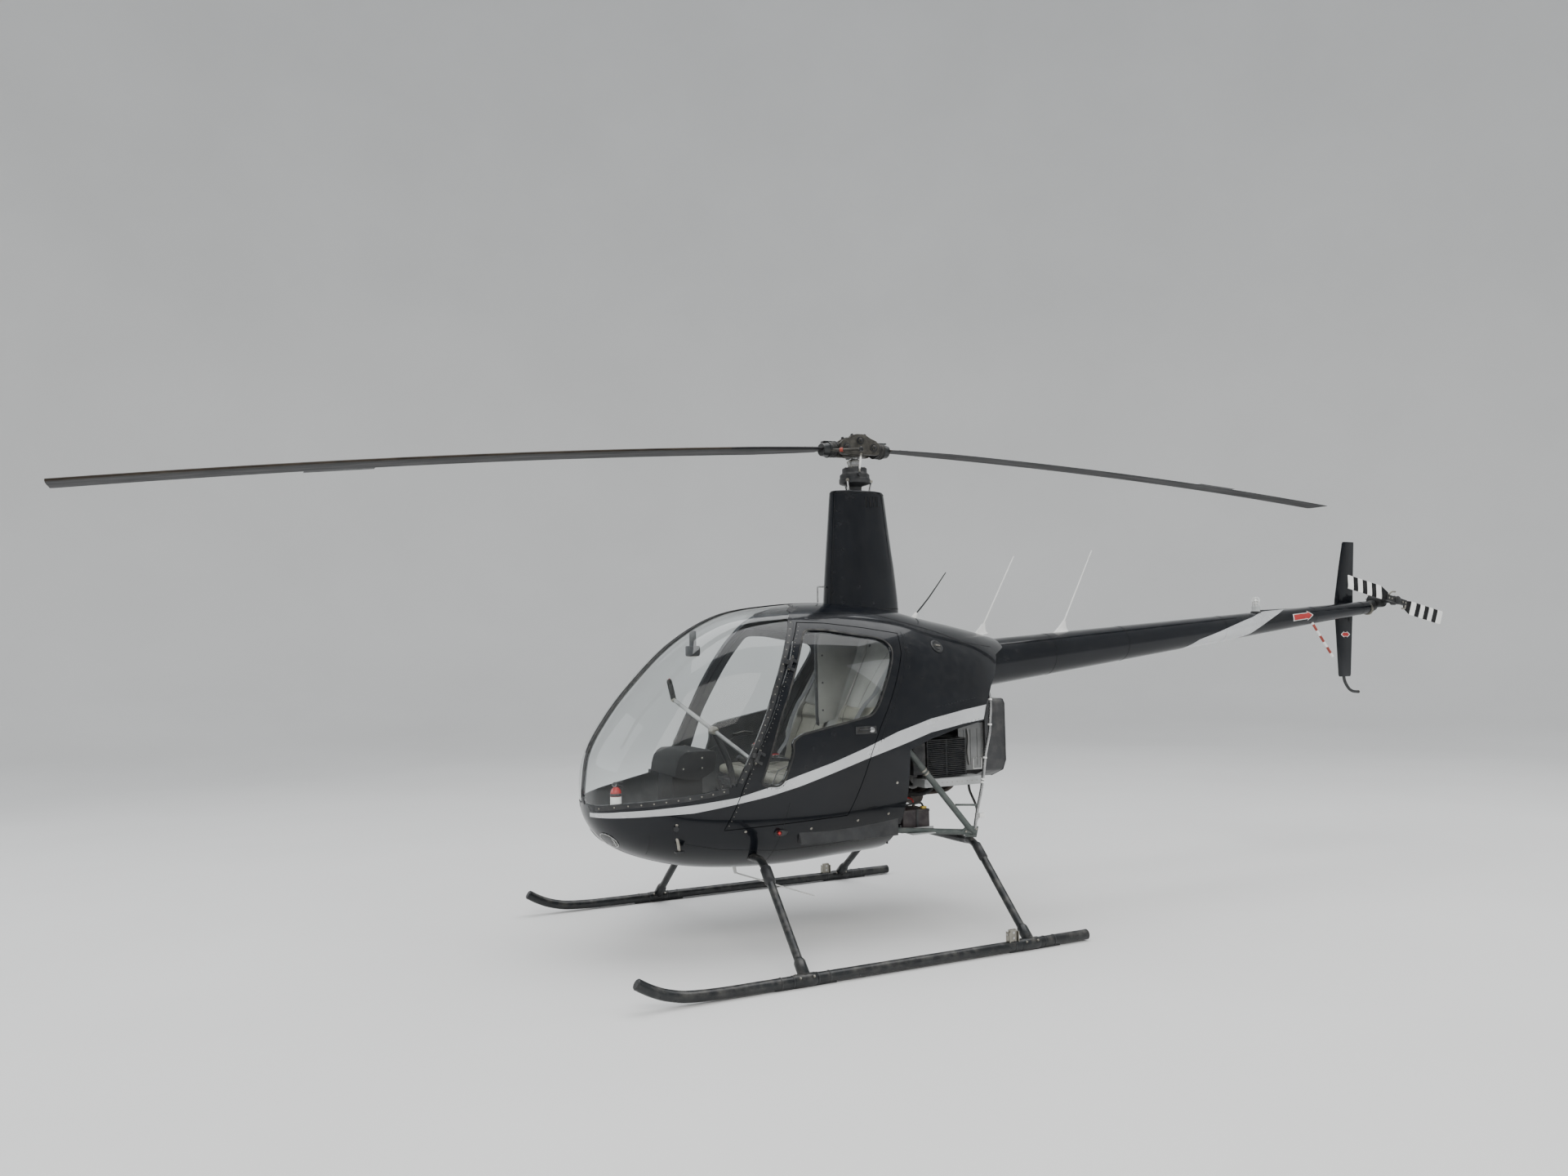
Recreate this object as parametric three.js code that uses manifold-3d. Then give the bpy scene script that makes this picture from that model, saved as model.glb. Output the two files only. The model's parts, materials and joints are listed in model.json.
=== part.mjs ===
// Two-seat light helicopter parked on its skids. Millimetres, +X to the nose, +Y to the left, +Z up.
// All tables are in station coordinates: X = 0 and Y = 0 on the mast, Z = 0 on the ground.
import * as THREE from 'three';
import { mergeVertices } from 'three/addons/utils/BufferGeometryUtils.js';
import Module from 'manifold-3d';

const wasm = await Module();
wasm.setup();

// Driving dimensions
const ROTOR_RADIUS = 3835;
const ROTOR_CHORD = 183;
const ROTOR_PLANE_Z = 2611;
const ROTOR_AZIMUTH = THREE.MathUtils.degToRad(1.335);
const ROTOR_TEETER = THREE.MathUtils.degToRad(1.755);
const BLADE_PITCH = THREE.MathUtils.degToRad(3);
const TAIL_ROTOR_RADIUS = 533;
const TAIL_ROTOR_CHORD = 98;
const TAIL_ROTOR_AT = { x: -4370, y: 160, z: 1767 };
const TAIL_ROTOR_TILT = THREE.MathUtils.degToRad(11.5);
const TAIL_ROTOR_TEETER_DEG = 1.2;
const SKID_HALF_TREAD = 965;
const SKID_RADIUS = 25;
const SKID_CENTRE_Z = 30;
const CROSSTUBE_RADIUS = 20;
const WALL = 28;
const FLOOR_Z = 520;
const FIREWALL_X = 20;
const TEETER_BOLT_RADIUS = 12;
const BOTTLE_AT = [1457, 150, 690];
const HORN_ANGLE = THREE.MathUtils.degToRad(74);
const GAP = 0.3;
const DOOR_GAP = 5;
const GLASS = 6;
const FAR = 3000;

// Finishes
const FINISHES = {
  black: { color: 0x0b0c0e, roughness: 0.15, metalness: 0 },
  satin: { color: 0x1a1b1d, roughness: 0.45, metalness: 0 },
  glass: { color: 0x9aa6a8, roughness: 0.05, metalness: 0, opacity: 0.35, transparent: true },
  grey: { color: 0x9a9c9c, roughness: 0.5, metalness: 0.3 },
  steel: { color: 0x8d9093, roughness: 0.35, metalness: 0.9 },
  tube: { color: 0x3a3f3e, roughness: 0.5, metalness: 0.2 },
  white: { color: 0xe6e6e2, roughness: 0.4, metalness: 0 },
  leather: { color: 0x77776a, roughness: 0.6, metalness: 0 },
  blade: { color: 0x24262a, roughness: 0.5, metalness: 0.1 },
  rubber: { color: 0x101010, roughness: 0.8, metalness: 0 },
  red: { color: 0x9c1a1a, roughness: 0.4, metalness: 0 },
  green: { color: 0x1a7a3a, roughness: 0.4, metalness: 0 },
  lamp: { color: 0xd8dadc, roughness: 0.1, metalness: 0.2 },
};

const aircraft = new THREE.Group();

function add(name, shape, finish) {
  const geometry = shape.isBufferGeometry ? shape : geometryOf(shape);
  const mesh = new THREE.Mesh(geometry, new THREE.MeshStandardMaterial(FINISHES[finish]));
  mesh.name = name;
  aircraft.add(mesh);
  return mesh;
}

// Booleans
function solid(geometry) {
  const bare = geometry.clone();
  for (const name of ['normal', 'uv', 'uv1']) bare.deleteAttribute(name);
  const merged = mergeVertices(bare, 1e-3);
  return new wasm.Manifold(new wasm.Mesh({
    numProp: 3,
    vertProperties: new Float32Array(merged.attributes.position.array),
    triVerts: new Uint32Array(merged.index.array),
  }));
}

function geometryOf(body) {
  const mesh = body.getMesh();
  const geometry = new THREE.BufferGeometry();
  geometry.setAttribute('position', new THREE.BufferAttribute(mesh.vertProperties, 3));
  geometry.setIndex(new THREE.BufferAttribute(mesh.triVerts, 1));
  return geometry;
}

const asSolid = (shape) => (shape.isBufferGeometry ? solid(shape) : shape);
const join = (...shapes) => shapes.map(asSolid).reduce((a, b) => a.add(b));
const cut = (shape, ...tools) => tools.map(asSolid).reduce((a, b) => a.subtract(b), asSolid(shape));
const common = (a, b) => asSolid(a).intersect(asSolid(b));

// Plain shapes
function box(x0, x1, y0, y1, z0, z1) {
  return new THREE.BoxGeometry(x1 - x0, y1 - y0, z1 - z0)
    .translate((x0 + x1) / 2, (y0 + y1) / 2, (z0 + z1) / 2);
}

// Outline of [x, z] points, carried along Y
function sidePrism(points, yLow, yHigh) {
  const shape = new THREE.Shape(points.map(([x, z]) => new THREE.Vector2(x, z)));
  return new THREE.ExtrudeGeometry(shape, { depth: yHigh - yLow, bevelEnabled: false })
    .rotateX(Math.PI / 2)
    .translate(0, yHigh, 0);
}

// Outline of [y, z] points, carried along X
function frontPrism(points, xLow, xHigh) {
  const shape = new THREE.Shape(points.map(([y, z]) => new THREE.Vector2(y, z)));
  return new THREE.ExtrudeGeometry(shape, { depth: xHigh - xLow, bevelEnabled: false })
    .rotateZ(Math.PI / 2)
    .rotateY(Math.PI / 2)
    .translate(xLow, 0, 0);
}

function circle(radius, sides) {
  const points = [];
  for (let i = 0; i < sides; i += 1) {
    const angle = (2 * Math.PI * i) / sides;
    points.push(new THREE.Vector2(radius * Math.cos(angle), radius * Math.sin(angle)));
  }
  return new THREE.Shape(points);
}

// Round tube through [x, y, z] points
function tube(points, radius, sides = 8, steps = 12, tension = 0.5) {
  const path = new THREE.CatmullRomCurve3(
    points.map((p) => new THREE.Vector3(...p)), false, 'catmullrom', tension);
  return new THREE.ExtrudeGeometry(circle(radius, sides), { extrudePath: path, steps, bevelEnabled: false });
}

// Straight round bar from one point to another
function rod(from, to, radius, radiusTo = radius, sides = 10) {
  const a = new THREE.Vector3(...from);
  const b = new THREE.Vector3(...to);
  const along = b.clone().sub(a);
  const turn = new THREE.Quaternion().setFromUnitVectors(
    new THREE.Vector3(0, 1, 0), along.clone().normalize());
  return new THREE.CylinderGeometry(radiusTo, radius, along.length(), sides)
    .applyQuaternion(turn)
    .translate(...a.clone().add(b).multiplyScalar(0.5).toArray());
}

// Turned shape: [radius, height] points about Z
function turned(points, sides = 24) {
  return new THREE.LatheGeometry(points.map(([r, h]) => new THREE.Vector2(r, h)), sides)
    .rotateX(Math.PI / 2);
}

// Closed skin over rings of points, all rings with the same count
function skin(rings) {
  const count = rings[0].length;
  const positions = rings.flat().flatMap((p) => [p.x, p.y, p.z]);
  const index = [];
  for (let i = 0; i < rings.length - 1; i += 1) {
    for (let k = 0; k < count; k += 1) {
      const a = i * count + k;
      const b = i * count + ((k + 1) % count);
      index.push(a, b, b + count, a, b + count, a + count);
    }
  }
  const last = (rings.length - 1) * count;
  for (let k = 1; k < count - 1; k += 1) {
    index.push(0, k + 1, k, last, last + k, last + k + 1);
  }
  const geometry = new THREE.BufferGeometry();
  geometry.setAttribute('position', new THREE.Float32BufferAttribute(positions, 3));
  geometry.setIndex(index);
  return enclosedVolume(geometry) < 0 ? turnedOver(geometry) : geometry;
}

function enclosedVolume(geometry) {
  const { position } = geometry.attributes;
  const corner = (i) => new THREE.Vector3().fromBufferAttribute(position, geometry.index.getX(i));
  let sum = 0;
  for (let i = 0; i < geometry.index.count; i += 3) {
    sum += corner(i).dot(corner(i + 1).cross(corner(i + 2))) / 6;
  }
  return sum;
}

// The same geometry with every face turned over
function turnedOver(geometry) {
  const { count } = geometry.attributes.position;
  const index = geometry.index ? Array.from(geometry.index.array) : [...Array(count).keys()];
  for (let i = 0; i < index.length; i += 3) [index[i], index[i + 1]] = [index[i + 1], index[i]];
  return geometry.clone().setIndex(index);
}

function mirrored(shape) {
  const geometry = shape.isBufferGeometry ? shape : geometryOf(shape);
  return turnedOver(geometry.clone().scale(1, -1, 1));
}

// Body sections, nose to tail. Columns: x, halfWidth, top, bottom, widestZ, powerAbove, powerBelow
const BODY = [
  [1585, 12, 815, 770, 790, 2.0, 2.0],
  [1560, 150, 985, 655, 800, 2.0, 2.0],
  [1480, 275, 1135, 550, 810, 2.05, 2.0],
  [1340, 385, 1312, 470, 830, 2.1, 2.05],
  [1120, 480, 1523, 405, 860, 2.2, 2.1],
  [860, 535, 1668, 372, 900, 2.3, 2.2],
  [560, 558, 1722, 365, 930, 2.4, 2.3],
  [240, 559, 1735, 382, 960, 2.5, 2.4],
  [-60, 545, 1712, 400, 1000, 2.5, 2.4],
  [-330, 505, 1655, 440, 1060, 2.4, 2.3],
  [-580, 430, 1606, 560, 1130, 2.3, 2.2],
  [-790, 310, 1560, 800, 1220, 2.2, 2.1],
  [-950, 160, 1522, 1180, 1360, 2.0, 2.0],
];
const BODY_RINGS = 22;
const BODY_SIDES = 32;

// Body row at a fractional index, by a cubic through the rows
function bodyRow(t) {
  const last = BODY.length - 1;
  const i = Math.min(Math.floor(t), last - 1);
  const u = t - i;
  const row = (k) => BODY[Math.min(Math.max(k, 0), last)];
  return row(i).map((p1, c) => {
    const p2 = row(i + 1)[c];
    const m1 = i === 0 ? p2 - p1 : (p2 - row(i - 1)[c]) / 2;
    const m2 = i === last - 1 ? p2 - p1 : (row(i + 2)[c] - p1) / 2;
    const u2 = u * u;
    const u3 = u2 * u;
    return (2 * u3 - 3 * u2 + 1) * p1 + (u3 - 2 * u2 + u) * m1 + (3 * u2 - 2 * u3) * p2 + (u3 - u2) * m2;
  });
}

// The body's outer shape, drawn in by an inset
function bodyForm(inset) {
  const rings = [];
  for (let i = 0; i <= BODY_RINGS; i += 1) {
    const t = ((BODY.length - 1) * i) / BODY_RINGS;
    const [x, half, top, bottom, wide, above, below] = bodyRow(t);
    const nose = Math.max(0, 1 - (1585 - x) / 260);
    const draw = (size) => Math.max(size - inset * (1 + 0.4 * nose), size * 0.12);
    const ring = [];
    for (let k = 0; k < BODY_SIDES; k += 1) {
      const angle = (2 * Math.PI * k) / BODY_SIDES;
      const c = Math.cos(angle);
      const s = Math.sin(angle);
      const power = 2 / (s >= 0 ? above : below);
      const rise = draw(s >= 0 ? top - wide : wide - bottom);
      ring.push(new THREE.Vector3(
        x - inset * nose,
        draw(half) * Math.sign(c) * Math.abs(c) ** power,
        wide + rise * Math.sign(s) * Math.abs(s) ** power,
      ));
    }
    rings.push(ring);
  }
  return skin(rings);
}

// Side outlines of the body's panels, as [x, z]
const GLASS_REAR = [[975, 839], [912, 971], [866, 1066], [803, 1201], [760, 1301], [703, 1422], [652, 1523],
  [583, 1640], [540, 1684]];
const WINDSHIELD = [[1750, 735], [1579, 744], [1464, 766], [1345, 779], [1227, 795], [1096, 815],
  ...GLASS_REAR, [463, 1722], [380, 1800], [1750, 1800]];
const DOOR_FRONT = [[1010, 625], [964, 751], [937, 831], [879, 967], [819, 1086], [757, 1209], [716, 1310],
  [659, 1419], [609, 1524], [545, 1622]];
const DOOR_REAR = [[-7, 1560], [13, 1456], [71, 1331], [141, 1189], [197, 1088], [249, 968], [370, 655]];
const DOOR = [...DOOR_FRONT, [401, 1617], [197, 1592], ...DOOR_REAR];
const WINDOW = [[851, 838], [814, 932], [741, 1146], [679, 1275], [632, 1378], [589, 1466], [526, 1582],
  [415, 1580], [286, 1558], [149, 1539], [95, 1525], [64, 1487], [76, 1436], [117, 1353], [160, 1272], [204, 1191],
  [241, 1152], [375, 1125], [513, 1099], [640, 1074], [690, 1040], [685, 988], [712, 914], [738, 853], [763, 832]];
const COWL = [[-55, 1800], [-37, 1580], [-17, 1456], [41, 1331], [111, 1189], [167, 1088], [196, 1010], [192, 904],
  [43, 952], [-116, 1010], [-288, 1051], [-510, 1085], [-535, 1160], [-600, 1268], [-660, 1333], [-735, 1440],
  [-870, 1480], [-885, 1560], [-900, 1800]];
const TUB = [[1750, 300], [1750, 735], [1579, 744], [1464, 766], [1345, 779], [1227, 795], [1096, 815],
  [966, 839], [930, 839], [249, 968], [196, 1010], [192, 904], [43, 952], [FIREWALL_X, 959], [FIREWALL_X, 300]];
const ROOF = [[-60, 1900], [-60, 1100], [190, 1016], [252, 971], [930, 840], [1300, 840], [1300, 1900]];

// Outline moved outwards by a distance, with mitred corners
function grown(points, by) {
  const turn = Math.sign(points.reduce((sum, [x, z], i) => {
    const [nextX, nextZ] = points[(i + 1) % points.length];
    return sum + x * nextZ - nextX * z;
  }, 0));
  const normal = (i) => {
    const [x0, z0] = points.at(i % points.length);
    const [x1, z1] = points[(i + 1) % points.length];
    const length = Math.hypot(x1 - x0, z1 - z0);
    return [(turn * (z1 - z0)) / length, (-turn * (x1 - x0)) / length];
  };
  return points.map(([x, z], i) => {
    const before = normal(i + points.length - 1);
    const after = normal(i);
    const scale = by / (1 + before[0] * after[0] + before[1] * after[1]);
    return [x + scale * (before[0] + after[0]), z + scale * (before[1] + after[1])];
  });
}

const outer = solid(bodyForm(0));
const inner = solid(bodyForm(WALL));
const shell = outer.subtract(inner);

// Plane of the sill, which the door's lower edge laps over: its line on the skin, and its slope
const SILL = { front: [1010, 444, 625], rear: [370, 505, 655], slope: [0, -0.4, 0.917] };

function doorZone(side, by) {
  const front = new THREE.Vector3(...SILL.front);
  const along = new THREE.Vector3(...SILL.rear).sub(front);
  const normal = along.clone().cross(new THREE.Vector3(...SILL.slope)).normalize();
  const zone = solid(sidePrism(grown(DOOR, by), 150, 900)).trimByPlane(normal.toArray(), normal.dot(front) - by);
  return side > 0 ? zone : solid(mirrored(zone));
}

// Landing gear tubes, left half: foot on the skid, knee, and the run under the belly
const CROSSTUBE_FRONT = { foot: [854, SKID_HALF_TREAD, 40], knee: [824, 470, 468], belly: [820, 300, 462] };
const CROSSTUBE_REAR = { foot: [-379, SKID_HALF_TREAD, 40], knee: [-418, 472, 452], belly: [-440, 300, 440] };
const between = (a, b, share) => a.map((v, i) => v + share * (b[i] - v));

function crosstube({ foot, knee, belly }, radius) {
  const left = [foot, between(foot, knee, 0.5), between(foot, knee, 0.9), between(knee, belly, 0.25), belly];
  const right = left.map(([x, y, z]) => [x, -y, z]).reverse();
  return tube([...left, ...right], radius, 8, 30);
}

function buildCabin() {
  const cavity = common(inner, box(FIREWALL_X + WALL, FAR, -FAR, FAR, FLOOR_Z, FAR));
  const bore = crosstube(CROSSTUBE_FRONT, CROSSTUBE_RADIUS + GAP);
  const doors = [doorZone(1, DOOR_GAP), doorZone(-1, DOOR_GAP)];
  add('cabin_tub', cut(common(outer, sidePrism(TUB, -FAR, FAR)), cavity, ...doors, bore), 'black');
  const upper = cut(sidePrism(ROOF, -FAR, FAR), sidePrism(grown(COWL, GAP), -FAR, FAR));
  const frame = cut(common(shell, upper), ...doors, sidePrism(WINDSHIELD, -FAR, FAR));
  const posts = HINGES.map(({ post }) => geometryOf(cut(post, bodyForm(WALL - 4))));
  add('cabin_roof', join(frame, ...posts, ...posts.map(mirrored)), 'black');
  const boomRoot = boomForm(GAP);
  add('rear_fuselage', cut(common(outer, sidePrism(grown(COWL, -GAP), -FAR, FAR)), boomRoot), 'black');
}

// Windshield in two panels on a centre strip
function buildWindshield() {
  const pane = bodyForm(2);
  const zone = sidePrism(grown(WINDSHIELD, -GAP), -FAR, FAR);
  const skinOf = (outside, inside) => common(cut(outside, inside), zone);
  const glass = skinOf(pane, bodyForm(2 + GLASS));
  add('windshield_left', common(glass, box(0, FAR, 20 + GAP, FAR, 0, FAR)), 'glass');
  add('windshield_right', common(glass, box(0, FAR, -FAR, -20 - GAP, 0, FAR)), 'glass');
  add('windshield_strip', common(skinOf(outer, bodyForm(18)), box(0, FAR, -20, 20, 0, FAR)), 'satin');
}

// Door hinge pins, left side
const HINGE_UPPER = [662, 488, 1418];
const HINGE_LOWER = [877, 555, 976];
const HINGE = { pin: 4, knuckle: 9, half: 14, end: 30, leaf: 36, plate: 23, depth: 36 };
const HANDLE = [250, 1076];

// Frame on a hinge: X to the rear, Y outwards, Z down the pin
function hingeFrame(point) {
  const down = new THREE.Vector3(...HINGE_LOWER).sub(new THREE.Vector3(...HINGE_UPPER)).normalize();
  const rear = new THREE.Vector3(0, 1, 0).cross(down).normalize();
  const out = down.clone().cross(rear);
  return new THREE.Matrix4().makeBasis(rear, out, down).setPosition(...point);
}

// Knuckle, pin and leaf that stay with the door post, and the two knuckles that turn with the door
function hingeHalves(point) {
  const { pin, knuckle, half, end, leaf, plate, depth } = HINGE;
  const frame = hingeFrame(point);
  const post = join(rod([0, 0, -half], [0, 0, half], knuckle, knuckle, 12),
    rod([0, 0, -end - 3], [0, 0, end + 3], pin, pin, 16), box(-plate, 0, -depth, 0, -half, half));
  const ears = [-1, 1].map((way) => join(
    rod([0, 0, way * (half + GAP)], [0, 0, way * end], knuckle, knuckle, 12),
    box(0, leaf, -depth, 0, ...(way > 0 ? [half + GAP, end] : [-end, -half - GAP]))));
  const bore = rod([0, 0, -end - 9], [0, 0, end + 9], pin + 2 * GAP, pin + 2 * GAP, 16);
  return {
    post: geometryOf(post).applyMatrix4(frame),
    door: geometryOf(cut(join(...ears), bore)).applyMatrix4(frame),
  };
}

const HINGES = [HINGE_UPPER, HINGE_LOWER].map(hingeHalves);

function buildDoor(side) {
  const name = side > 0 ? 'left' : 'right';
  const window = sidePrism(WINDOW, 100, 900);
  const panel = cut(common(shell, doorZone(1, 0)), window);
  const cabinSide = bodyForm(WALL - 4);
  const ears = HINGES.map(({ door }) => cut(door, cabinSide));
  const [x, z] = HANDLE;
  const grip = cut(common(rod([x, 300, z], [x, 700, z], 17, 17, 14), bodyForm(-16)), bodyForm(1));
  const leaf = geometryOf(join(panel, ...ears, grip));
  add(`door_${name}`, side > 0 ? leaf : mirrored(leaf), 'black');
  const pane = common(cut(bodyForm(10), bodyForm(10 + GLASS)), sidePrism(grown(WINDOW, -GAP), 100, 900));
  add(`door_glass_${name}`, side > 0 ? pane : mirrored(pane), 'glass');
}

// Tail boom: tapered tube, slightly rising to the tail
const BOOM_ROOT = { x: -700, z: 1372, radius: 142 };
const BOOM_END = { x: -4264, z: 1723, radius: 45 };

function boomForm(by) {
  return rod([BOOM_ROOT.x + by, 0, BOOM_ROOT.z], [BOOM_END.x - by, 0, BOOM_END.z],
    BOOM_ROOT.radius + by, BOOM_END.radius + by, 28);
}

const BOTH = [['left', 1], ['right', -1]];
const sided = (side, [x, y, z]) => [x, side * y, z];

// Cabin furniture
const SEAT = { rear: FIREWALL_X + WALL + GAP, front: 670, inner: 30, outer: 470, top: 775, cushionTop: 868 };

const slab = (points, y0, y1) => sidePrism(points, Math.min(y0, y1), Math.max(y0, y1));

function buildSeat(name, side) {
  const { front, top, cushionTop } = SEAT;
  const base = [[215, top + GAP], [front, top + GAP], [front + 25, top + 40], [front + 10, cushionTop - 12],
    [front - 40, cushionTop], [215, cushionTop - 35]];
  add(`seat_cushion_${name}`, slab(base, side * (SEAT.inner + 10), side * (SEAT.outer - 20)), 'leather');
  const foot = cushionTop - 35;
  const back = [[216, foot + 0.4], [290, foot + 6.7], [238, 1010], [150, 1190], [120, 1222], [107, 1216], [206, 1006]];
  add(`seat_back_${name}`, slab(back, side * (SEAT.inner + 15), side * (SEAT.outer - 30)), 'leather');
}

function buildSeatBase() {
  const { rear, front, top, outer: half } = SEAT;
  const plinth = [[rear, FLOOR_Z + GAP], [front - 60, FLOOR_Z + GAP], [front, top], [rear, top]];
  const well = box(700 - 60, 900, -SEAT.inner, SEAT.inner, 0, FAR);
  add('seat_base', cut(common(sidePrism(plinth, -half, half), bodyForm(WALL + 3)), well), 'satin');
}

function buildConsole() {
  const base = FLOOR_Z + GAP;
  const post = [[1150, base], [1150, 860], [1120, 965], [960, 975], [950, 900], [985, 840], [995, base]];
  const head = [[1165, 860], [1150, 950], [1110, 985], [950, 985], [935, 950], [950, 880], [1050, 835]];
  add('instrument_console', join(sidePrism(post, -110, 110), sidePrism(head, -190, 190)), 'satin');
}

// Control column between the seats, with its cross bar tipped up to the right
const CYCLIC = { pivot: [880, 0, 1070], reach: [115, -300, 160] };

function buildCyclic() {
  const { pivot, reach } = CYCLIC;
  const end = (share) => pivot.map((v, i) => v + share * reach[i]);
  const column = tube([[760, 0, FLOOR_Z - 5], [770, 0, 800], pivot], 17, 8, 8);
  const bar = rod(end(-1), end(1), 11);
  const grips = [-1, 1].map((share) => rod(end(share * 0.97), end(share).map((v, i) => v + [20, 0, 105][i]), 16));
  const underFloor = box(600, 1100, -200, 200, FLOOR_Z - 100, FLOOR_Z + GAP);
  add('cyclic_bar', cut(join(column, bar, ...grips), underFloor), 'satin');
}

function buildMast() {
  const outline = (front, rear, half, z) => {
    const ring = [];
    for (let k = 0; k < 24; k += 1) {
      const angle = (2 * Math.PI * k) / 24;
      const c = Math.cos(angle);
      ring.push(new THREE.Vector3(c > 0 ? front * c : -rear * Math.abs(c) ** 1.15, half * Math.sin(angle), z));
    }
    return ring;
  };
  const rings = [outline(215, 262, 128, 1640), outline(205, 258, 122, 1740), outline(182, 220, 104, 2050),
    outline(156, 178, 84, 2365)];
  const fairing = cut(skin(rings), bodyForm(-GAP), rod([0, 0, 2200], [0, 0, 2500], 30, 30, 20));
  add('mast_fairing', fairing, 'black');
  const teeterBolt = rod([0, -60, 0], [0, 60, 0], TEETER_BOLT_RADIUS, TEETER_BOLT_RADIUS, 24)
    .rotateZ(ROTOR_AZIMUTH).translate(0, 0, ROTOR_PLANE_Z);
  const collar = rod([0, 0, 2508], [0, 0, 2544], 37, 37, 20);
  add('mast', join(rod([0, 0, 2200 + GAP], [0, 0, ROTOR_PLANE_Z], 22, 22, 20), teeterBolt, collar), 'steel');
  const shaftHole = rod([0, 0, 2300], [0, 0, 2600], 22 + GAP, 22 + GAP, 20);
  const lower = turned([[0, 2365 + GAP], [38, 2365 + GAP], [38, 2396], [88, 2412], [88, 2440], [0, 2440]]);
  add('swashplate_lower', cut(lower, rod([0, 0, 2300], [0, 0, 2600], 27, 27, 20)), 'satin');
  const linkFoot = { radius: 105, z: 2465.6 };
  const linkHead = { radius: 148, z: ROTOR_PLANE_Z - 47 };
  const at = (turn, { radius, z }) => {
    const angle = ROTOR_AZIMUTH + HORN_ANGLE + turn;
    return [radius * Math.cos(angle), radius * Math.sin(angle), z];
  };
  const arms = [0, Math.PI].map((turn) => rod([0, 0, 2454], at(turn, { radius: 112, z: 2454 }), 9));
  const upper = turned([[0, 2440 + GAP], [84, 2440 + GAP], [84, 2462], [70, 2474], [70, 2498], [40, 2506], [0, 2506]]);
  add('swashplate_upper', cut(join(upper, ...arms), shaftHole), 'satin');
  for (const [i, turn] of [0, Math.PI].entries()) {
    add(`pitch_link_${'ab'[i]}`, rod(at(turn, linkFoot), at(turn, linkHead), 7), 'steel');
  }
}

// Blade sag below the hub plane at a radius
const sag = (r) => 0.035 * r + 9.85e-6 * r * r;

// Section of the blade: [chordwise, height] as shares of the chord
const AIRFOIL = [[0.27, 0], [0.2, 0.042], [0.05, 0.058], [-0.2, 0.05], [-0.5, 0.022], [-0.73, 0.003],
  [-0.73, -0.003], [-0.5, -0.014], [-0.2, -0.03], [0.05, -0.04], [0.2, -0.034]];

function bladeForm({ root, tip, chord, spans, pitch, drop, rootShare = 1 }) {
  const rings = [];
  for (let i = 0; i <= spans; i += 1) {
    const r = root + ((tip - root) * i) / spans;
    const taper = i === 0 ? rootShare : 1;
    rings.push(AIRFOIL.map(([c, h]) => new THREE.Vector3(
      r,
      c * chord * taper,
      h * chord + c * chord * taper * Math.tan(pitch) - drop(r),
    )));
  }
  return skin(rings);
}

function buildRotor() {
  const head = new THREE.Group();
  head.position.z = ROTOR_PLANE_Z;
  head.rotation.set(0, ROTOR_TEETER, ROTOR_AZIMUTH, 'ZYX');
  const bolts = [-85, 85].map((x) => rod([x, -62, 0], [x, 62, 0], 17, 17, 12));
  const block = join(box(-62, 62, -70, 70, -50, 50), box(-128, 128, -42, 42, -40, 44), ...bolts,
    turned([[0, 49], [52, 49], [40, 79], [0, 79]], 16));
  const slot = box(-38, 38, -28, 28, -90, 32);
  const boltHole = rod([0, -62, 0], [0, 62, 0], TEETER_BOLT_RADIUS + GAP, TEETER_BOLT_RADIUS + GAP, 24);
  const place = (name, shape, finish) => head.add(add(name, shape, finish));
  place('rotor_hub', cut(block, slot, boltHole), 'satin');
  for (const [i, turn] of [0, Math.PI].entries()) {
    const cuff = rod([110, 0, -5], [226, 0, -12], 43, 34, 14).scale(1, 1.2, 1);
    const horn = [148 * Math.cos(HORN_ANGLE), 148 * Math.sin(HORN_ANGLE)];
    const arm = join(rod([165, 40, -22], [...horn, -26], 10), rod([...horn, -36], [...horn, -16], 13));
    const grip = cut(join(cuff, arm), box(0, 128 + GAP, -60, 60, -200, 200), box(214, 300, -99, 99, -99, 99));
    place(`blade_grip_${'ab'[i]}`, grip.rotate([0, 0, THREE.MathUtils.radToDeg(turn)]), 'satin');
    const blade = bladeForm({
      root: 214 + GAP, tip: ROTOR_RADIUS, chord: ROTOR_CHORD, spans: 10, pitch: BLADE_PITCH, drop: sag, rootShare: 0.6,
    });
    place(`rotor_blade_${'ab'[i]}`, blade.rotateZ(turn), 'blade');
  }
  aircraft.add(head);
}

function buildSkid(name, side) {
  const y = side * SKID_HALF_TREAD;
  const run = [[-735, y, SKID_CENTRE_Z], [-200, y, SKID_CENTRE_Z], [600, y, SKID_CENTRE_Z],
    [1200, y, SKID_CENTRE_Z], [1400, y, 38], [1530, y, 70], [1632, y, 124]];
  const shoe = (x0, x1) => box(x0, x1, y - 12, y + 12, 0, 12);
  const lug = box(-300, -260, y - 9, y + 9, 40, 110);
  add(`skid_${name}`, join(tube(run, SKID_RADIUS, 12, 18), shoe(-560, -260), shoe(700, 1000), lug), 'tube');
}

function buildCrosstubes() {
  const skids = [1, -1].map((side) => rod([-2000, side * SKID_HALF_TREAD, SKID_CENTRE_Z],
    [2000, side * SKID_HALF_TREAD, SKID_CENTRE_Z], SKID_RADIUS + 0.5, SKID_RADIUS + 0.5, 24));
  add('crosstube_front', cut(crosstube(CROSSTUBE_FRONT, CROSSTUBE_RADIUS), ...skids), 'tube');
  add('crosstube_rear', cut(crosstube(CROSSTUBE_REAR, CROSSTUBE_RADIUS), ...skids), 'tube');
}

// Open truss that ties the rear crosstube to the firewall and the cowl
const TRUSS_FOOT = [-436, 440, 488];

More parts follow.
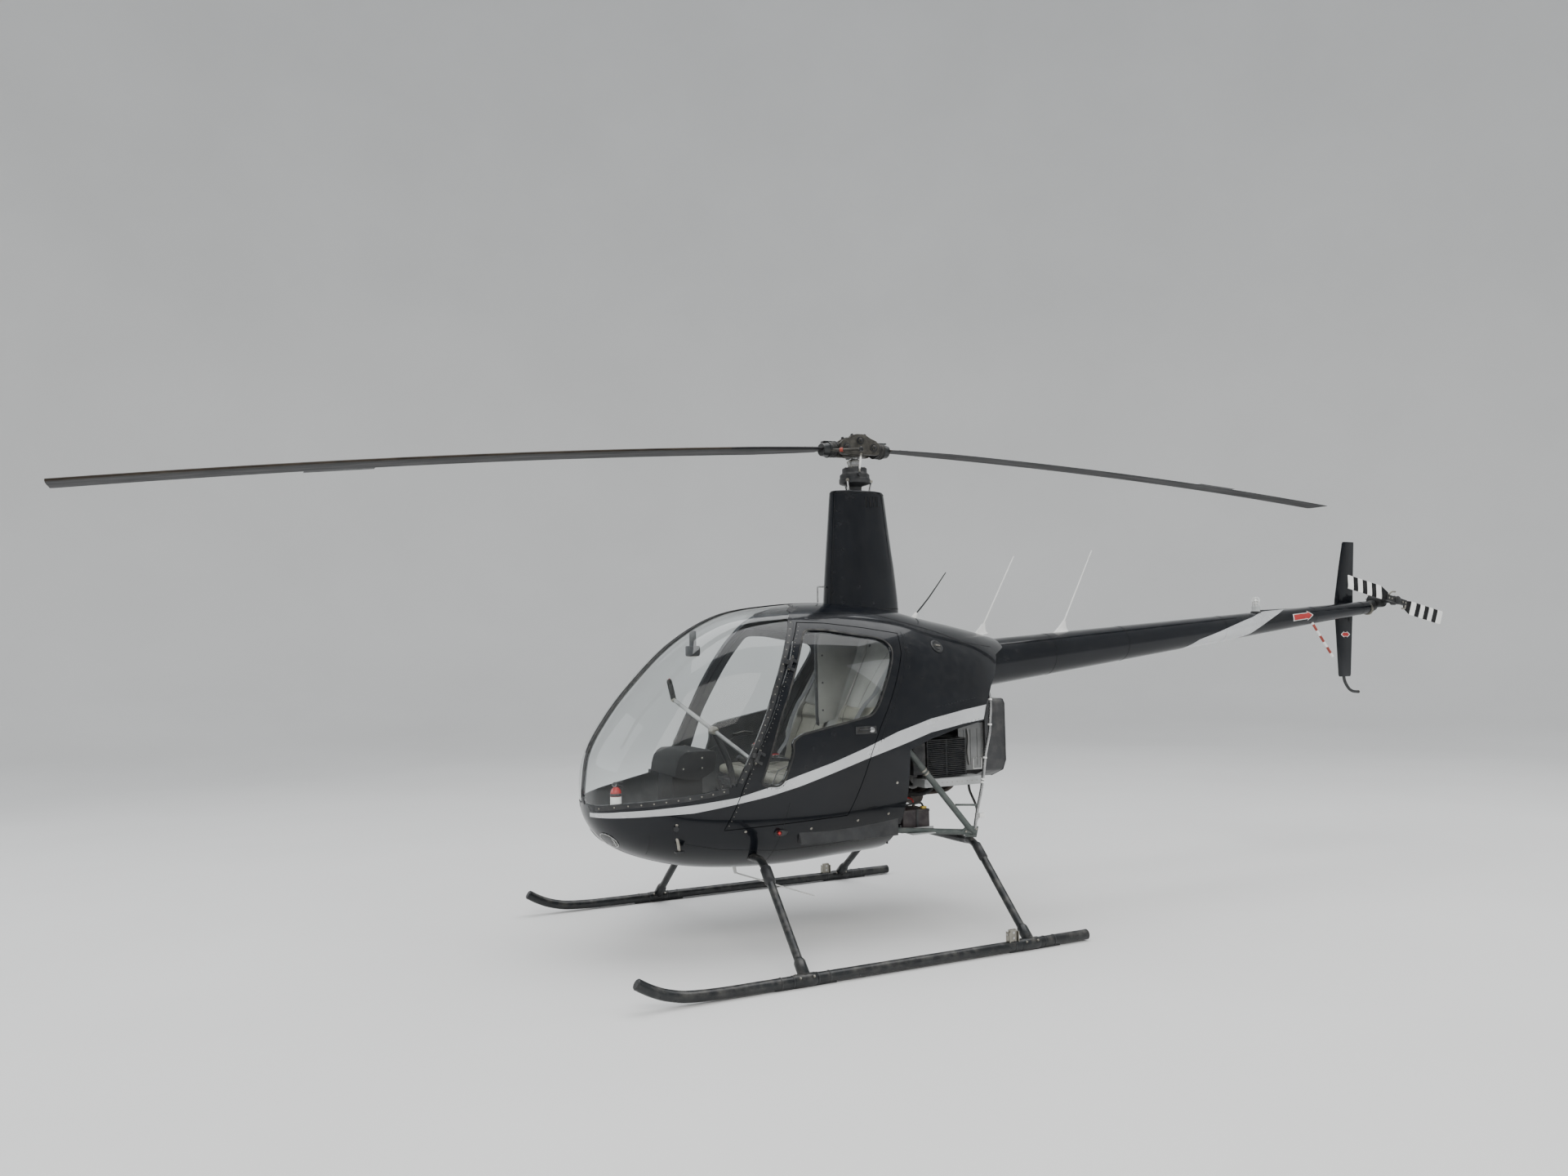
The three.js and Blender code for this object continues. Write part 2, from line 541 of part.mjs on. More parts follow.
function buildTruss(name, side) {
  const at = (p) => sided(side, p);
  const diagonal = rod(at(TRUSS_FOOT), at([-10, 440, 981]), 17);
  const longeron = rod(at([TRUSS_FOOT[0] - 14, 442, 490]), at([0, 370, 529]), 15);
  const stay = rod(at([-440, 440, 510]), at([-500, 400, 800]), 9);
  const post = rod(at([-440, 440, 500]), at([-545, 410, 1200]), 9);
  const parts = side > 0 ? [longeron, post] : [longeron, stay];
  add(`truss_${name}`, cut(join(diagonal, ...parts), sidePrism(grown(COWL, GAP), -FAR, FAR),
    box(FIREWALL_X - GAP, 300, -FAR, FAR, 300, 700), crosstube(CROSSTUBE_REAR, CROSSTUBE_RADIUS + GAP)), 'tube');
}

function combProfile(y0, yRoot, yTip, z0, z1, fins) {
  const pitch = (z1 - z0) / fins;
  const points = [[y0, z0]];
  for (let i = 0; i < fins; i += 1) {
    const z = z0 + i * pitch;
    points.push([yTip, z], [yTip, z + pitch * 0.55], [yRoot, z + pitch * 0.55], [yRoot, z + pitch]);
  }
  points.pop();
  points.push([yRoot, z1], [y0, z1]);
  return points;
}

function buildEngine() {
  const cowl = sidePrism(grown(COWL, GAP), -FAR, FAR);
  const block = cut(box(-560, -110, -130, 130, 780, 1120), cowl);
  const sump = box(-470, -150, -105, 105, 700, 781);
  const shaft = rod([-559, 0, 955], [-700, 0, 955], 32, 32, 16);
  const fins = frontPrism(combProfile(120, 325, 352, 786, 990, 12), -468, -214);
  add('engine', join(block, sump, shaft, fins, mirrored(fins)), 'satin');
  const scroll = [[-150, 745], [150, 745], [262, 790], [290, 845], [288, 1165], [270, 1190], [-270, 1190], [-288, 1165],
    [-290, 845], [-262, 790]];
  const hollow = scroll.map(([y, z]) => [y * 0.94, 965 + (z - 965) * 0.94]);
  const housing = cut(frontPrism(scroll, -780, -640), frontPrism(hollow, -768, -652),
    rod([-700, 0, 955], [-900, 0, 955], 175, 175, 28), rod([-600, 0, 955], [-660, 0, 955], 32 + GAP, 32 + GAP, 16), cowl);
  const duct = (side) => box(-641, -472, side > 0 ? 262 : -270, side > 0 ? 270 : -262, 800, 1080);
  const lip = (side) => box(-560, -175, side > 0 ? 262 : -380, side > 0 ? 380 : -262, 735, 781);
  const seat = (side) => box(-500, -472, side > 0 ? 130 : -270, side > 0 ? 270 : -130, 775, 800);
  add('cooling_shroud', cut(join(housing, duct(1), duct(-1), lip(1), lip(-1), seat(1), seat(-1)), cowl,
    box(-560 - GAP, -110, -130 - GAP, 130 + GAP, 690, FAR)), 'grey');
  const hub = rod([-700 - GAP, 0, 955], [-760, 0, 955], 60, 60, 20);
  const wheel = cut(rod([-705, 0, 955], [-762, 0, 955], 165, 165, 28), rod([-715, 0, 955], [-800, 0, 955], 140, 140, 28));
  add('cooling_fan', join(hub, wheel), 'steel');
  const muffler = join(rod([-330, -290, 648], [-330, 60, 648], 48, 48, 16), rod([-330, -240, 648], [-360, -260, 540], 24));
  add('exhaust_muffler', join(muffler, rod([-330, -60, 648], [-330, -60, 699.7], 22)), 'steel');
  const tray = cut(box(-240, -40, 200, 440, 505, 518), rod([-450, 442, 490], [0, 370, 529], 15 + GAP));
  add('battery', join(box(-222, -52, 195, 350, 517, 635), tray), 'satin');
}

function buildTail() {
  const { x, y, z } = TAIL_ROTOR_AT;
  const housing = join(rod([BOOM_END.x + 5, 0, 1716], [x + 40, 0, z - 30], 48, 40, 16),
    rod([x, -45, z], [x, 60, z], 50, 42, 16), rod([x, 55, z], [x, y - 35, z], 17, 17, 16));
  add('tail_gearbox', cut(housing, boomForm(GAP)), 'satin');
  const blade = bladeForm({
    root: 90, tip: TAIL_ROTOR_RADIUS, chord: -TAIL_ROTOR_CHORD, spans: 1, pitch: 0.1, drop: () => 0,
  }).rotateX(Math.PI / 2);
  const other = blade.clone().rotateY(Math.PI);
  const yoke = join(box(-110, 110, -12, 12, -24, 24), blade, other).rotate([0, 0, TAIL_ROTOR_TEETER_DEG]);
  const rotor = geometryOf(join(rod([0, -35 + GAP, 0], [0, 22, 0], 34, 30, 16), yoke))
    .rotateY(-TAIL_ROTOR_TILT).translate(x, y, z);
  add('tail_rotor', rotor, 'blade');
  const finSide = [[-4160, 2200], [-4288, 2210], [-4250, 1785], [-4250, 1740], [-4195, 1225], [-4065, 1215], [-4050, 1740], [-4052, 1765]];
  const bracket = box(-4240, -4080, -90, -30, 1690, 1730);
  const tailSkid = tube([[-4120, -100, 1230], [-4140, -100, 1170], [-4200, -100, 1115], [-4270, -100, 1107]], 11, 8, 10);
  add('fin', cut(join(sidePrism(finSide, -112, -88), bracket, tailSkid), boomForm(GAP)), 'black');
  const stabiliser = [[-4060, 1722], [-4075, 1732], [-4160, 1736], [-4290, 1722], [-4160, 1710], [-4075, 1712]];
  add('stabiliser', sidePrism(stabiliser, -830, -112 - GAP), 'black');
}

// Point on the boom's top line at a station
function boomTop(x) {
  const share = (x - BOOM_ROOT.x) / (BOOM_END.x - BOOM_ROOT.x);
  const radius = BOOM_ROOT.radius + share * (BOOM_END.radius - BOOM_ROOT.radius);
  return BOOM_ROOT.z + share * (BOOM_END.z - BOOM_ROOT.z) + radius;
}

function buildFittings() {
  const boom = boomForm(GAP);
  const body = bodyForm(-GAP);
  add('beacon', cut(rod([-3130, 0, boomTop(-3130) - 25], [-3138, 0, boomTop(-3130) + 108], 28, 24, 14), boom), 'lamp');
  const whip = (x, foot, rise) => join(
    rod([x, 0, foot - 30], [x - 275, 0, foot + rise], 5, 3, 8),
    sidePrism([[x - 75, foot - 30], [x + 55, foot - 30], [x - 35, foot + 70], [x - 48, foot + 70]], -6, 6));
  add('antenna_rear', cut(whip(-1428, boomTop(-1428), 510), boom), 'white');
  add('antenna_middle', cut(whip(-820, 1552, 475), body), 'white');
  add('antenna_front', cut(join(rod([-368, 0, 1630], [-600, 0, 1921], 4, 3, 8), rod([-350, 0, 1620], [-392, 0, 1684], 26, 10, 12)), body), 'white');
  add('antenna_belly', cut(join(rod([775, 0, 375], [765, 0, 322], 9, 7, 8), rod([765, 0, 322], [330, 60, 166], 4, 3, 8)), body), 'white');
  add('guard_rod', cut(rod([-3625, 30, 1640], [-3819, 50, 1372], 9, 9, 10), boom), 'white');
  for (const [name, side] of BOTH) {
    const lamp = rod([1440, side * 100, 600], [1520, side * 108, 535], 52, 52, 20);
    add(`landing_light_${name}`, cut(common(lamp, bodyForm(-4)), body), 'lamp');
    const nav = cut(rod([729, side * 470, 592], [729, side * 537, 592], 22, 10, 14), outer);
    add(`nav_light_${name}`, nav.translate([0, side * GAP, 0]), side > 0 ? 'red' : 'green');
  }
  const bottle = turned([[0, 0], [27, 0], [27, 120], [20, 135], [12, 142], [12, 167], [0, 167]], 16)
    .translate(...BOTTLE_AT);
  const holder = common(box(1445, 1469, 140, 160, 400, 700), bodyForm(WALL + GAP));
  add('fire_extinguisher', join(bottle, cut(holder, box(0, FAR, -FAR, FAR, 0, FLOOR_Z + GAP))), 'red');
}

buildCabin();
buildWindshield();
buildSeatBase();
buildConsole();
buildCyclic();
for (const [name, side] of BOTH) {
  buildDoor(side);
  buildSeat(name, side);
  buildSkid(name, side);
  buildTruss(name, side);
}
buildCrosstubes();
buildEngine();
buildMast();
buildRotor();
add('tail_boom', boomForm(0), 'black');
buildTail();
buildFittings();

// Origin under the middle of the whole machine, on the ground
const extent = new THREE.Box3().setFromObject(aircraft);
const middle = extent.getCenter(new THREE.Vector3());
aircraft.position.set(-middle.x, -middle.y, -extent.min.z);

export default aircraft;
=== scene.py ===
"""Looks of a light two-seat helicopter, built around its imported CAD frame.

Metres. Tables and helpers work in station coordinates: X = 0 and Y = 0 on the mast, Z = 0 on the ground.
+X is to the nose, +Y to the left side and +Z up. ORIGIN moves them to the frame.
"""
import json
import math

import bmesh
import bpy
import numpy as np
from mathutils import Matrix, Vector
from mathutils.geometry import delaunay_2d_cdt

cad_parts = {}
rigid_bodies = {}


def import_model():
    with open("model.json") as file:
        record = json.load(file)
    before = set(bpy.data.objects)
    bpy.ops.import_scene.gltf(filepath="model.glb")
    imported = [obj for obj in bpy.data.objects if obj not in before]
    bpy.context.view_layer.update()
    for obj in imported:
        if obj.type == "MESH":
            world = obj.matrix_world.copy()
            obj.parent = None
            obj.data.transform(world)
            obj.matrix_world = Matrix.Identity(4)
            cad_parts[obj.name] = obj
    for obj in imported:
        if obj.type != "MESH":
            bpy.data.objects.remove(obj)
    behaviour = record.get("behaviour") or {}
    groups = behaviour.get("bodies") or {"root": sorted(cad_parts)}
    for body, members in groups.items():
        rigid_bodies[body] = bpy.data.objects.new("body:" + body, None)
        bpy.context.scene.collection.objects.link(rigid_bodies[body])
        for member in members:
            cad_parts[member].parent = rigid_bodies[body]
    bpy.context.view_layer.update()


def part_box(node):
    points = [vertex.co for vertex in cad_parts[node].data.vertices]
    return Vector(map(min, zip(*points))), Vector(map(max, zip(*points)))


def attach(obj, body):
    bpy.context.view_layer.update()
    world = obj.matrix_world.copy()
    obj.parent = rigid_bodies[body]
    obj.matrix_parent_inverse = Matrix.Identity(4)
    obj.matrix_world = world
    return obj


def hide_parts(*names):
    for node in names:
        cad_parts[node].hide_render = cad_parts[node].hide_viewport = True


for left_over in list(bpy.data.objects):
    bpy.data.objects.remove(left_over)
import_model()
mast_low, mast_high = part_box("mast")
ORIGIN = np.array([(mast_low.x + mast_high.x) / 2, 0.0, 0.0])
MM = 0.001

# Camera of the photograph: place, heading, pitch and roll in station coordinates
EYE = (3.0959, 5.4223, 1.4899)
HEADING, PITCH, ROLL = math.radians(-115.969), math.radians(3.134), math.radians(-0.942)
FOCAL_PX, FRAME_WIDTH_PX, SENSOR = 1360.23, 1920, 36.0


def make_camera():
    """Camera that stands where the photograph was taken."""
    ahead = Vector((math.cos(HEADING) * math.cos(PITCH), math.sin(HEADING) * math.cos(PITCH),
                    math.sin(PITCH)))
    right = Vector((math.sin(HEADING), -math.cos(HEADING), 0))
    up = right.cross(ahead)
    side = right * math.cos(ROLL) + up * math.sin(ROLL)
    top = up * math.cos(ROLL) - right * math.sin(ROLL)
    data = bpy.data.cameras.new("photo_camera")
    data.sensor_width = SENSOR
    data.lens = FOCAL_PX / FRAME_WIDTH_PX * SENSOR
    camera = bpy.data.objects.new("photo_camera", data)
    bpy.context.scene.collection.objects.link(camera)
    turn = Matrix((side, top, -ahead)).transposed().to_4x4()
    camera.matrix_world = Matrix.Translation(Vector(EYE) + Vector(ORIGIN)) @ turn
    bpy.context.scene.camera = camera


make_camera()


# Materials
class Nodes:
    """A material's node tree, with short ways to add the nodes used here."""

    def __init__(self, name):
        self.material = bpy.data.materials.new(name)
        self.material.use_nodes = True
        self.tree = self.material.node_tree
        self.shader = self.tree.nodes["Principled BSDF"]
        self.output = self.tree.nodes["Material Output"]
        self.place = self.tree.nodes.new("ShaderNodeTexCoord").outputs["Object"]

    def node(self, kind, inputs=None, **settings):
        made = self.tree.nodes.new(kind)
        for key, value in settings.items():
            setattr(made, key, value)
        for key, value in (inputs or {}).items():
            if isinstance(value, bpy.types.NodeSocket):
                self.tree.links.new(value, made.inputs[key])
            else:
                made.inputs[key].default_value = value
        return made

    def noise(self, scale, detail=4.0, roughness=0.55, stretch=None):
        place = self.place
        if stretch:
            place = self.node("ShaderNodeVectorMath", {0: place, 1: stretch},
                              operation="MULTIPLY").outputs[0]
        inputs = {"Vector": place, "Scale": scale, "Detail": detail, "Roughness": roughness}
        return self.node("ShaderNodeTexNoise", inputs).outputs["Fac"]

    def ramp(self, value, stops):
        made = self.node("ShaderNodeValToRGB", {0: value})
        ramp = made.color_ramp
        while len(ramp.elements) < len(stops):
            ramp.elements.new(0.5)
        for element, (place, colour) in zip(ramp.elements, stops):
            element.position = place
            element.color = (*colour, 1)
        return made.outputs["Color"]

    def span(self, value, low, high, from_low=0.3, from_high=0.7):
        inputs = {0: value, 1: from_low, 2: from_high, 3: low, 4: high}
        return self.node("ShaderNodeMapRange", inputs).outputs[0]

    def math(self, operation, a, b):
        return self.node("ShaderNodeMath", {0: a, 1: b}, operation=operation).outputs[0]

    def mix(self, share, a, b):
        made = self.node("ShaderNodeMix", {0: share}, data_type="RGBA")
        for socket, value in ((made.inputs[6], a), (made.inputs[7], b)):
            if isinstance(value, bpy.types.NodeSocket):
                self.tree.links.new(value, socket)
            else:
                socket.default_value = (*value, 1)
        return made.outputs[2]

    def set(self, **values):
        for key, value in values.items():
            socket = self.shader.inputs[key.replace("_", " ")]
            if isinstance(value, bpy.types.NodeSocket):
                self.tree.links.new(value, socket)
            elif isinstance(value, tuple) and len(value) == 3:
                socket.default_value = (*value, 1)
            else:
                socket.default_value = value

    def bump(self, height, strength, distance):
        inputs = {"Height": height, "Strength": strength, "Distance": distance}
        return self.node("ShaderNodeBump", inputs).outputs["Normal"]


def finish(name, low, high, rough=(0.3, 0.5), metal=0.0, mottle=5.0, grain=400.0, bump=0.15, depth=0.0004,
           coat=0.0, coat_rough=0.03, sheen=0.0, dust_and_top_light=0.0, stretch=None, detail=5.0, specular=0.5):
    """A surface whose colour, gloss and relief vary: low and high are its darkest and lightest colours."""
    n = Nodes(name)
    broad = n.noise(mottle, detail, stretch=stretch)
    colour = n.ramp(broad, [(0.3, low), (0.7, high)])
    # Upward faces turn grey-brown in noisy patches: dust, and on the hub casting also painted sky light on
    # its tops
    if dust_and_top_light:
        normal = n.node("ShaderNodeNewGeometry").outputs["Normal"]
        facing = n.node("ShaderNodeSeparateXYZ", {0: normal}).outputs["Z"]
        share = n.math("MULTIPLY", n.span(facing, 0.15, 1.0, -0.3, 1.0),
                       n.span(n.noise(23.0, 8.0), 0.0, dust_and_top_light, 0.45, 0.8))
        colour = n.mix(share, colour, (0.32, 0.3, 0.27))
    gloss = n.span(n.noise(mottle * 2.7, 6.0, stretch=stretch), *rough)
    n.set(Base_Color=colour, Metallic=metal, Roughness=gloss, Coat_Weight=coat, Coat_Roughness=coat_rough,
          Sheen_Weight=sheen, Specular_IOR_Level=specular,
          Normal=n.bump(n.noise(grain, 3.0, stretch=stretch), bump, depth))
    return n.material


def clear(name, tint, rough=0.0, haze=0.02, ior=1.49):
    """Acrylic that lets the lamps' light through."""
    n = Nodes(name)
    scratches = n.noise(60.0, 8.0, stretch=(1, 1, 4))
    n.set(Base_Color=tint, Transmission_Weight=1.0, IOR=ior,
          Roughness=n.span(scratches, rough, rough + haze), Normal=n.bump(n.noise(3.0, 2.0), 0.05, 0.002))
    passing = n.node("ShaderNodeBsdfTransparent", {"Color": (*tint, 1)})
    shadow = n.node("ShaderNodeLightPath").outputs["Is Shadow Ray"]
    mixed = n.node("ShaderNodeMixShader", {0: shadow, 1: n.shader.outputs[0], 2: passing.outputs[0]})
    n.tree.links.new(mixed.outputs[0], n.output.inputs["Surface"])
    return n.material


BLACK = finish("gloss_black", (0.003, 0.0036, 0.005), (0.006, 0.0075, 0.0105), (0.14, 0.26), mottle=1.6,
               grain=90.0, bump=0.03, depth=0.0006, coat=0.35, coat_rough=0.02, dust_and_top_light=0.05, specular=0.15)
SILVER = finish("silver_paint", (0.42, 0.43, 0.44), (0.52, 0.53, 0.54), (0.2, 0.3), metal=0.15, mottle=3.0,
                grain=900.0, bump=0.05, coat=0.8, dust_and_top_light=0.15)
# Near black for panel seams, and as painted shade for the fairing's slots and creases
SEAM_AND_SHADE = finish("seam_and_painted_shade", (0.002, 0.002, 0.002), (0.006, 0.006, 0.006), (0.6, 0.8), mottle=40.0)
SATIN = finish("satin_black", (0.01, 0.011, 0.012), (0.022, 0.023, 0.025), (0.35, 0.55), mottle=12.0,
               grain=500.0, bump=0.2, dust_and_top_light=0.2)
RUBBER = finish("rubber_black", (0.012, 0.012, 0.012), (0.025, 0.025, 0.024), (0.6, 0.8), mottle=20.0,
                grain=700.0, bump=0.35, dust_and_top_light=0.3)
GEAR = finish("gear_paint", (0.008, 0.009, 0.01), (0.018, 0.02, 0.021), (0.25, 0.45), mottle=9.0,
              grain=260.0, bump=0.08, coat=0.2, coat_rough=0.1, dust_and_top_light=0.3, specular=0.3)
TRUSS = finish("truss_paint", (0.045, 0.055, 0.052), (0.075, 0.088, 0.083), (0.35, 0.5), mottle=14.0,
               grain=500.0, dust_and_top_light=0.4)
BLADE = finish("blade_paint", (0.005, 0.005, 0.006), (0.011, 0.011, 0.012), (0.4, 0.55), mottle=3.0,
               grain=420.0, bump=0.08, stretch=(0.4, 3, 3), dust_and_top_light=0.12, specular=0.15)
LEADING = finish("blade_edge_steel", (0.018, 0.014, 0.011), (0.05, 0.04, 0.03), (0.35, 0.55), metal=0.5,
                 mottle=18.0, stretch=(0.5, 4, 4), specular=0.2)
STEEL = finish("bright_steel", (0.38, 0.38, 0.38), (0.6, 0.6, 0.59), (0.18, 0.35), metal=1.0, mottle=18.0,
               grain=900.0)
ZINC = finish("plated_steel", (0.24, 0.23, 0.2), (0.4, 0.38, 0.33), (0.3, 0.5), metal=0.9, mottle=25.0)
ALLOY = finish("cast_alloy", (0.2, 0.2, 0.2), (0.34, 0.34, 0.33), (0.4, 0.6), metal=0.8, mottle=16.0,
               grain=600.0, bump=0.5, depth=0.0008, dust_and_top_light=0.3)
SHROUD = finish("shroud_grey", (0.34, 0.35, 0.35), (0.46, 0.47, 0.47), (0.4, 0.6), metal=0.25, mottle=8.0,
                grain=200.0, bump=0.15, dust_and_top_light=0.4)
SHROUD_DARK = finish("shroud_panel_grey", (0.13, 0.133, 0.133), (0.21, 0.214, 0.212), (0.4, 0.6), metal=0.3,
                     mottle=8.0, grain=200.0, bump=0.15, dust_and_top_light=0.3)
EXHAUST = finish("exhaust_steel", (0.045, 0.038, 0.034), (0.13, 0.112, 0.1), (0.4, 0.65), metal=0.85,
                 mottle=10.0)
# Hub casting: its grey-brown tops are painted sky light as well as dust
HUB = finish("hub_casting", (0.03, 0.029, 0.026), (0.085, 0.08, 0.069), (0.35, 0.6), metal=0.55,
             mottle=30.0, grain=500.0, bump=0.5, depth=0.0008, dust_and_top_light=0.35)
TAIL_METAL = finish("tail_gear_metal", (0.02, 0.021, 0.022), (0.055, 0.056, 0.057), (0.35, 0.55), metal=0.6,
                    mottle=22.0, grain=500.0, bump=0.3, dust_and_top_light=0.25)
ENGINE = finish("engine_paint", (0.012, 0.013, 0.014), (0.035, 0.036, 0.038), (0.45, 0.7), mottle=18.0,
                grain=600.0, bump=0.4, depth=0.0008, dust_and_top_light=0.5)
WHITE = finish("white_paint", (0.68, 0.68, 0.66), (0.8, 0.8, 0.78), (0.25, 0.4), mottle=20.0, grain=700.0,
               dust_and_top_light=0.2)
RODRED = finish("rod_red_brown", (0.2, 0.028, 0.018), (0.3, 0.045, 0.028), (0.35, 0.5), mottle=20.0)
RED = finish("red_paint", (0.26, 0.008, 0.008), (0.4, 0.016, 0.014), (0.15, 0.3), mottle=14.0, coat=0.6)
BULKHEAD = finish("bulkhead_grey", (0.15, 0.15, 0.14), (0.21, 0.21, 0.195), (0.6, 0.8), mottle=7.0,
                  grain=800.0, bump=0.35, depth=0.0006, sheen=0.1)
CARPET = finish("floor_carpet", (0.01, 0.01, 0.011), (0.024, 0.024, 0.025), (0.85, 1.0), mottle=60.0,
                grain=1400.0, bump=0.8, depth=0.002, sheen=0.3)
PANEL = finish("console_texture", (0.005, 0.005, 0.0055), (0.012, 0.012, 0.0125), (0.55, 0.75), mottle=30.0,
               grain=1200.0, bump=0.5, depth=0.0007, specular=0.25)
PATCH = finish("worn_blade_patch", (0.022, 0.014, 0.009), (0.045, 0.029, 0.017), (0.4, 0.6), mottle=9.0,
               grain=400.0, stretch=(0.6, 3, 3))
SCREEN = finish("instrument_face", (0.004, 0.004, 0.005), (0.01, 0.011, 0.012), (0.08, 0.16), mottle=30.0,
                grain=500.0, bump=0.03, coat=1.0)
BELT = finish("belt_webbing", (0.03, 0.032, 0.035), (0.06, 0.062, 0.065), (0.7, 0.85), mottle=40.0,
              grain=1500.0, bump=0.6, depth=0.0008, sheen=0.2, stretch=(1, 3, 1))
FINS = finish("cooler_fins", (0.016, 0.017, 0.018), (0.05, 0.052, 0.055), (0.35, 0.55), metal=0.4,
              mottle=16.0, grain=500.0, dust_and_top_light=0.4)
SCROLL = finish("scroll_black", (0.018, 0.019, 0.021), (0.035, 0.036, 0.038), (0.35, 0.55), mottle=7.0,
                grain=300.0, dust_and_top_light=0.35)
BATTERY = finish("battery_case", (0.016, 0.012, 0.014), (0.034, 0.026, 0.028), (0.4, 0.6), mottle=14.0,
                 grain=500.0, dust_and_top_light=0.4)
YELLOW = finish("terminal_cover", (0.45, 0.32, 0.06), (0.62, 0.46, 0.1), (0.4, 0.6), mottle=30.0)
GLASS = clear("windshield_acrylic", (0.93, 0.95, 0.95), haze=0.008, ior=1.33)
LENS = clear("lamp_lens", (0.95, 0.96, 0.97))
RED_LENS = clear("red_lens", (0.75, 0.03, 0.03), 0.05)
GREEN_LENS = clear("green_lens", (0.03, 0.55, 0.22), 0.05)
SMOKE = clear("beacon_lens", (0.85, 0.86, 0.86), 0.08)


def leather(name, low, high):
    """Creased and worn seat leather."""
    n = Nodes(name)
    cells = n.node("ShaderNodeTexVoronoi", {"Vector": n.place, "Scale": 420.0}, feature="DISTANCE_TO_EDGE")
    creases = n.math("ADD", n.span(cells.outputs["Distance"], 0.0, 0.7, 0.0, 0.25),
                     n.span(n.noise(28.0, 6.0), 0.0, 0.6))
    colour = n.ramp(n.noise(6.0, 5.0), [(0.3, low), (0.72, high)])
    worn = n.mix(n.span(n.noise(2.2, 3.0), 0.0, 0.35, 0.55, 0.75), colour,
                 tuple(min(1.0, 1.5 * c) for c in high))
    n.set(Base_Color=worn, Roughness=n.span(n.noise(17.0, 5.0), 0.38, 0.58),
          Normal=n.bump(creases, 0.4, 0.0012), Coat_Weight=0.12, Coat_Roughness=0.35)
    return n.material


LEATHER = leather("seat_leather", (0.115, 0.111, 0.09), (0.18, 0.174, 0.144))
PIPING = leather("seat_piping", (0.05, 0.048, 0.04), (0.08, 0.076, 0.064))


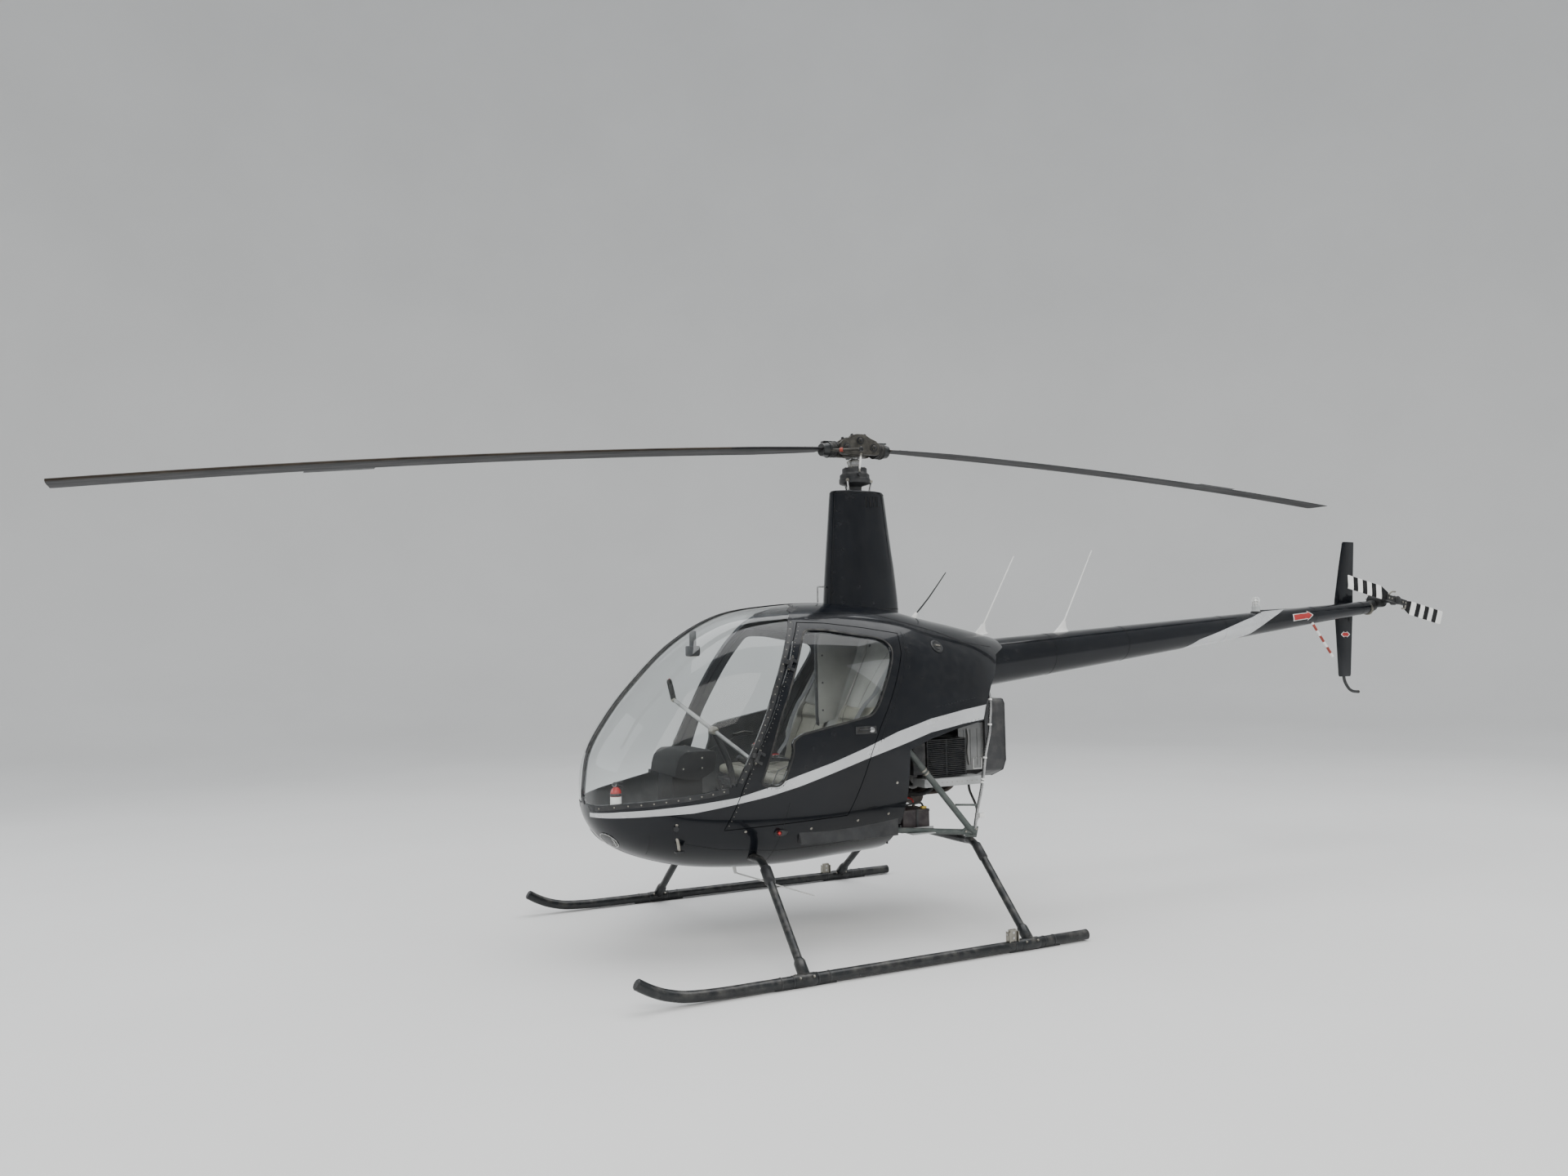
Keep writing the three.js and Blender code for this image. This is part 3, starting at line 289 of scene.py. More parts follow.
# Meshes
class Piece:
    """One object, gathered from parts that are given in station metres, each with its material."""

    def __init__(self, name, body="airframe"):
        self.name, self.body = name, body
        self.verts, self.faces, self.which, self.mats, self.normals = [], [], [], [], []
        self.count = 0

    def add(self, verts, faces, mat, matrix=None, normals=None):
        """Adds verts and faces. mat is one material or a list, one for each face; normals are per vertex."""
        verts = np.asarray(verts, float).reshape(-1, 3)
        if matrix is not None:
            turn = np.array(matrix)
            verts = verts @ turn[:3, :3].T + turn[:3, 3]
            normals = None if normals is None else np.asarray(normals) @ turn[:3, :3].T
        mats = mat if isinstance(mat, list) else [mat] * len(faces)
        for face, each in zip(faces, mats):
            if each not in self.mats:
                self.mats.append(each)
            self.which.append(self.mats.index(each))
            self.faces.append([int(i) + self.count for i in face])
            self.normals.extend([(0, 0, 0)] * len(face) if normals is None
                                else [tuple(normals[i]) for i in face])
        self.verts.append(verts)
        self.count += len(verts)
        return self

    def done(self, replaces=(), angle=38.0):
        """Makes the object, parents it to its body and hides the CAD pieces it replaces."""
        mesh = bpy.data.meshes.new(self.name)
        verts = np.concatenate(self.verts) + ORIGIN
        mesh.from_pydata(verts.tolist(), [], self.faces)
        for mat in self.mats:
            mesh.materials.append(mat)
        mesh.polygons.foreach_set("material_index", self.which)
        mesh.polygons.foreach_set("use_smooth", [True] * len(self.faces))
        mesh.update()
        mesh.set_sharp_from_angle(angle=math.radians(angle))
        if any(n != (0, 0, 0) for n in self.normals):
            mesh.normals_split_custom_set(self.normals)
        item = bpy.data.objects.new(self.name, mesh)
        bpy.context.scene.collection.objects.link(item)
        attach(item, self.body)
        if replaces:
            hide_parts(*([replaces] if isinstance(replaces, str) else replaces))
        return item

    # Parts
    def tube(self, points, radius, mat, sides=14, steps=0, squash=1.0, matrix=None):
        """Round bar along points; radius is one number or one for each point."""
        path, radii = curve(points, radius, steps)
        frames = transported(path)
        angles = around(sides)
        ring = np.stack([np.cos(angles), np.sin(angles) * squash], 1)
        verts = [p + r * (ring[:, :1] * a + ring[:, 1:] * b) for p, r, (a, b) in zip(path, radii, frames)]
        return self.add(np.concatenate(verts), ring_faces(len(path), sides), mat, matrix)

    def turned(self, profile, mat, at=(0, 0, 0), along=(0, 0, 1), segments=32, matrix=None):
        """Turned part about the line through at: profile is [(radius, height)] from its start to its end."""
        angles = around(segments)
        a, b, c = basis(along)
        rings = [np.asarray(at) + h * c + max(r, 1e-5)
                 * (np.outer(np.cos(angles), a) + np.outer(np.sin(angles), b)) for r, h in profile]
        return self.add(np.concatenate(rings), ring_faces(len(profile), segments), mat, matrix)

    def block(self, low, high, mat, bevel=0.003, matrix=None, taper=1.0):
        """Box with rounded edges between two opposite corners; taper narrows its top."""
        low, high = np.minimum(low, high), np.maximum(low, high)
        made = bmesh.new()
        bmesh.ops.create_cube(made, size=1.0)
        middle, size = (low + high) / 2, high - low
        for v in made.verts:
            share = taper if v.co.z > 0 else 1.0
            v.co = Vector((middle[0] + v.co.x * size[0] * share, middle[1] + v.co.y * size[1] * share,
                           middle[2] + v.co.z * size[2]))
        return self.bevelled(made, mat, bevel, matrix)

    def slab(self, outline, y_low, y_high, mat, bevel=0.003, matrix=None):
        """Side outline of [x, z] carried along Y, with rounded edges."""
        y_low, y_high = sorted((y_low, y_high))
        made = bmesh.new()
        near = [made.verts.new((x, y_low, z)) for x, z in outline]
        far = [made.verts.new((x, y_high, z)) for x, z in outline]
        made.faces.new(near)
        made.faces.new(far[::-1])
        for i, vert in enumerate(near):
            j = (i + 1) % len(near)
            made.faces.new((near[j], vert, far[i], far[j]))
        bmesh.ops.recalc_face_normals(made, faces=made.faces)
        return self.bevelled(made, mat, bevel, matrix)

    def bevelled(self, made, mat, bevel, matrix):
        """Adds a bmesh with its edges rounded, and frees it."""
        if bevel:
            bmesh.ops.bevel(made, geom=list(made.edges), offset=bevel, segments=2, profile=0.6,
                            affect="EDGES")
        made.verts.index_update()
        verts = [tuple(v.co) for v in made.verts]
        faces = [[v.index for v in f.verts] for f in made.faces]
        made.free()
        return self.add(verts, faces, mat, matrix)

    def studs(self, points, normals, radius, height, mat, sides=8):
        """Domed heads, such as rivets, at points."""
        for point, normal in zip(points, normals):
            profile = [(radius, 0), (radius * 0.85, height * 0.6), (radius * 0.4, height), (0, height)]
            self.turned(profile, mat, point, normal, sides)
        return self


# Faces of a box whose eight corners are given as two rings of four
BOX_FACES = [(0, 1, 2, 3), (7, 6, 5, 4), (0, 4, 5, 1), (1, 5, 6, 2), (2, 6, 7, 3), (3, 7, 4, 0)]
# The two sides, with the sign of their Y
SIDES = (("left", 1), ("right", -1))


def basis(along):
    """Two cross directions and the direction itself, all of length 1."""
    c = np.asarray(along, float) / np.linalg.norm(along)
    helper = np.array([0.0, 0.0, 1.0]) if abs(c[2]) < 0.9 else np.array([1.0, 0.0, 0.0])
    a = np.cross(helper, c)
    a /= np.linalg.norm(a)
    return a, np.cross(c, a), c


def aimed(at, along, roll_to=None):
    """Matrix that puts local Z along a direction at a place; local X turns towards roll_to."""
    a, b, c = basis(along)
    if roll_to is not None:
        a = np.asarray(roll_to, float) - np.dot(roll_to, c) * c
        a /= np.linalg.norm(a)
        b = np.cross(c, a)
    made = np.eye(4)
    made[:3, 0], made[:3, 1], made[:3, 2], made[:3, 3] = a, b, c, at
    return made


def around(count):
    """Angles of a full turn in equal steps, in radians."""
    return np.linspace(0, 2 * np.pi, count, endpoint=False)


def bolt_head(radius, edge, middle):
    """Profile of a head: its radius, and its height at the edge and in the middle."""
    return [(radius, 0), (radius, edge), (0, middle)]


def collar(inner, outer, reach, flat):
    """Profile of a sleeve: its inner and outer radius, and half its width at the foot and on top."""
    return [(inner, -reach), (outer, -flat), (outer, flat), (inner, reach)]


def faced(faces, way):
    """Faces as they are when way is above 0, else turned over."""
    return faces if way > 0 else [f[::-1] for f in faces]


def grid_faces(rows, columns):
    """Faces between rows of points."""
    return [(i * columns + k, i * columns + k + 1, (i + 1) * columns + k + 1, (i + 1) * columns + k)
            for i in range(rows - 1) for k in range(columns - 1)]


def ring_faces(rings, count, caps=True):
    """Faces between rings of points, and over the first and last ring."""
    faces = [(i * count + k, i * count + (k + 1) % count, (i + 1) * count + (k + 1) % count,
              (i + 1) * count + k) for i in range(rings - 1) for k in range(count)]
    if caps:
        faces.append(tuple(range(count))[::-1])
        faces.append(tuple(range((rings - 1) * count, rings * count)))
    return faces


def curve(points, radius, steps):
    """Points and radii, with steps more points in each span by a cubic when steps is above 0."""
    points = np.asarray(points, float)
    radii = np.broadcast_to(np.asarray(radius, float), (len(points),)).astype(float)
    if not steps:
        return points, radii
    table = np.column_stack([points, radii])
    padded = np.concatenate([2 * table[:1] - table[1:2], table, 2 * table[-1:] - table[-2:-1]])
    out = []
    for i in range(len(table) - 1):
        p0, p1, p2, p3 = padded[i:i + 4]
        for u in np.arange(steps + 1) / (steps + 1):
            out.append(0.5 * (2 * p1 + (p2 - p0) * u + (2 * p0 - 5 * p1 + 4 * p2 - p3) * u ** 2
                              + (3 * p1 - p0 - 3 * p2 + p3) * u ** 3))
    out.append(table[-1])
    out = np.array(out)
    return out[:, :3], out[:, 3]


def transported(path):
    """Two cross directions at each point of a path, without twist."""
    tangents = np.gradient(path, axis=0)
    tangents /= np.linalg.norm(tangents, axis=1)[:, None]
    a, _, _ = basis(tangents[0])
    frames = []
    for tangent in tangents:
        a = a - np.dot(a, tangent) * tangent
        a /= np.linalg.norm(a)
        frames.append((a, np.cross(tangent, a)))
    return frames


# Body surface. Columns: x, half width, top, bottom, height of the widest line, power above and below it (mm)
BODY = np.array([
    [1585, 12, 815, 770, 790, 2.0, 2.0],
    [1560, 150, 985, 655, 800, 2.0, 2.0],
    [1480, 275, 1135, 550, 810, 2.05, 2.0],
    [1340, 385, 1312, 470, 830, 2.1, 2.05],
    [1120, 480, 1523, 405, 860, 2.2, 2.1],
    [860, 535, 1668, 372, 900, 2.3, 2.2],
    [560, 558, 1722, 365, 930, 2.4, 2.3],
    [240, 559, 1735, 382, 960, 2.5, 2.4],
    [-60, 545, 1712, 400, 1000, 2.5, 2.4],
    [-330, 505, 1655, 440, 1060, 2.4, 2.3],
    [-580, 430, 1606, 560, 1130, 2.3, 2.2],
    [-790, 310, 1560, 800, 1220, 2.2, 2.1],
    [-950, 160, 1522, 1180, 1360, 2.0, 2.0],
])
LAST = len(BODY) - 1


def body_row(t):
    """Body rows at fractional indices, by a cubic through the rows."""
    t = np.asarray(t, float)
    i = np.clip(np.floor(t).astype(int), 0, LAST - 1)
    u = (t - i)[:, None]
    p1, p2 = BODY[i], BODY[i + 1]
    first, last = (i == 0)[:, None], (i == LAST - 1)[:, None]
    m1 = np.where(first, p2 - p1, (p2 - BODY[np.maximum(i - 1, 0)]) / 2)
    m2 = np.where(last, p2 - p1, (BODY[np.minimum(i + 2, LAST)] - p1) / 2)
    return ((2 * u ** 3 - 3 * u ** 2 + 1) * p1 + (u ** 3 - 2 * u ** 2 + u) * m1
            + (3 * u ** 2 - 2 * u ** 3) * p2 + (u ** 3 - u ** 2) * m2)


def body_point(t, phi):
    """Points of the left side in mm: phi runs from -90 degrees at the keel to 90 at the crown, in radians."""
    x, half, top, bottom, wide, above, below = body_row(t).T
    s, c = np.sin(phi), np.clip(np.cos(phi), 0, 1)
    power = 2 / np.where(s >= 0, above, below)
    rise = np.where(s >= 0, top - wide, wide - bottom)
    return np.stack([x, half * c ** power, wide + rise * np.sign(s) * np.abs(s) ** power], 1)


def body_normal(t, phi):
    """Outward normals of the left side, by differences."""
    step = 2e-3
    low_t, high_t = np.clip(t - step, 0, LAST), np.clip(t + step, 0, LAST)
    inner = np.clip(phi, -np.pi / 2 + step, np.pi / 2 - step)
    along = body_point(high_t, inner) - body_point(low_t, inner)
    across = body_point(t, inner + step) - body_point(t, inner - step)
    normal = np.cross(along, across)
    normal /= np.linalg.norm(normal, axis=1)[:, None]
    normal[np.abs(phi) > np.pi / 2 - 1e-6, 1] = 0
    outward = np.sign(normal[:, 1:2] + 1e-12)
    flat = np.abs(normal[:, 1]) < 1e-3
    outward[flat, 0] = np.sign(normal[flat, 2] * np.sign(phi[flat]) + 1e-12)
    normal *= outward
    return normal / np.linalg.norm(normal, axis=1)[:, None]


STATION_T = np.linspace(0, LAST, 6001)
STATION_X = body_row(STATION_T)[:, 0]


def body_place(points):
    """Surface parameters (t, phi) of side-view points (x, z) in mm."""
    points = np.asarray(points, float).reshape(-1, 2)
    t = np.interp(points[:, 0], STATION_X[::-1], STATION_T[::-1])
    _, _, top, bottom, wide, above, below = body_row(t).T
    lift = points[:, 1] - wide
    rise = np.where(lift >= 0, top - wide, wide - bottom)
    s = np.sign(lift) * np.clip(np.abs(lift) / rise, 0, 1) ** (np.where(lift >= 0, above, below) / 2)
    return np.stack([t, np.arcsin(s)], 1)


def on_body(points, proud=0.0, side=1):
    """Surface points and normals, in station metres, at side-view points in mm."""
    place = body_place(points)
    spot, normal = body_point(place[:, 0], place[:, 1]), body_normal(place[:, 0], place[:, 1])
    spot = spot * MM + normal * proud
    flip = np.array([1, side, 1])
    return spot * flip, normal * flip


# Side outlines of the panels, as (x, z) in mm
GLASS_REAR = [(975, 839), (912, 971), (866, 1066), (803, 1201), (760, 1301), (703, 1422), (652, 1523),
              (583, 1640), (540, 1684)]
WINDSHIELD_FOOT = [(1750, 735), (1579, 744), (1464, 766), (1345, 779), (1227, 795), (1096, 815)]
GLASS_EDGE = [*GLASS_REAR, (463, 1722), (380, 1800)]
WINDSHIELD = [*WINDSHIELD_FOOT, *GLASS_EDGE, (1750, 1800)]
DOOR = [(1010, 625), (964, 751), (937, 831), (879, 967), (819, 1086), (757, 1209), (716, 1310), (659, 1419),
        (609, 1524), (545, 1622), (401, 1617), (197, 1592), (-7, 1560), (13, 1456), (71, 1331), (141, 1189),
        (197, 1088), (249, 968), (370, 655)]
WINDOW = [(851, 838), (814, 932), (741, 1146), (679, 1275), (632, 1378), (589, 1466), (526, 1582),
          (415, 1580), (286, 1558), (149, 1539), (95, 1525), (64, 1487), (76, 1436), (117, 1353),
          (160, 1272), (204, 1191), (241, 1152), (375, 1125), (513, 1099), (640, 1074), (690, 1040),
          (685, 988), (712, 914), (738, 853), (763, 832)]
COWL = [(-55, 1800), (-37, 1580), (-17, 1456), (41, 1331), (111, 1189), (167, 1088), (196, 1010),
        (192, 904), (43, 952), (-116, 1010), (-288, 1051), (-510, 1085), (-535, 1160), (-600, 1268),
        (-660, 1333), (-735, 1440), (-870, 1480), (-885, 1560), (-900, 1800)]
TUB = [(1750, 300), (1750, 735), *WINDSHIELD_FOOT[1:], (966, 839), (930, 839), (249, 968), (196, 1010),
       (192, 904), (43, 952), (20, 959), (20, 300)]
STRIPE = [(1569, 708), (1471, 725), (1343, 738), (1168, 757), (968, 783), (821, 822), (652, 875),
          (475, 925), (287, 987), (90, 1059), (-121, 1115), (-355, 1151), (-528, 1169), (-900, 1190),
          (-900, 1130), (-502, 1091), (-350, 1078), (-117, 1044), (92, 984), (288, 930), (475, 873),
          (651, 820), (819, 779), (966, 752), (1165, 717), (1340, 706), (1468, 695), (1565, 686)]


def rounded(points, radius, steps=5):
    """A closed outline with its corners rounded."""
    points = np.asarray(points, float)
    out = []
    for before, here, after in zip(np.roll(points, 1, 0), points, np.roll(points, -1, 0)):
        back, on = before - here, after - here
        reach = min(radius, np.linalg.norm(back) * 0.45, np.linalg.norm(on) * 0.45)
        start = here + back / np.linalg.norm(back) * reach
        end = here + on / np.linalg.norm(on) * reach
        for u in np.linspace(0, 1, steps):
            out.append((1 - u) ** 2 * start + 2 * u * (1 - u) * here + u ** 2 * end)
    return np.array(out)


def grown(points, by):
    """Closed outline moved outwards by a distance in mm, with mitred corners."""
    points = np.asarray(points, float)
    following = np.roll(points, -1, 0)
    area = np.sum(points[:, 0] * following[:, 1] - following[:, 0] * points[:, 1])
    edge = following - points
    normal = np.sign(area) * np.stack([edge[:, 1], -edge[:, 0]], 1) / np.linalg.norm(edge, axis=1)[:, None]
    before = np.roll(normal, 1, 0)
    scale = by / (1 + np.sum(before * normal, axis=1))
    return points + scale[:, None] * (before + normal)


def within(x, z, outline):
    """True for each (x, z) inside a closed outline."""
    inside = np.zeros(len(x), bool)
    for (x0, z0), (x1, z1) in zip(outline, np.roll(np.asarray(outline, float), -1, 0)):
        if z0 == z1:
            continue
        crosses = (z0 > z) != (z1 > z)
        inside ^= crosses & (x < (x1 - x0) * (z - z0) / (z1 - z0) + x0)
    return inside


def dense(points, step=14.0, closed=True):
    """A line with points added, so that neighbours are at most a step apart."""
    points = np.asarray(points, float)
    ends = np.roll(points, -1, 0) if closed else points[1:]
    out = []
    for start, end in zip(points, ends):
        parts = max(1, int(np.ceil(np.linalg.norm(end - start) / step)))
        out.extend(start + (end - start) * np.arange(parts)[:, None] / parts)
    if not closed:
        out.append(points[-1])
    return np.array(out)


# Triangulation of (t, phi): scales, grid, gap between grid and cuts, and least area of a triangle in mm2
DOMAIN = np.array([0.35, 0.55])
GRID_T, GRID_PHI = np.arange(0, LAST + 0.001, 0.1), np.radians(np.arange(-90, 90.01, 3.0))
GRID_GAP, LEAST_AREA = 0.011, 0.02
# Points nearer to the middle plane than this, in metres, are welded
WELD = 2e-5


def triangulated(points, edges):
    """Points and triangles of a flat field cut along edges."""
    made, _, faces, *_ = delaunay_2d_cdt([Vector(p) for p in points], edges, [], 0, 1e-6, False)
    return np.array([tuple(p) for p in made]), np.array(faces)


def patch(outlines, keep, t_range=(0, LAST), lines=()):
    """Left half of a panel: points (t, phi) and triangles of the body surface where keep is true.

    It is cut along closed outlines and open lines, side views in mm. keep takes x, y and z in mm.
    """
    curves = [(body_place(dense(outline)), True) for outline in outlines]
    curves += [(body_place(dense(line, closed=False)), False) for line in lines]
    grid_t = GRID_T[(GRID_T >= t_range[0] - 0.001) & (GRID_T <= t_range[1] + 0.001)]
    grid = np.array([(t, phi) for t in grid_t for phi in GRID_PHI])
    marks = np.concatenate([c for c, _ in curves]) * DOMAIN
    away = np.full(len(grid), 1e9)
    for start in range(0, len(marks), 400):
        gaps = np.linalg.norm((grid * DOMAIN)[:, None] - marks[None, start:start + 400], axis=2)
        away = np.minimum(away, gaps.min(1))
    edge_of_grid = (np.abs(grid[:, 1]) > np.pi / 2 - 1e-6) | np.isin(grid[:, 0], (grid_t[0], grid_t[-1]))
    grid = grid[(away > GRID_GAP) | edge_of_grid]
    points, edges = [tuple(p) for p in grid * DOMAIN], []
    for marked, closed in curves:
        first = len(points)
        points.extend(tuple(p) for p in marked * DOMAIN)
        count = len(marked)
        edges.extend((first + i, first + (i + 1) % count) for i in range(count if closed else count - 1))
    made, faces = triangulated(points, edges)
    made = made / DOMAIN
    made[:, 0] = np.clip(made[:, 0], 0, LAST)
    made[:, 1] = np.clip(made[:, 1], -np.pi / 2, np.pi / 2)
    middle = made[faces].mean(1)
    spot = body_point(middle[:, 0], middle[:, 1])
    corners = body_point(made[:, 0], made[:, 1])[faces]
    area = np.linalg.norm(np.cross(corners[:, 1] - corners[:, 0], corners[:, 2] - corners[:, 0]), axis=1)
    faces = faces[keep(*spot.T) & (area > LEAST_AREA)]
    first, second, third = (made[faces[:, k]] for k in range(3))
    turn = (second - first)[:, 0] * (third - first)[:, 1] - (second - first)[:, 1] * (third - first)[:, 0]
    faces = np.where(turn[:, None] < 0, faces[:, ::-1], faces)
    used, index = np.unique(faces, return_inverse=True)
    return made[used], index.reshape(-1, 3)


def sheet_of(made, faces, sides, proud=0.0):
    """Points, normals and triangles in metres of a patch on one side or both, welded on the middle line."""
    spot, normal = body_point(made[:, 0], made[:, 1]) * MM, body_normal(made[:, 0], made[:, 1])
    spot = spot + normal * proud
    outward = np.cross(spot[faces[:, 1]] - spot[faces[:, 0]], spot[faces[:, 2]] - spot[faces[:, 0]])
    if np.sum(outward * normal[faces].mean(1)) < 0:
        faces = faces[:, ::-1]
    if sides == "left":
        return spot, normal, faces
    mirror = np.array([1, -1, 1])
    if sides == "right":
        return spot * mirror, normal * mirror, faces[:, ::-1]
    middle = np.abs(spot[:, 1]) < WELD
    faces = faces[~middle[faces].all(1)]
    other = np.arange(len(spot)) + len(spot)
    other[middle] = np.nonzero(middle)[0]
    both = np.concatenate([faces, other[faces][:, ::-1]])
    spot, normal = np.concatenate([spot, spot * mirror]), np.concatenate([normal, normal * mirror])
    used, index = np.unique(both, return_inverse=True)
    return spot[used], normal[used], index.reshape(-1, 3)


def open_edges(faces):
    """Directed edges with a face on one side only."""
    directed = [(int(f[i]), int(f[(i + 1) % 3])) for f in faces for i in range(3)]
    known = set(directed)
    return [(a, b) for a, b in directed if (b, a) not in known]


def add_shell(piece, sheet, thick, mats, inner):
    """Adds a sheet with a wall of that thickness; mats has one material for each outer face."""
    spot, normal, faces = sheet
    count = len(spot)
    piece.add(spot, faces, mats, normals=normal)
    piece.add(spot - normal * thick, faces[:, ::-1], inner, normals=-normal)
    rim = open_edges(faces)
    ends = [(a, b, b + count, a + count) for a, b in rim]
    piece.add(np.concatenate([spot, spot - normal * thick]), [e[::-1] for e in ends],
              mats[0] if isinstance(mats, list) else mats)


def striped(sheet):
    """Materials of a sheet's faces: the stripe in silver and the rest in black."""
    spot, _, faces = sheet
    middle = spot[faces].mean(1) / MM
    inside = within(middle[:, 0], middle[:, 2], STRIPE)
    return [SILVER if i else BLACK for i in inside]


# Wall thicknesses, and how far the panes lie below the surface, in metres
TUB_WALL, ROOF_WALL, DOOR_WALL, PANE_WALL, STRIP_WALL = 0.012, 0.022, 0.024, 0.004, 0.014
DOOR_PANE_PROUD, WINDSHIELD_PROUD = -0.007, -0.002
DOOR_HOLE = grown(DOOR, 4)
WINDOW_SOFT = rounded(WINDOW, 30)


def build_tub():
    """Lower cabin skin."""
    made, faces = patch([DOOR_HOLE, STRIPE], lambda x, y, z: within(x, z, TUB) & ~within(x, z, DOOR_HOLE),
                        lines=[TUB[1:], [(20, 300), (20, 959)]])
    sheet = sheet_of(made, faces, "both")
    tub = Piece("cabin_tub_skin")
    add_shell(tub, sheet, TUB_WALL, striped(sheet), SATIN)
    tub.done("cabin_tub")


def in_roof(x, y, z):
    """True for points of the roof and the door posts."""
    other = within(x, z, WINDSHIELD) | within(x, z, DOOR_HOLE) | within(x, z, COWL) | within(x, z, TUB)
    return ~other & (x > -60) & ((x > 150) | (z > 1000))


def build_roof():
    """Roof skin with the door posts."""
    made, faces = patch([DOOR_HOLE, STRIPE], in_roof, (3, 9), [GLASS_EDGE, COWL[:8], TUB[7:12]])
    roof = Piece("cabin_roof_skin")
    sheet = sheet_of(made, faces, "both")
    add_shell(roof, sheet, ROOF_WALL, striped(sheet), SATIN)
    roof.done("cabin_roof")


def build_cowl():
    """Cowl behind the doors, with the bulkhead that closes it in front."""
    made, faces = patch([STRIPE], lambda x, y, z: within(x, z, COWL), (6, LAST), [COWL])
    sheet = sheet_of(made, faces, "both")
    spots, normals, faces = sheet
    cowl = Piece("cowl_skin")
    cowl.add(spots, faces, striped(sheet), normals=normals)
    mirror = {tuple(np.round(p * (1, -1, 1), 5)): i for i, p in enumerate(spots)}
    opposite = [mirror.get(tuple(np.round(p, 5))) for p in spots]
    across = [(b, a, opposite[a], opposite[b]) for a, b in open_edges(faces)
              if spots[a][1] + spots[b][1] > 0]
    across = [f for f in across if None not in f and len(set(f)) == 4]
    centre = [(spots[a] + spots[b]) / 2 for b, a, _, _ in across]
    mats = [BULKHEAD if x > 0.19 or (x > -0.06 and z > 1.0) else SATIN for x, _, z in centre]
    cowl.add(spots, across, mats)
    cowl.done("rear_fuselage")


def in_door(x, y, z):
    """True for points of the left door around its window."""
    return within(x, z, DOOR) & ~within(x, z, WINDOW_SOFT) & (y > 150)


def build_doors():
    """Door skins and their panes."""
    for sides, _ in SIDES:
        made, faces = patch([DOOR, WINDOW_SOFT, STRIPE], in_door, (4, 10))
        sheet = sheet_of(made, faces, sides)
        door = Piece(f"door_skin_{sides}", f"door_{sides}_leaf")
        add_shell(door, sheet, DOOR_WALL, striped(sheet), SATIN)
        door.done(f"door_{sides}")
        made, faces = patch([WINDOW_SOFT], lambda x, y, z: within(x, z, WINDOW_SOFT), (4, 10))
        pane = Piece(f"door_pane_{sides}", f"door_{sides}_leaf")
        add_shell(pane, sheet_of(made, faces, sides, DOOR_PANE_PROUD), PANE_WALL, GLASS, GLASS)
        pane.done(f"door_glass_{sides}")


def build_windshield():
    """Two panes and the strip between them."""
    strip = 20
    foot = [*WINDSHIELD_FOOT, *GLASS_EDGE]
    t = np.linspace(0, 8, 400)
    _, half, _, _, _, above, _ = body_row(t).T
    beside = np.arccos(np.clip(strip / half, 0, 1) ** (above / 2))
    line = body_point(t, beside)[:, [0, 2]]
    made, faces = patch([], lambda x, y, z: within(x, z, WINDSHIELD) & (y > strip), (0, 8), [foot, line])
    for sides, _ in SIDES:
        glass = Piece(f"windshield_pane_{sides}")
        add_shell(glass, sheet_of(made, faces, sides, WINDSHIELD_PROUD), PANE_WALL, GLASS, GLASS)
        glass.done(f"windshield_{sides}")
    made, faces = patch([], lambda x, y, z: within(x, z, WINDSHIELD) & (y <= strip), (0, 8), [foot, line])
    centre = Piece("windshield_centre_strip")
    add_shell(centre, sheet_of(made, faces, "both"), STRIP_WALL, SATIN, SATIN)
    centre.done("windshield_strip")


# Rotor head and blades, drawn about the hub and moved to where the rotor is parked
ROTOR_RADIUS, ROTOR_CHORD, ROTOR_PLANE = 3.835, 0.183, 2.611
AZIMUTH, TEETER, BLADE_PITCH = math.radians(1.335), math.radians(1.755), math.radians(3)
HORN_ANGLE = math.radians(74)
BLADES = (("a", 0), ("b", math.pi))
PARKED = Matrix.Rotation(AZIMUTH, 4, "Z") @ Matrix.Rotation(TEETER, 4, "Y")
HEAD = Matrix.Translation((0, 0, ROTOR_PLANE)) @ PARKED
# Closed section of a blade, in shares of its chord, from the trailing edge over the top
AIRFOIL = [(-0.73, 0.003), (-0.6, 0.013), (-0.5, 0.022), (-0.35, 0.037), (-0.2, 0.05), (-0.07, 0.057),
           (0.05, 0.058), (0.13, 0.053), (0.2, 0.042), (0.24, 0.03), (0.262, 0.016), (0.27, 0.0),
           (0.262, -0.013), (0.24, -0.024), (0.2, -0.033), (0.13, -0.038), (0.05, -0.04), (-0.07, -0.037),
           (-0.2, -0.03), (-0.35, -0.021), (-0.5, -0.014), (-0.6, -0.009), (-0.73, -0.003)]


def sag(r):
    """How far a parked blade hangs below the rotor's plane at a radius."""
    return 0.035 * r + 0.00985 * r * r


def blade(piece, radii, chords, thick, pitch, drop, matrix, mat_of):
    """Blade along X, leading edge to +Y. mat_of(r, k) is the material at a radius and a section index."""
    section = np.array(AIRFOIL)
    rings = []
    for r, chord in zip(radii, chords):
        c, h = section[:, 0] * chord, section[:, 1] * thick
        rings.append(np.stack([np.full(len(c), r), c, h + c * math.tan(pitch) - drop(r)], 1))
    count = len(section)
    faces = ring_faces(len(rings), count)
    mats = []
    for i in range(len(faces)):
        ring, k = divmod(i, count)
        mats.append(mat_of((radii[ring] + radii[ring + 1]) / 2, k) if ring < len(radii) - 1
                    else mat_of(radii[-1], 0))
    piece.add(np.concatenate(rings), faces, mats, matrix)


def blade_mat(r, k):
    """Material at a radius and a section index: steel leading edge, worn paint near the tip, else paint."""
    if 8 <= k <= 13 and r > 0.75:
        return LEADING
    return PATCH if r > 3.55 and k < 8 else BLADE


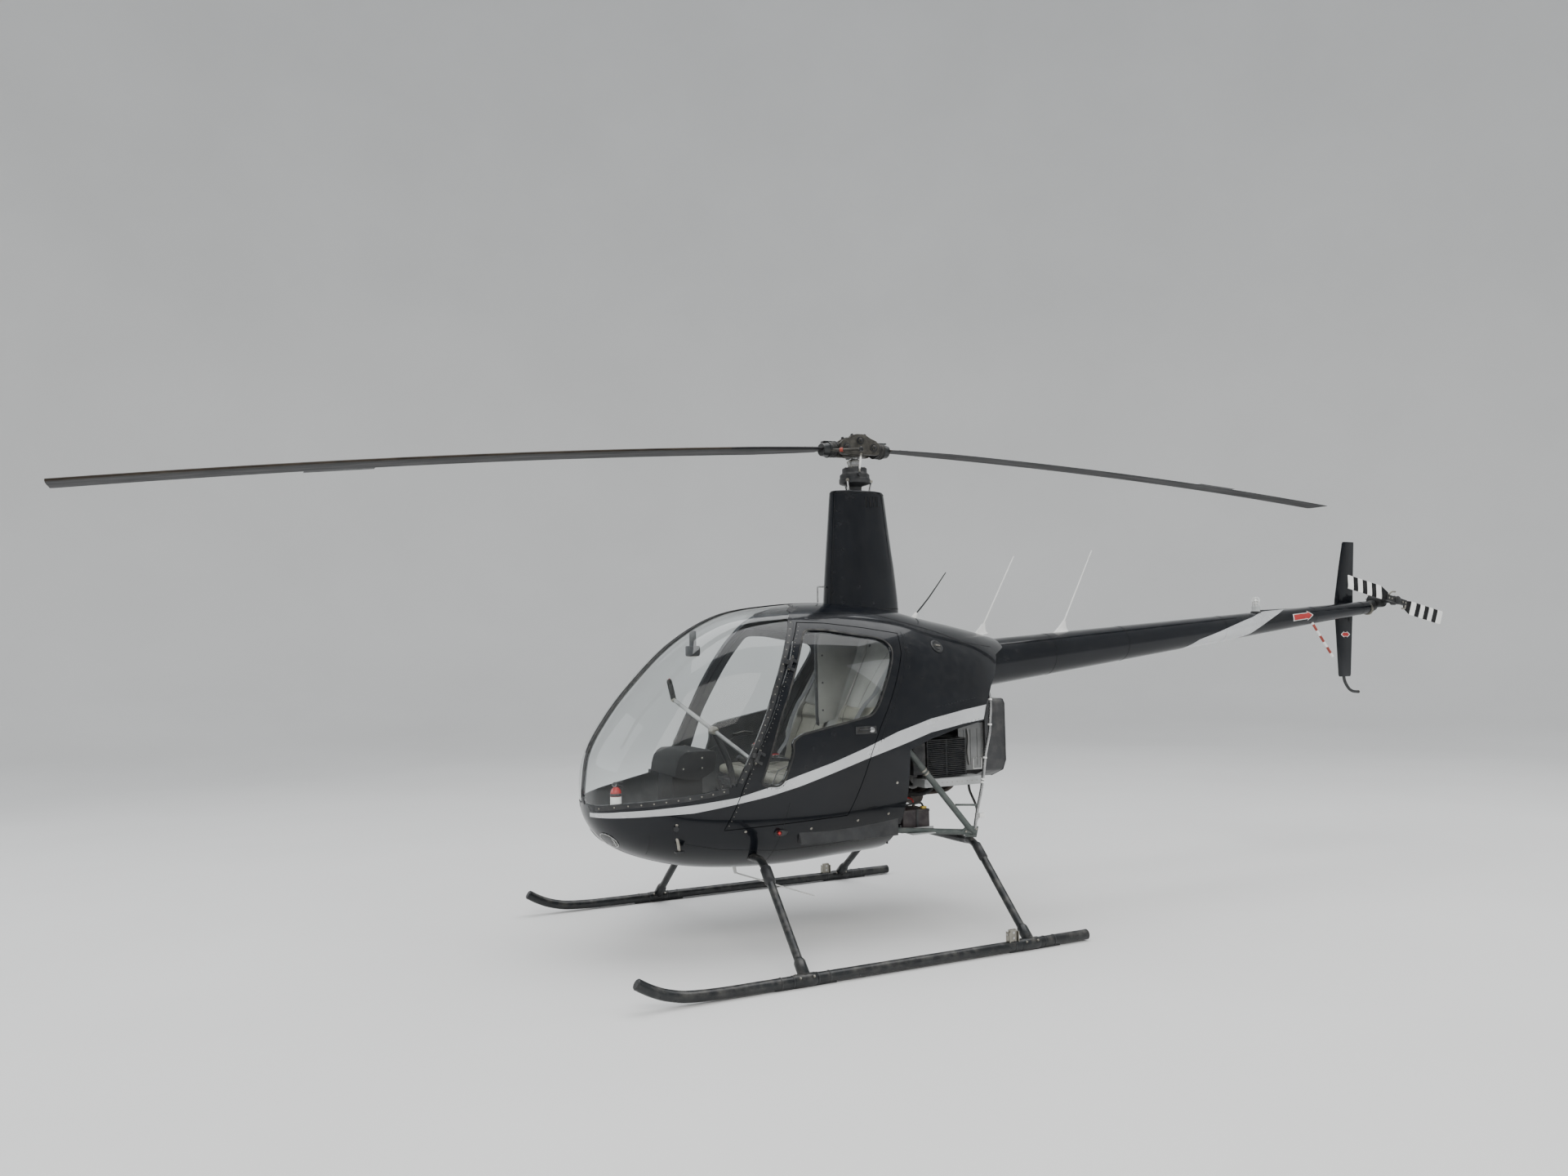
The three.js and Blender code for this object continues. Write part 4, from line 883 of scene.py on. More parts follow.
def build_hub():
    """Hub block between its cheek plates, with bolts and cap."""
    hub = Piece("hub_block", "rotor_head")
    hub.block((-0.06, -0.04, -0.05), (0.06, 0.04, 0.046), HUB, 0.01, HEAD)
    cheek = [(-0.128, -0.03), (-0.112, -0.042), (0.112, -0.042), (0.128, -0.03), (0.128, 0.016),
             (0.108, 0.038), (0.07, 0.052), (0.044, 0.068), (0.018, 0.0745), (-0.018, 0.0745),
             (-0.044, 0.068), (-0.07, 0.052), (-0.108, 0.038), (-0.128, 0.016)]
    for side in (-1, 1):
        hub.slab(cheek, side * 0.04, side * 0.068, HUB, 0.004, HEAD)
        inset = [(x * 0.86, 0.01 + (z - 0.01) * 0.8) for x, z in cheek]
        hub.slab(inset, side * 0.067, side * 0.0695, HUB, 0.001, HEAD)
        for x, z in ((-0.088, -0.002), (0.088, -0.002), (0.0, 0.036)):
            hub.turned([(0.0225, 0), (0.0235, 0.002), (0.0225, 0.004), (0, 0.004)], TAIL_METAL,
                       (x, side * 0.069, z), (0, side, 0), 30, HEAD)
            hub.turned([(0.0155, 0.003), (0.0155, 0.009), (0.013, 0.011), (0, 0.011)], HUB,
                       (x, side * 0.069, z), (0, side, 0), 6, HEAD)
            hub.turned([(0.0075, 0.01), (0.0075, 0.016), (0.006, 0.0175), (0, 0.0175)], SATIN,
                       (x, side * 0.069, z), (0, side, 0), 16, HEAD)
        for x in (-0.04, 0.04):
            hub.turned([(0.0075, 0), (0.0085, 0.004), (0.0085, 0.01), (0.005, 0.0135), (0, 0.014)], SATIN,
                       (x, side * 0.052, 0.064), (x * 6, 0, 1), 16, HEAD)
    for x in (-0.112, 0.112):
        hub.tube([(x, -0.045, 0.02), (x, 0.045, 0.02)], 0.008, HUB, 14, matrix=HEAD)
    cap = [(0, 0.044), (0.034, 0.044), (0.035, 0.052), (0.031, 0.058), (0.029, 0.07), (0.023, 0.0765),
           (0.01, 0.0795), (0, 0.08)]
    hub.turned(cap, HUB, segments=32, matrix=HEAD)
    hub.done("rotor_hub")


def build_grip(name, place):
    """Root grip and pitch horn of a blade."""
    grip = Piece(f"blade_root_grip_{name}", "rotor_head")
    rings = [(0.131, 0.036), (0.134, 0.043), (0.141, 0.046), (0.148, 0.043), (0.155, 0.046), (0.162, 0.043),
             (0.169, 0.045), (0.176, 0.042), (0.184, 0.041), (0.2, 0.038), (0.214, 0.035)]
    spots = [(x, 0, -0.005 - 0.06 * (x - 0.11)) for x, _ in rings]
    outer = [r for _, r in rings]
    stretch = place @ Matrix.Scale(1.2, 4, (0, 1, 0))
    grip.tube(spots[:8], outer[:8], RUBBER, 28, 1, matrix=stretch)
    grip.tube(spots[7:], outer[7:], GEAR, 28, 0, matrix=stretch)
    for r in (0.1315, 0.1755):
        tie = [(0.0462, -0.003), (0.047, 0), (0.0462, 0.003)]
        grip.turned(tie, TAIL_METAL, (r, 0, -0.005 - 0.06 * (r - 0.11)), (1, 0, -0.06), 28, stretch)
    grip.block((0.15, -0.02, 0.03), (0.206, 0.02, 0.0375), GEAR, 0.003, place)
    horn = (0.148 * math.cos(HORN_ANGLE), 0.148 * math.sin(HORN_ANGLE))
    arm = [(0.176, 0.036, -0.02), (0.142, 0.072, -0.022), (0.092, 0.112, -0.024), (*horn, -0.026)]
    grip.tube(arm, [0.014, 0.011, 0.009, 0.009], HUB, 14, 3, squash=0.8, matrix=place)
    grip.turned(collar(0.0118, 0.0124, 0.009, 0.007), RODRED, (0.131, 0.081, -0.0223), (-0.78, 0.62, -0.02),
                20, place)
    eye = [(0, -0.01), (0.011, -0.01), (0.013, -0.007), (0.013, 0.007), (0.011, 0.01), (0, 0.01)]
    grip.turned(eye, TAIL_METAL, (*horn, -0.026), (0, 0, 1), 20, place)
    grip.turned(bolt_head(0.006, 0.005, 0.006), STEEL, (*horn, -0.0165), (0, 0, 1), 6, place)
    grip.done(f"blade_grip_{name}")


def build_blade(name, place):
    """Blade with its rivets, trim tab and tip screws."""
    skin = Piece(f"main_blade_{name}", "rotor_head")
    root = 0.2143
    radii = np.concatenate([np.linspace(root, root + 0.36, 10), np.linspace(0.62, ROTOR_RADIUS - 0.03, 40),
                            [ROTOR_RADIUS - 0.012, ROTOR_RADIUS]])
    chords = [ROTOR_CHORD * (0.6 + 0.4 * min(1, (r - root) / 0.36) ** 0.8) for r in radii]
    chords[-1] *= 0.97
    blade(skin, radii, chords, ROTOR_CHORD, BLADE_PITCH, sag, place, blade_mat)
    for r0, r1 in ((0.26, 0.42), (0.42, 0.58)):
        for y in (-0.045, -0.015, 0.02):
            for r in np.linspace(r0 + 0.02, r1, 4):
                z = 0.0085 + y * math.tan(BLADE_PITCH) - sag(r)
                skin.turned([(0.004, -0.004), (0.004, 0.0012), (0.002, 0.002), (0, 0.002)], ZINC, (r, y, z),
                            (0, 0, 1), 8, place)
    tab = [(2.55, -0.128), (2.86, -0.128), (2.86, -0.165), (2.55, -0.165)]
    made = [(r, y, y * math.tan(BLADE_PITCH) - sag(r) + dz) for dz in (0.0008, -0.0008) for r, y in tab]
    skin.add(made, BOX_FACES, SATIN, place)
    tip = ROTOR_RADIUS - 0.0005
    for y in (0.035, -0.02):
        z = y * math.tan(BLADE_PITCH) - sag(tip)
        skin.turned([(0.0045, -0.002), (0.0045, 0.001), (0, 0.0015)], ZINC, (tip, y, z), (1, 0, 0), 10,
                    place)
    skin.done(f"rotor_blade_{name}")


def build_blades():
    """The two blades with their root grips and pitch horns."""
    for name, turn in BLADES:
        place = HEAD @ Matrix.Rotation(turn, 4, "Z")
        build_grip(name, place)
        build_blade(name, place)


def build_fairing():
    """Mast fairing with its seams; its slots are dark blocks and its creases dark lines, both painted shade.
    """
    fairing = Piece("mast_fairing_skin")
    # Columns: height, reach to the front and to the rear, half width
    levels = [(1.64, 0.215, 0.262, 0.128), (1.7, 0.208, 0.2595, 0.1237), (1.74, 0.205, 0.258, 0.122),
              (1.85, 0.1975, 0.247, 0.1165), (1.95, 0.19, 0.235, 0.11), (2.05, 0.182, 0.22, 0.104),
              (2.16, 0.173, 0.205, 0.097), (2.27, 0.164, 0.191, 0.0902), (2.345, 0.158, 0.181, 0.0855),
              (2.359, 0.1555, 0.1775, 0.083), (2.365, 0.15, 0.172, 0.078)]
    heights, fronts, rears, halves = np.array(levels).T
    angles = around(72)
    c, s = np.cos(angles), np.sin(angles)
    rings = [np.stack([np.where(c > 0, front * c, -rear * np.abs(c) ** 1.15), half * s, np.full(72, z)], 1)
             for z, front, rear, half in levels]
    fairing.add(np.concatenate(rings), ring_faces(len(rings), 72), BLACK)
    for side in (1, -1):
        for station, low, high in ((-0.02, 2.268, 2.33), (-0.048, 2.268, 2.33), (-0.076, 2.272, 2.332),
                                   (-0.1, 2.276, 2.334)):
            z = (low + high) / 2
            rear, half = np.interp(z, heights, rears), np.interp(z, heights, halves)
            turn = math.asin(min(0.98, (abs(station) / rear) ** (1 / 1.15)))
            spot = np.array([station, side * half * math.cos(turn), z])
            out = np.array([-half * math.sin(turn), side * rear * math.cos(turn), 0.06 * rear])
            slot = aimed(spot, out, (0, 0, 1))
            # Dark block standing in the slot: painted shade in place of the opening
            fairing.block((-(high - low) / 2, -0.0042, -0.004), ((high - low) / 2, 0.0042, 0.0008), SEAM_AND_SHADE,
                          0.0015, slot)
            for way in (-1, 1):
                rim = [(-(high - low) / 2, way * 0.0052, 0.0006), ((high - low) / 2, way * 0.0052, 0.0006)]
                fairing.tube(rim, 0.0011, BLACK, 6, matrix=slot)
    # Dark lines along the creases are painted shade where the surface turns
    crease = [(np.interp(z, heights, fronts) * 0.93, np.interp(z, heights, halves) * 0.372, z)
              for z in np.linspace(1.7, 2.352, 30)]
    for side in (1, -1):
        fairing.tube([(x, side * y, z) for x, y, z in crease], 0.0016, SEAM_AND_SHADE, 6)
    for z in (1.705, 2.352):
        k = np.interp(z, heights, range(len(levels)))
        low = int(k)
        mix = k - low
        ring = rings[low] * (1 - mix) + rings[min(low + 1, len(rings) - 1)] * mix
        fairing.tube(np.concatenate([ring, ring[:1]]) * (1.001, 1.001, 1), 0.0016, SEAM_AND_SHADE, 6)
    fairing.done("mast_fairing")


def build_link(name, out):
    """Pitch link on the side of the mast that out points to."""
    link = Piece(f"pitch_link_rod_{name}", "rotor_mast")
    foot, head = out * 0.105 + (0, 0, 2.4656), out * 0.148 + (0, 0, 2.564)
    axis = head - foot
    link.tube([foot + axis * 0.16, foot + axis * 0.2, foot + axis * 0.8, foot + axis * 0.84],
              [0.004, 0.0054, 0.0054, 0.004], WHITE, 16)
    for share, way in ((0.0, 1), (1.0, -1)):
        spot = foot + axis * share + axis * way * 0.05
        link.tube([spot, spot + axis * way * 0.14], 0.0036, STEEL, 10)
        ball = [(0, -0.0058), (0.0045, -0.0052), (0.0065, -0.002), (0.0065, 0.002), (0.0045, 0.0052),
                (0, 0.0058)]
        link.turned(ball, ZINC, spot, out, 16)
        nut = [(0, -0.0022), (0.0062, -0.0022), (0.0062, 0.0022), (0, 0.0022)]
        link.turned(nut, ZINC, spot + axis * way * 0.11, axis, 6)
    link.done(f"pitch_link_{name}")


def build_swashplates():
    """Fixed and turning swashplate with the pitch links."""
    lower = Piece("fixed_swashplate")
    profile = [(0.027, 2.3655), (0.036, 2.3655), (0.038, 2.368), (0.038, 2.392), (0.042, 2.397),
               (0.08, 2.409), (0.086, 2.412), (0.088, 2.415), (0.088, 2.437), (0.086, 2.4397),
               (0.03, 2.4397)]
    lower.turned(profile, SATIN, segments=48)
    for turn in np.radians([35, 155, 275]):
        spot = np.array([0.089 * math.cos(turn), 0.089 * math.sin(turn), 2.425])
        lower.turned([(0.009, -0.008), (0.009, 0.008), (0.006, 0.012), (0, 0.012)], ZINC, spot,
                     (math.cos(turn), math.sin(turn), 0), 16)
        foot = spot * (0.86, 0.86, 0) + (0, 0, 2.35)
        lower.tube([spot + (math.cos(turn) * 0.004, math.sin(turn) * 0.004, -0.004), foot], 0.0055, STEEL,
                   10)
    lower.done("swashplate_lower")
    turning = Piece("turning_swashplate", "rotor_mast")
    profile = [(0.024, 2.4405), (0.084, 2.4405), (0.084, 2.46), (0.08, 2.4635), (0.072, 2.472),
               (0.07, 2.475), (0.07, 2.496), (0.067, 2.499), (0.042, 2.505), (0.024, 2.506)]
    turning.turned(profile, SATIN, segments=48)
    for k in range(8):
        turn = math.radians(45 * k)
        turning.turned(bolt_head(0.0055, 0.005, 0.0055), ZINC,
                       (0.057 * math.cos(turn), 0.057 * math.sin(turn), 2.4995), (0, 0, 1), 6)
    for name, turn in BLADES:
        angle = AZIMUTH + HORN_ANGLE + turn
        out = np.array([math.cos(angle), math.sin(angle), 0])
        turning.tube([out * 0.06 + (0, 0, 2.456), out * 0.085 + (0, 0, 2.455), out * 0.112 + (0, 0, 2.454)],
                     [0.012, 0.0095, 0.009], SATIN, 16)
        build_link(name, out)
    turning.done("swashplate_upper")


def build_shaft():
    """Rotor shaft with its collar."""
    mast = Piece("rotor_shaft", "rotor_mast")
    profile = [(0, 2.2003), (0.022, 2.2003), (0.022, 2.506), (0.0365, 2.508), (0.037, 2.51), (0.037, 2.542),
               (0.0365, 2.544), (0.034, 2.546), (0.022, 2.55), (0.022, 2.61), (0, 2.611)]
    mast.turned(profile, STEEL, segments=36)
    for z in (2.514, 2.538):
        mast.turned([(0.037, z - 0.002), (0.0378, z - 0.001), (0.0378, z + 0.001), (0.037, z + 0.002)],
                    ZINC, segments=36)
    mast.done("mast")


# Tail
BOOM_ROOT, BOOM_END = (-0.7, 1.372, 0.142), (-4.264, 1.723, 0.045)


def boom_at(x):
    """Centre height and radius of the boom at a station."""
    share = (x - BOOM_ROOT[0]) / (BOOM_END[0] - BOOM_ROOT[0])
    return (BOOM_ROOT[1] + share * (BOOM_END[1] - BOOM_ROOT[1]),
            BOOM_ROOT[2] + share * (BOOM_END[2] - BOOM_ROOT[2]))


def on_boom(x, turn, proud=0.0):
    """Place and normal on the boom; turn is 0 at its top and grows to the left side."""
    z, radius = boom_at(x)
    normal = np.array([0.0, math.sin(turn), math.cos(turn)])
    return np.array([x, 0, z]) + normal * (radius + proud), normal


# Grey swoosh on the boom: station and turn from the boom's top in degrees
SWOOSH = [(-2.317, 172), (-2.405, 157), (-2.515, 119), (-2.684, 99), (-2.871, 73), (-3.036, 50),
          (-3.175, 14), (-3.215, 0), (-3.425, 0), (-3.375, 18), (-3.292, 48), (-3.161, 83), (-3.06, 114),
          (-3.0, 140), (-2.9, 160), (-2.75, 172)]


def build_boom():
    """Boom skin with seams and rivets."""
    boom = Piece("tail_boom_skin")
    xs = np.linspace(BOOM_ROOT[0], BOOM_END[0], 120)
    sides = 64
    turns = around(sides)
    rings, normals = [], []
    slope = (BOOM_ROOT[2] - BOOM_END[2]) / (BOOM_ROOT[0] - BOOM_END[0])
    for x in xs:
        rows = [on_boom(x, turn) for turn in turns]
        rings.append(np.array([p for p, _ in rows]))
        tilted = np.array([n for _, n in rows]) - np.array([slope, 0, 0])
        normals.append(tilted / np.linalg.norm(tilted, axis=1)[:, None])
    faces = ring_faces(len(xs), sides, False)
    boom.add(np.concatenate(rings), faces, BLACK, normals=np.concatenate(normals))
    end = tuple(range(sides))
    boom.add(rings[0], [end], SATIN)
    boom.add(rings[-1], [end[::-1]], SATIN)
    for x in (-1.3, -1.89, -2.76, -3.66, -4.18):
        ring = np.array([on_boom(x, turn, 0.0002)[0] for turn in [*turns, 0.0]])
        boom.tube(ring, 0.0009, SEAM_AND_SHADE, 6)
        for shift in (-0.012, 0.012):
            spots = [on_boom(x + shift, turn, 0.0) for turn in around(36)]
            boom.studs([p for p, _ in spots], [n for _, n in spots], 0.0022, 0.0006, BLACK, 6)
    for x in np.linspace(-0.95, -4.15, 90):
        spot, normal = on_boom(x, math.pi)
        boom.studs([spot], [normal], 0.0026, 0.0009, BLACK, 6)
    boom.done("tail_boom")


def build_swoosh():
    """Grey paint on the boom, laid out flat in mm along it and in quarter degrees around it."""
    swoosh = Piece("boom_swoosh")
    outline = rounded([(x * 1000, turn * 4) for x, turn in SWOOSH], 20, 4)
    outline = dense(outline, 16)
    grid = np.array([(x, y) for x in np.arange(-3440, -1900, 20) for y in np.arange(0, 700, 20)])
    grid = grid[within(grid[:, 0], grid[:, 1], outline)]
    gap = np.min(np.linalg.norm(grid[:, None] - outline[None], axis=2), axis=1)
    grid = grid[gap > 9]
    points = np.concatenate([outline, grid])
    edges = [(i, (i + 1) % len(outline)) for i in range(len(outline))]
    made, faces = triangulated(points, edges)
    middle = made[faces].mean(1)
    faces = faces[within(middle[:, 0], middle[:, 1], outline)]
    spots = [on_boom(x / 1000, math.radians(y / 4), 0.0007) for x, y in made]
    for side in (1, -1):
        flip = np.array([1, side, 1])
        ccw = np.cross(made[faces[0][1]] - made[faces[0][0]], made[faces[0][2]] - made[faces[0][0]]) > 0
        turned_faces = faces if (side > 0) == bool(ccw) else faces[:, ::-1]
        swoosh.add([p * flip for p, _ in spots], turned_faces, SILVER,
                   normals=np.array([n * flip for _, n in spots]))
    swoosh.done()


TAIL_ROTOR, TAIL_CHORD, FIN_Y = (-4.37, 0.16, 1.767), 0.098, -0.1
TAIL_TURN = Matrix.Translation(TAIL_ROTOR) @ Matrix.Rotation(-math.radians(11.5), 4, "Y")


def arrow_plate(length, height, both_ends=False):
    """Grid points (along, across) and triangles of a flat plate with an arrow head, about its middle."""
    neck, rise = length / 2 - height * 0.75, height * 0.32
    stations = [(-length / 2, 0.0004), (-neck, height / 2)] if both_ends else []
    stations += [(-neck if both_ends else -length / 2, rise), (neck, rise), (neck, height / 2),
                 (length / 2, 0.0004)]
    rows, faces = [], []
    for (x0, half0), (x1, half1) in zip(stations, stations[1:]):
        if x1 - x0 < 1e-6:
            continue
        for k in range(9):
            along, half = x0 + (x1 - x0) * k / 8, half0 + (half1 - half0) * k / 8
            if k:
                here = len(rows) * 9
                for j in range(8):
                    faces += [(here + j, here + j + 1, here + j - 8),
                              (here + j, here + j - 8, here + j - 9)]
            rows.append([(along, half * (j / 4 - 1)) for j in range(9)])
    return np.array(rows).reshape(-1, 2), faces


def build_plates():
    """Blank arrow plates, red with a white border, on the boom and the fin."""
    plates = Piece("blank_plates")
    for mat, grow, lift in ((WHITE, 1.0, 0.0004), (RED, 0.84, 0.0009)):
        station, turn = -3.52, math.radians(84)
        spots, faces = arrow_plate(0.205 - 0.1 * (1 - grow), 0.072 * grow)
        spots = [on_boom(station - u, turn - v / boom_at(station)[1], lift) for u, v in spots]
        for side in (1, -1):
            flip = np.array([1, side, 1])
            plates.add([p * flip for p, _ in spots], faced(faces, side), mat,
                       normals=[n * flip for _, n in spots])
        spots, faces = arrow_plate(0.098 * grow, 0.046 * grow, True)
        for side in (1, -1):
            y = FIN_Y + side * (0.0125 + lift)
            plates.add([(-4.142 - u, y, 1.528 + v) for u, v in spots], faced(faces, side), mat)
    plates.done()


def build_tail_gearbox():
    """Gearbox with its neck, bolts, filler and sight glass."""
    gear = Piece("tail_gearbox_case")
    x, _, z = TAIL_ROTOR
    gear.tube([(-4.259, 0, 1.716), (-4.285, 0, 1.7235), (-4.31, 0, 1.731), (-4.33, 0, 1.737)],
              [0.048, 0.046, 0.041, 0.04], TAIL_METAL, 32)
    case = [(0, -0.045), (0.044, -0.045), (0.049, -0.04), (0.05, -0.03), (0.05, -0.005), (0.046, 0.004),
            (0.045, 0.05), (0.042, 0.06), (0.03, 0.062), (0.017, 0.066), (0.017, 0.124), (0, 0.125)]
    gear.turned(case, TAIL_METAL, (x, 0, z), (0, 1, 0), 36)
    for k in range(8):
        turn = math.radians(45 * k + 22)
        spot = (x + 0.0455 * math.cos(turn), -0.0455, z + 0.0455 * math.sin(turn))
        gear.turned(bolt_head(0.0042, 0.004, 0.0045), ZINC, spot, (0, -1, 0), 6)
    for x0 in (-4.262, -4.272):
        gear.turned([(0.049, 0), (0.0505, 0.002), (0.049, 0.004)], ZINC, (x0, 0, 1.7165), (1, 0, -0.2), 32)
    gear.turned([(0.01, 0), (0.012, 0.004), (0.012, 0.016), (0.008, 0.021), (0, 0.022)], ZINC,
                (x - 0.01, 0.012, z + 0.044), (0, 0, 1), 16)
    gear.turned(bolt_head(0.009, 0.004, 0.005), LENS, (x - 0.047, 0.0, z - 0.012), (-1, 0, -0.2), 16)
    gear.done("tail_gearbox")


# Radii where the tail blades' white and dark bands change, from the tip
TAIL_BANDS = [0.533, 0.474, 0.424, 0.374, 0.324, 0.274, 0.224, 0.166]


def band_mat(r, _):
    """Material of a tail blade at a radius."""
    return WHITE if r > 0.1659 and sum(r < b for b in TAIL_BANDS) % 2 else BLADE


def build_tail_rotor():
    """Hub, two banded blades and their pitch horns."""
    rotor = Piece("tail_rotor_assembly", "tail_rotor_set")
    hub = [(0.03, -0.0347), (0.034, -0.034), (0.034, -0.012), (0.026, -0.006), (0.026, 0.006),
           (0.031, 0.012), (0.03, 0.018), (0.022, 0.022), (0, 0.022)]
    rotor.turned([(0, -0.0347), *hub], TAIL_METAL, (0, 0, 0), (0, 1, 0), 28, TAIL_TURN)
    teetered = TAIL_TURN @ Matrix.Rotation(math.radians(1.2), 4, "Z")
    rotor.block((-0.11, -0.011, -0.022), (0.11, 0.011, 0.022), TAIL_METAL, 0.005, teetered)
    for turn in (0, math.pi):
        turned = teetered @ Matrix.Rotation(turn, 4, "Y")
        flat = turned @ Matrix.Rotation(math.radians(90), 4, "X")
        radii = np.unique(np.concatenate([TAIL_BANDS, np.linspace(0.09, 0.16, 5), [0.528]]))
        chord = [-TAIL_CHORD * (0.55 + 0.45 * min(1, (r - 0.09) / 0.075)) for r in radii]
        chord[-1] *= 0.93
        blade(rotor, radii, chord, TAIL_CHORD, 0.1, lambda r: 0.0, flat, band_mat)
        for r in (0.062, 0.092):
            rotor.turned([(0.007, -0.013), (0.007, 0.013)], ZINC, (r, 0, 0), (0, 1, 0), 6, turned)
        horn = [(0.095, 0.008, 0.022), (0.08, 0.016, 0.044), (0.045, 0.019, 0.052)]
        rotor.tube(horn, [0.007, 0.006, 0.006], ZINC, 12, 2, matrix=turned)
    rotor.done("tail_rotor")


def build_fin():
    """Fin with its bracket, tail skid and rivets."""
    fin = Piece("tail_fin_skin")
    # Columns: height, station of the front edge, station of the rear edge
    levels = [(2.208, -4.1705, -4.2875), (2.2, -4.1625, -4.288), (2.0, -4.108, -4.27),
              (1.785, -4.056, -4.2505), (1.74, -4.05, -4.25), (1.5, -4.0575, -4.2245),
              (1.235, -4.0645, -4.1965), (1.222, -4.07, -4.19)]
    # Section: share of the chord, share of the half thickness
    shape = [(0, 0), (0.03, 0.42), (0.09, 0.75), (0.2, 1.0), (0.38, 1.0), (0.62, 0.72), (0.85, 0.32),
             (1, 0.08)]
    loop = shape + [(s, -w) for s, w in shape[:0:-1]]
    rings = []
    for index, (z, front, rear) in enumerate(levels):
        half = 0.0118 if 0 < index < len(levels) - 1 else 0.008
        rings.append([(front + s * (rear - front), FIN_Y + w * half, z) for s, w in loop])
    fin.add(np.concatenate(rings), ring_faces(len(rings), len(loop)), BLACK)
    fin.block((-4.238, -0.089, 1.692), (-4.082, -0.036, 1.728), SATIN, 0.005)
    for x0 in (-4.215, -4.16, -4.105):
        for z0 in (1.7, 1.72):
            fin.turned(bolt_head(0.005, 0.004, 0.0045), ZINC, (x0, -0.1118, z0), (0, -1, 0), 6)
    skid = [(-4.12, 1.225), (-4.126, 1.195), (-4.142, 1.165), (-4.17, 1.133), (-4.2, 1.116),
            (-4.235, 1.109), (-4.27, 1.107)]
    fin.tube([(x, FIN_Y, z) for x, z in skid], 0.0108, SATIN, 18, 3)
    fin.turned([(0, 0), (0.0112, 0), (0.0112, 0.018), (0, 0.019)], RUBBER, (-4.254, FIN_Y, 1.1072),
               (-1, 0, 0), 18)
    heights, fronts, rears = np.array(levels[::-1]).T
    for z0 in np.linspace(1.26, 2.17, 42):
        front, rear = np.interp(z0, heights, fronts), np.interp(z0, heights, rears)
        x0 = front + 0.2 * (rear - front)
        fin.studs([(x0, -0.0885, z0), (x0, -0.1115, z0)], [(0, 1, 0), (0, -1, 0)], 0.0024, 0.0007, BLACK, 6)
    fin.done("fin")


def build_stabiliser():
    """Stabiliser on the right side."""
    stab = Piece("stabiliser_skin")
    section = [(-4.06, 1.722), (-4.064, 1.727), (-4.075, 1.732), (-4.105, 1.7352), (-4.16, 1.736),
               (-4.23, 1.7305), (-4.29, 1.7225), (-4.23, 1.7155), (-4.16, 1.71), (-4.105, 1.7102),
               (-4.075, 1.712), (-4.064, 1.7165)]
    rings = []
    for y0, grow in ((-0.1125, 1), (-0.35, 1), (-0.6, 1), (-0.815, 1), (-0.826, 0.9), (-0.83, 0.6)):
        rings.append([(-4.17 + (px + 4.17) * (1 if grow == 1 else 0.985), y0, 1.7225 + (pz - 1.7225) * grow)
                      for px, pz in section])
    stab.add(np.concatenate(rings), ring_faces(len(rings), len(section)), BLACK)
    for y0 in np.linspace(-0.14, -0.8, 32):
        stab.studs([(-4.105, y0, 1.7353), (-4.105, y0, 1.7101)], [(0, 0, 1), (0, 0, -1)], 0.0024, 0.0007,
                   BLACK, 6)
    stab.done("stabiliser")


# Skids, crosstubes and truss
HALF_TREAD, SKID_Z = 0.965, 0.03
# Middle line of a skid, as (x, z)
SKID_LINE = [(-0.735, SKID_Z), (-0.6, SKID_Z), (-0.2, SKID_Z), (0.3, SKID_Z), (0.8, SKID_Z), (1.15, SKID_Z),
             (1.27, 0.031), (1.4, 0.038), (1.47, 0.051), (1.53, 0.07), (1.585, 0.096), (1.628, 0.1215)]
# Sleeve on a crosstube: its place as a share of the leg, and its profile
SLEEVES = {"front": (0.86, collar(0.0203, 0.0275, 0.05, 0.04)),
           "rear": (0.9, [(0.0203, -0.06), (0.024, -0.054), (0.024, 0.034), (0.0203, 0.04)])}


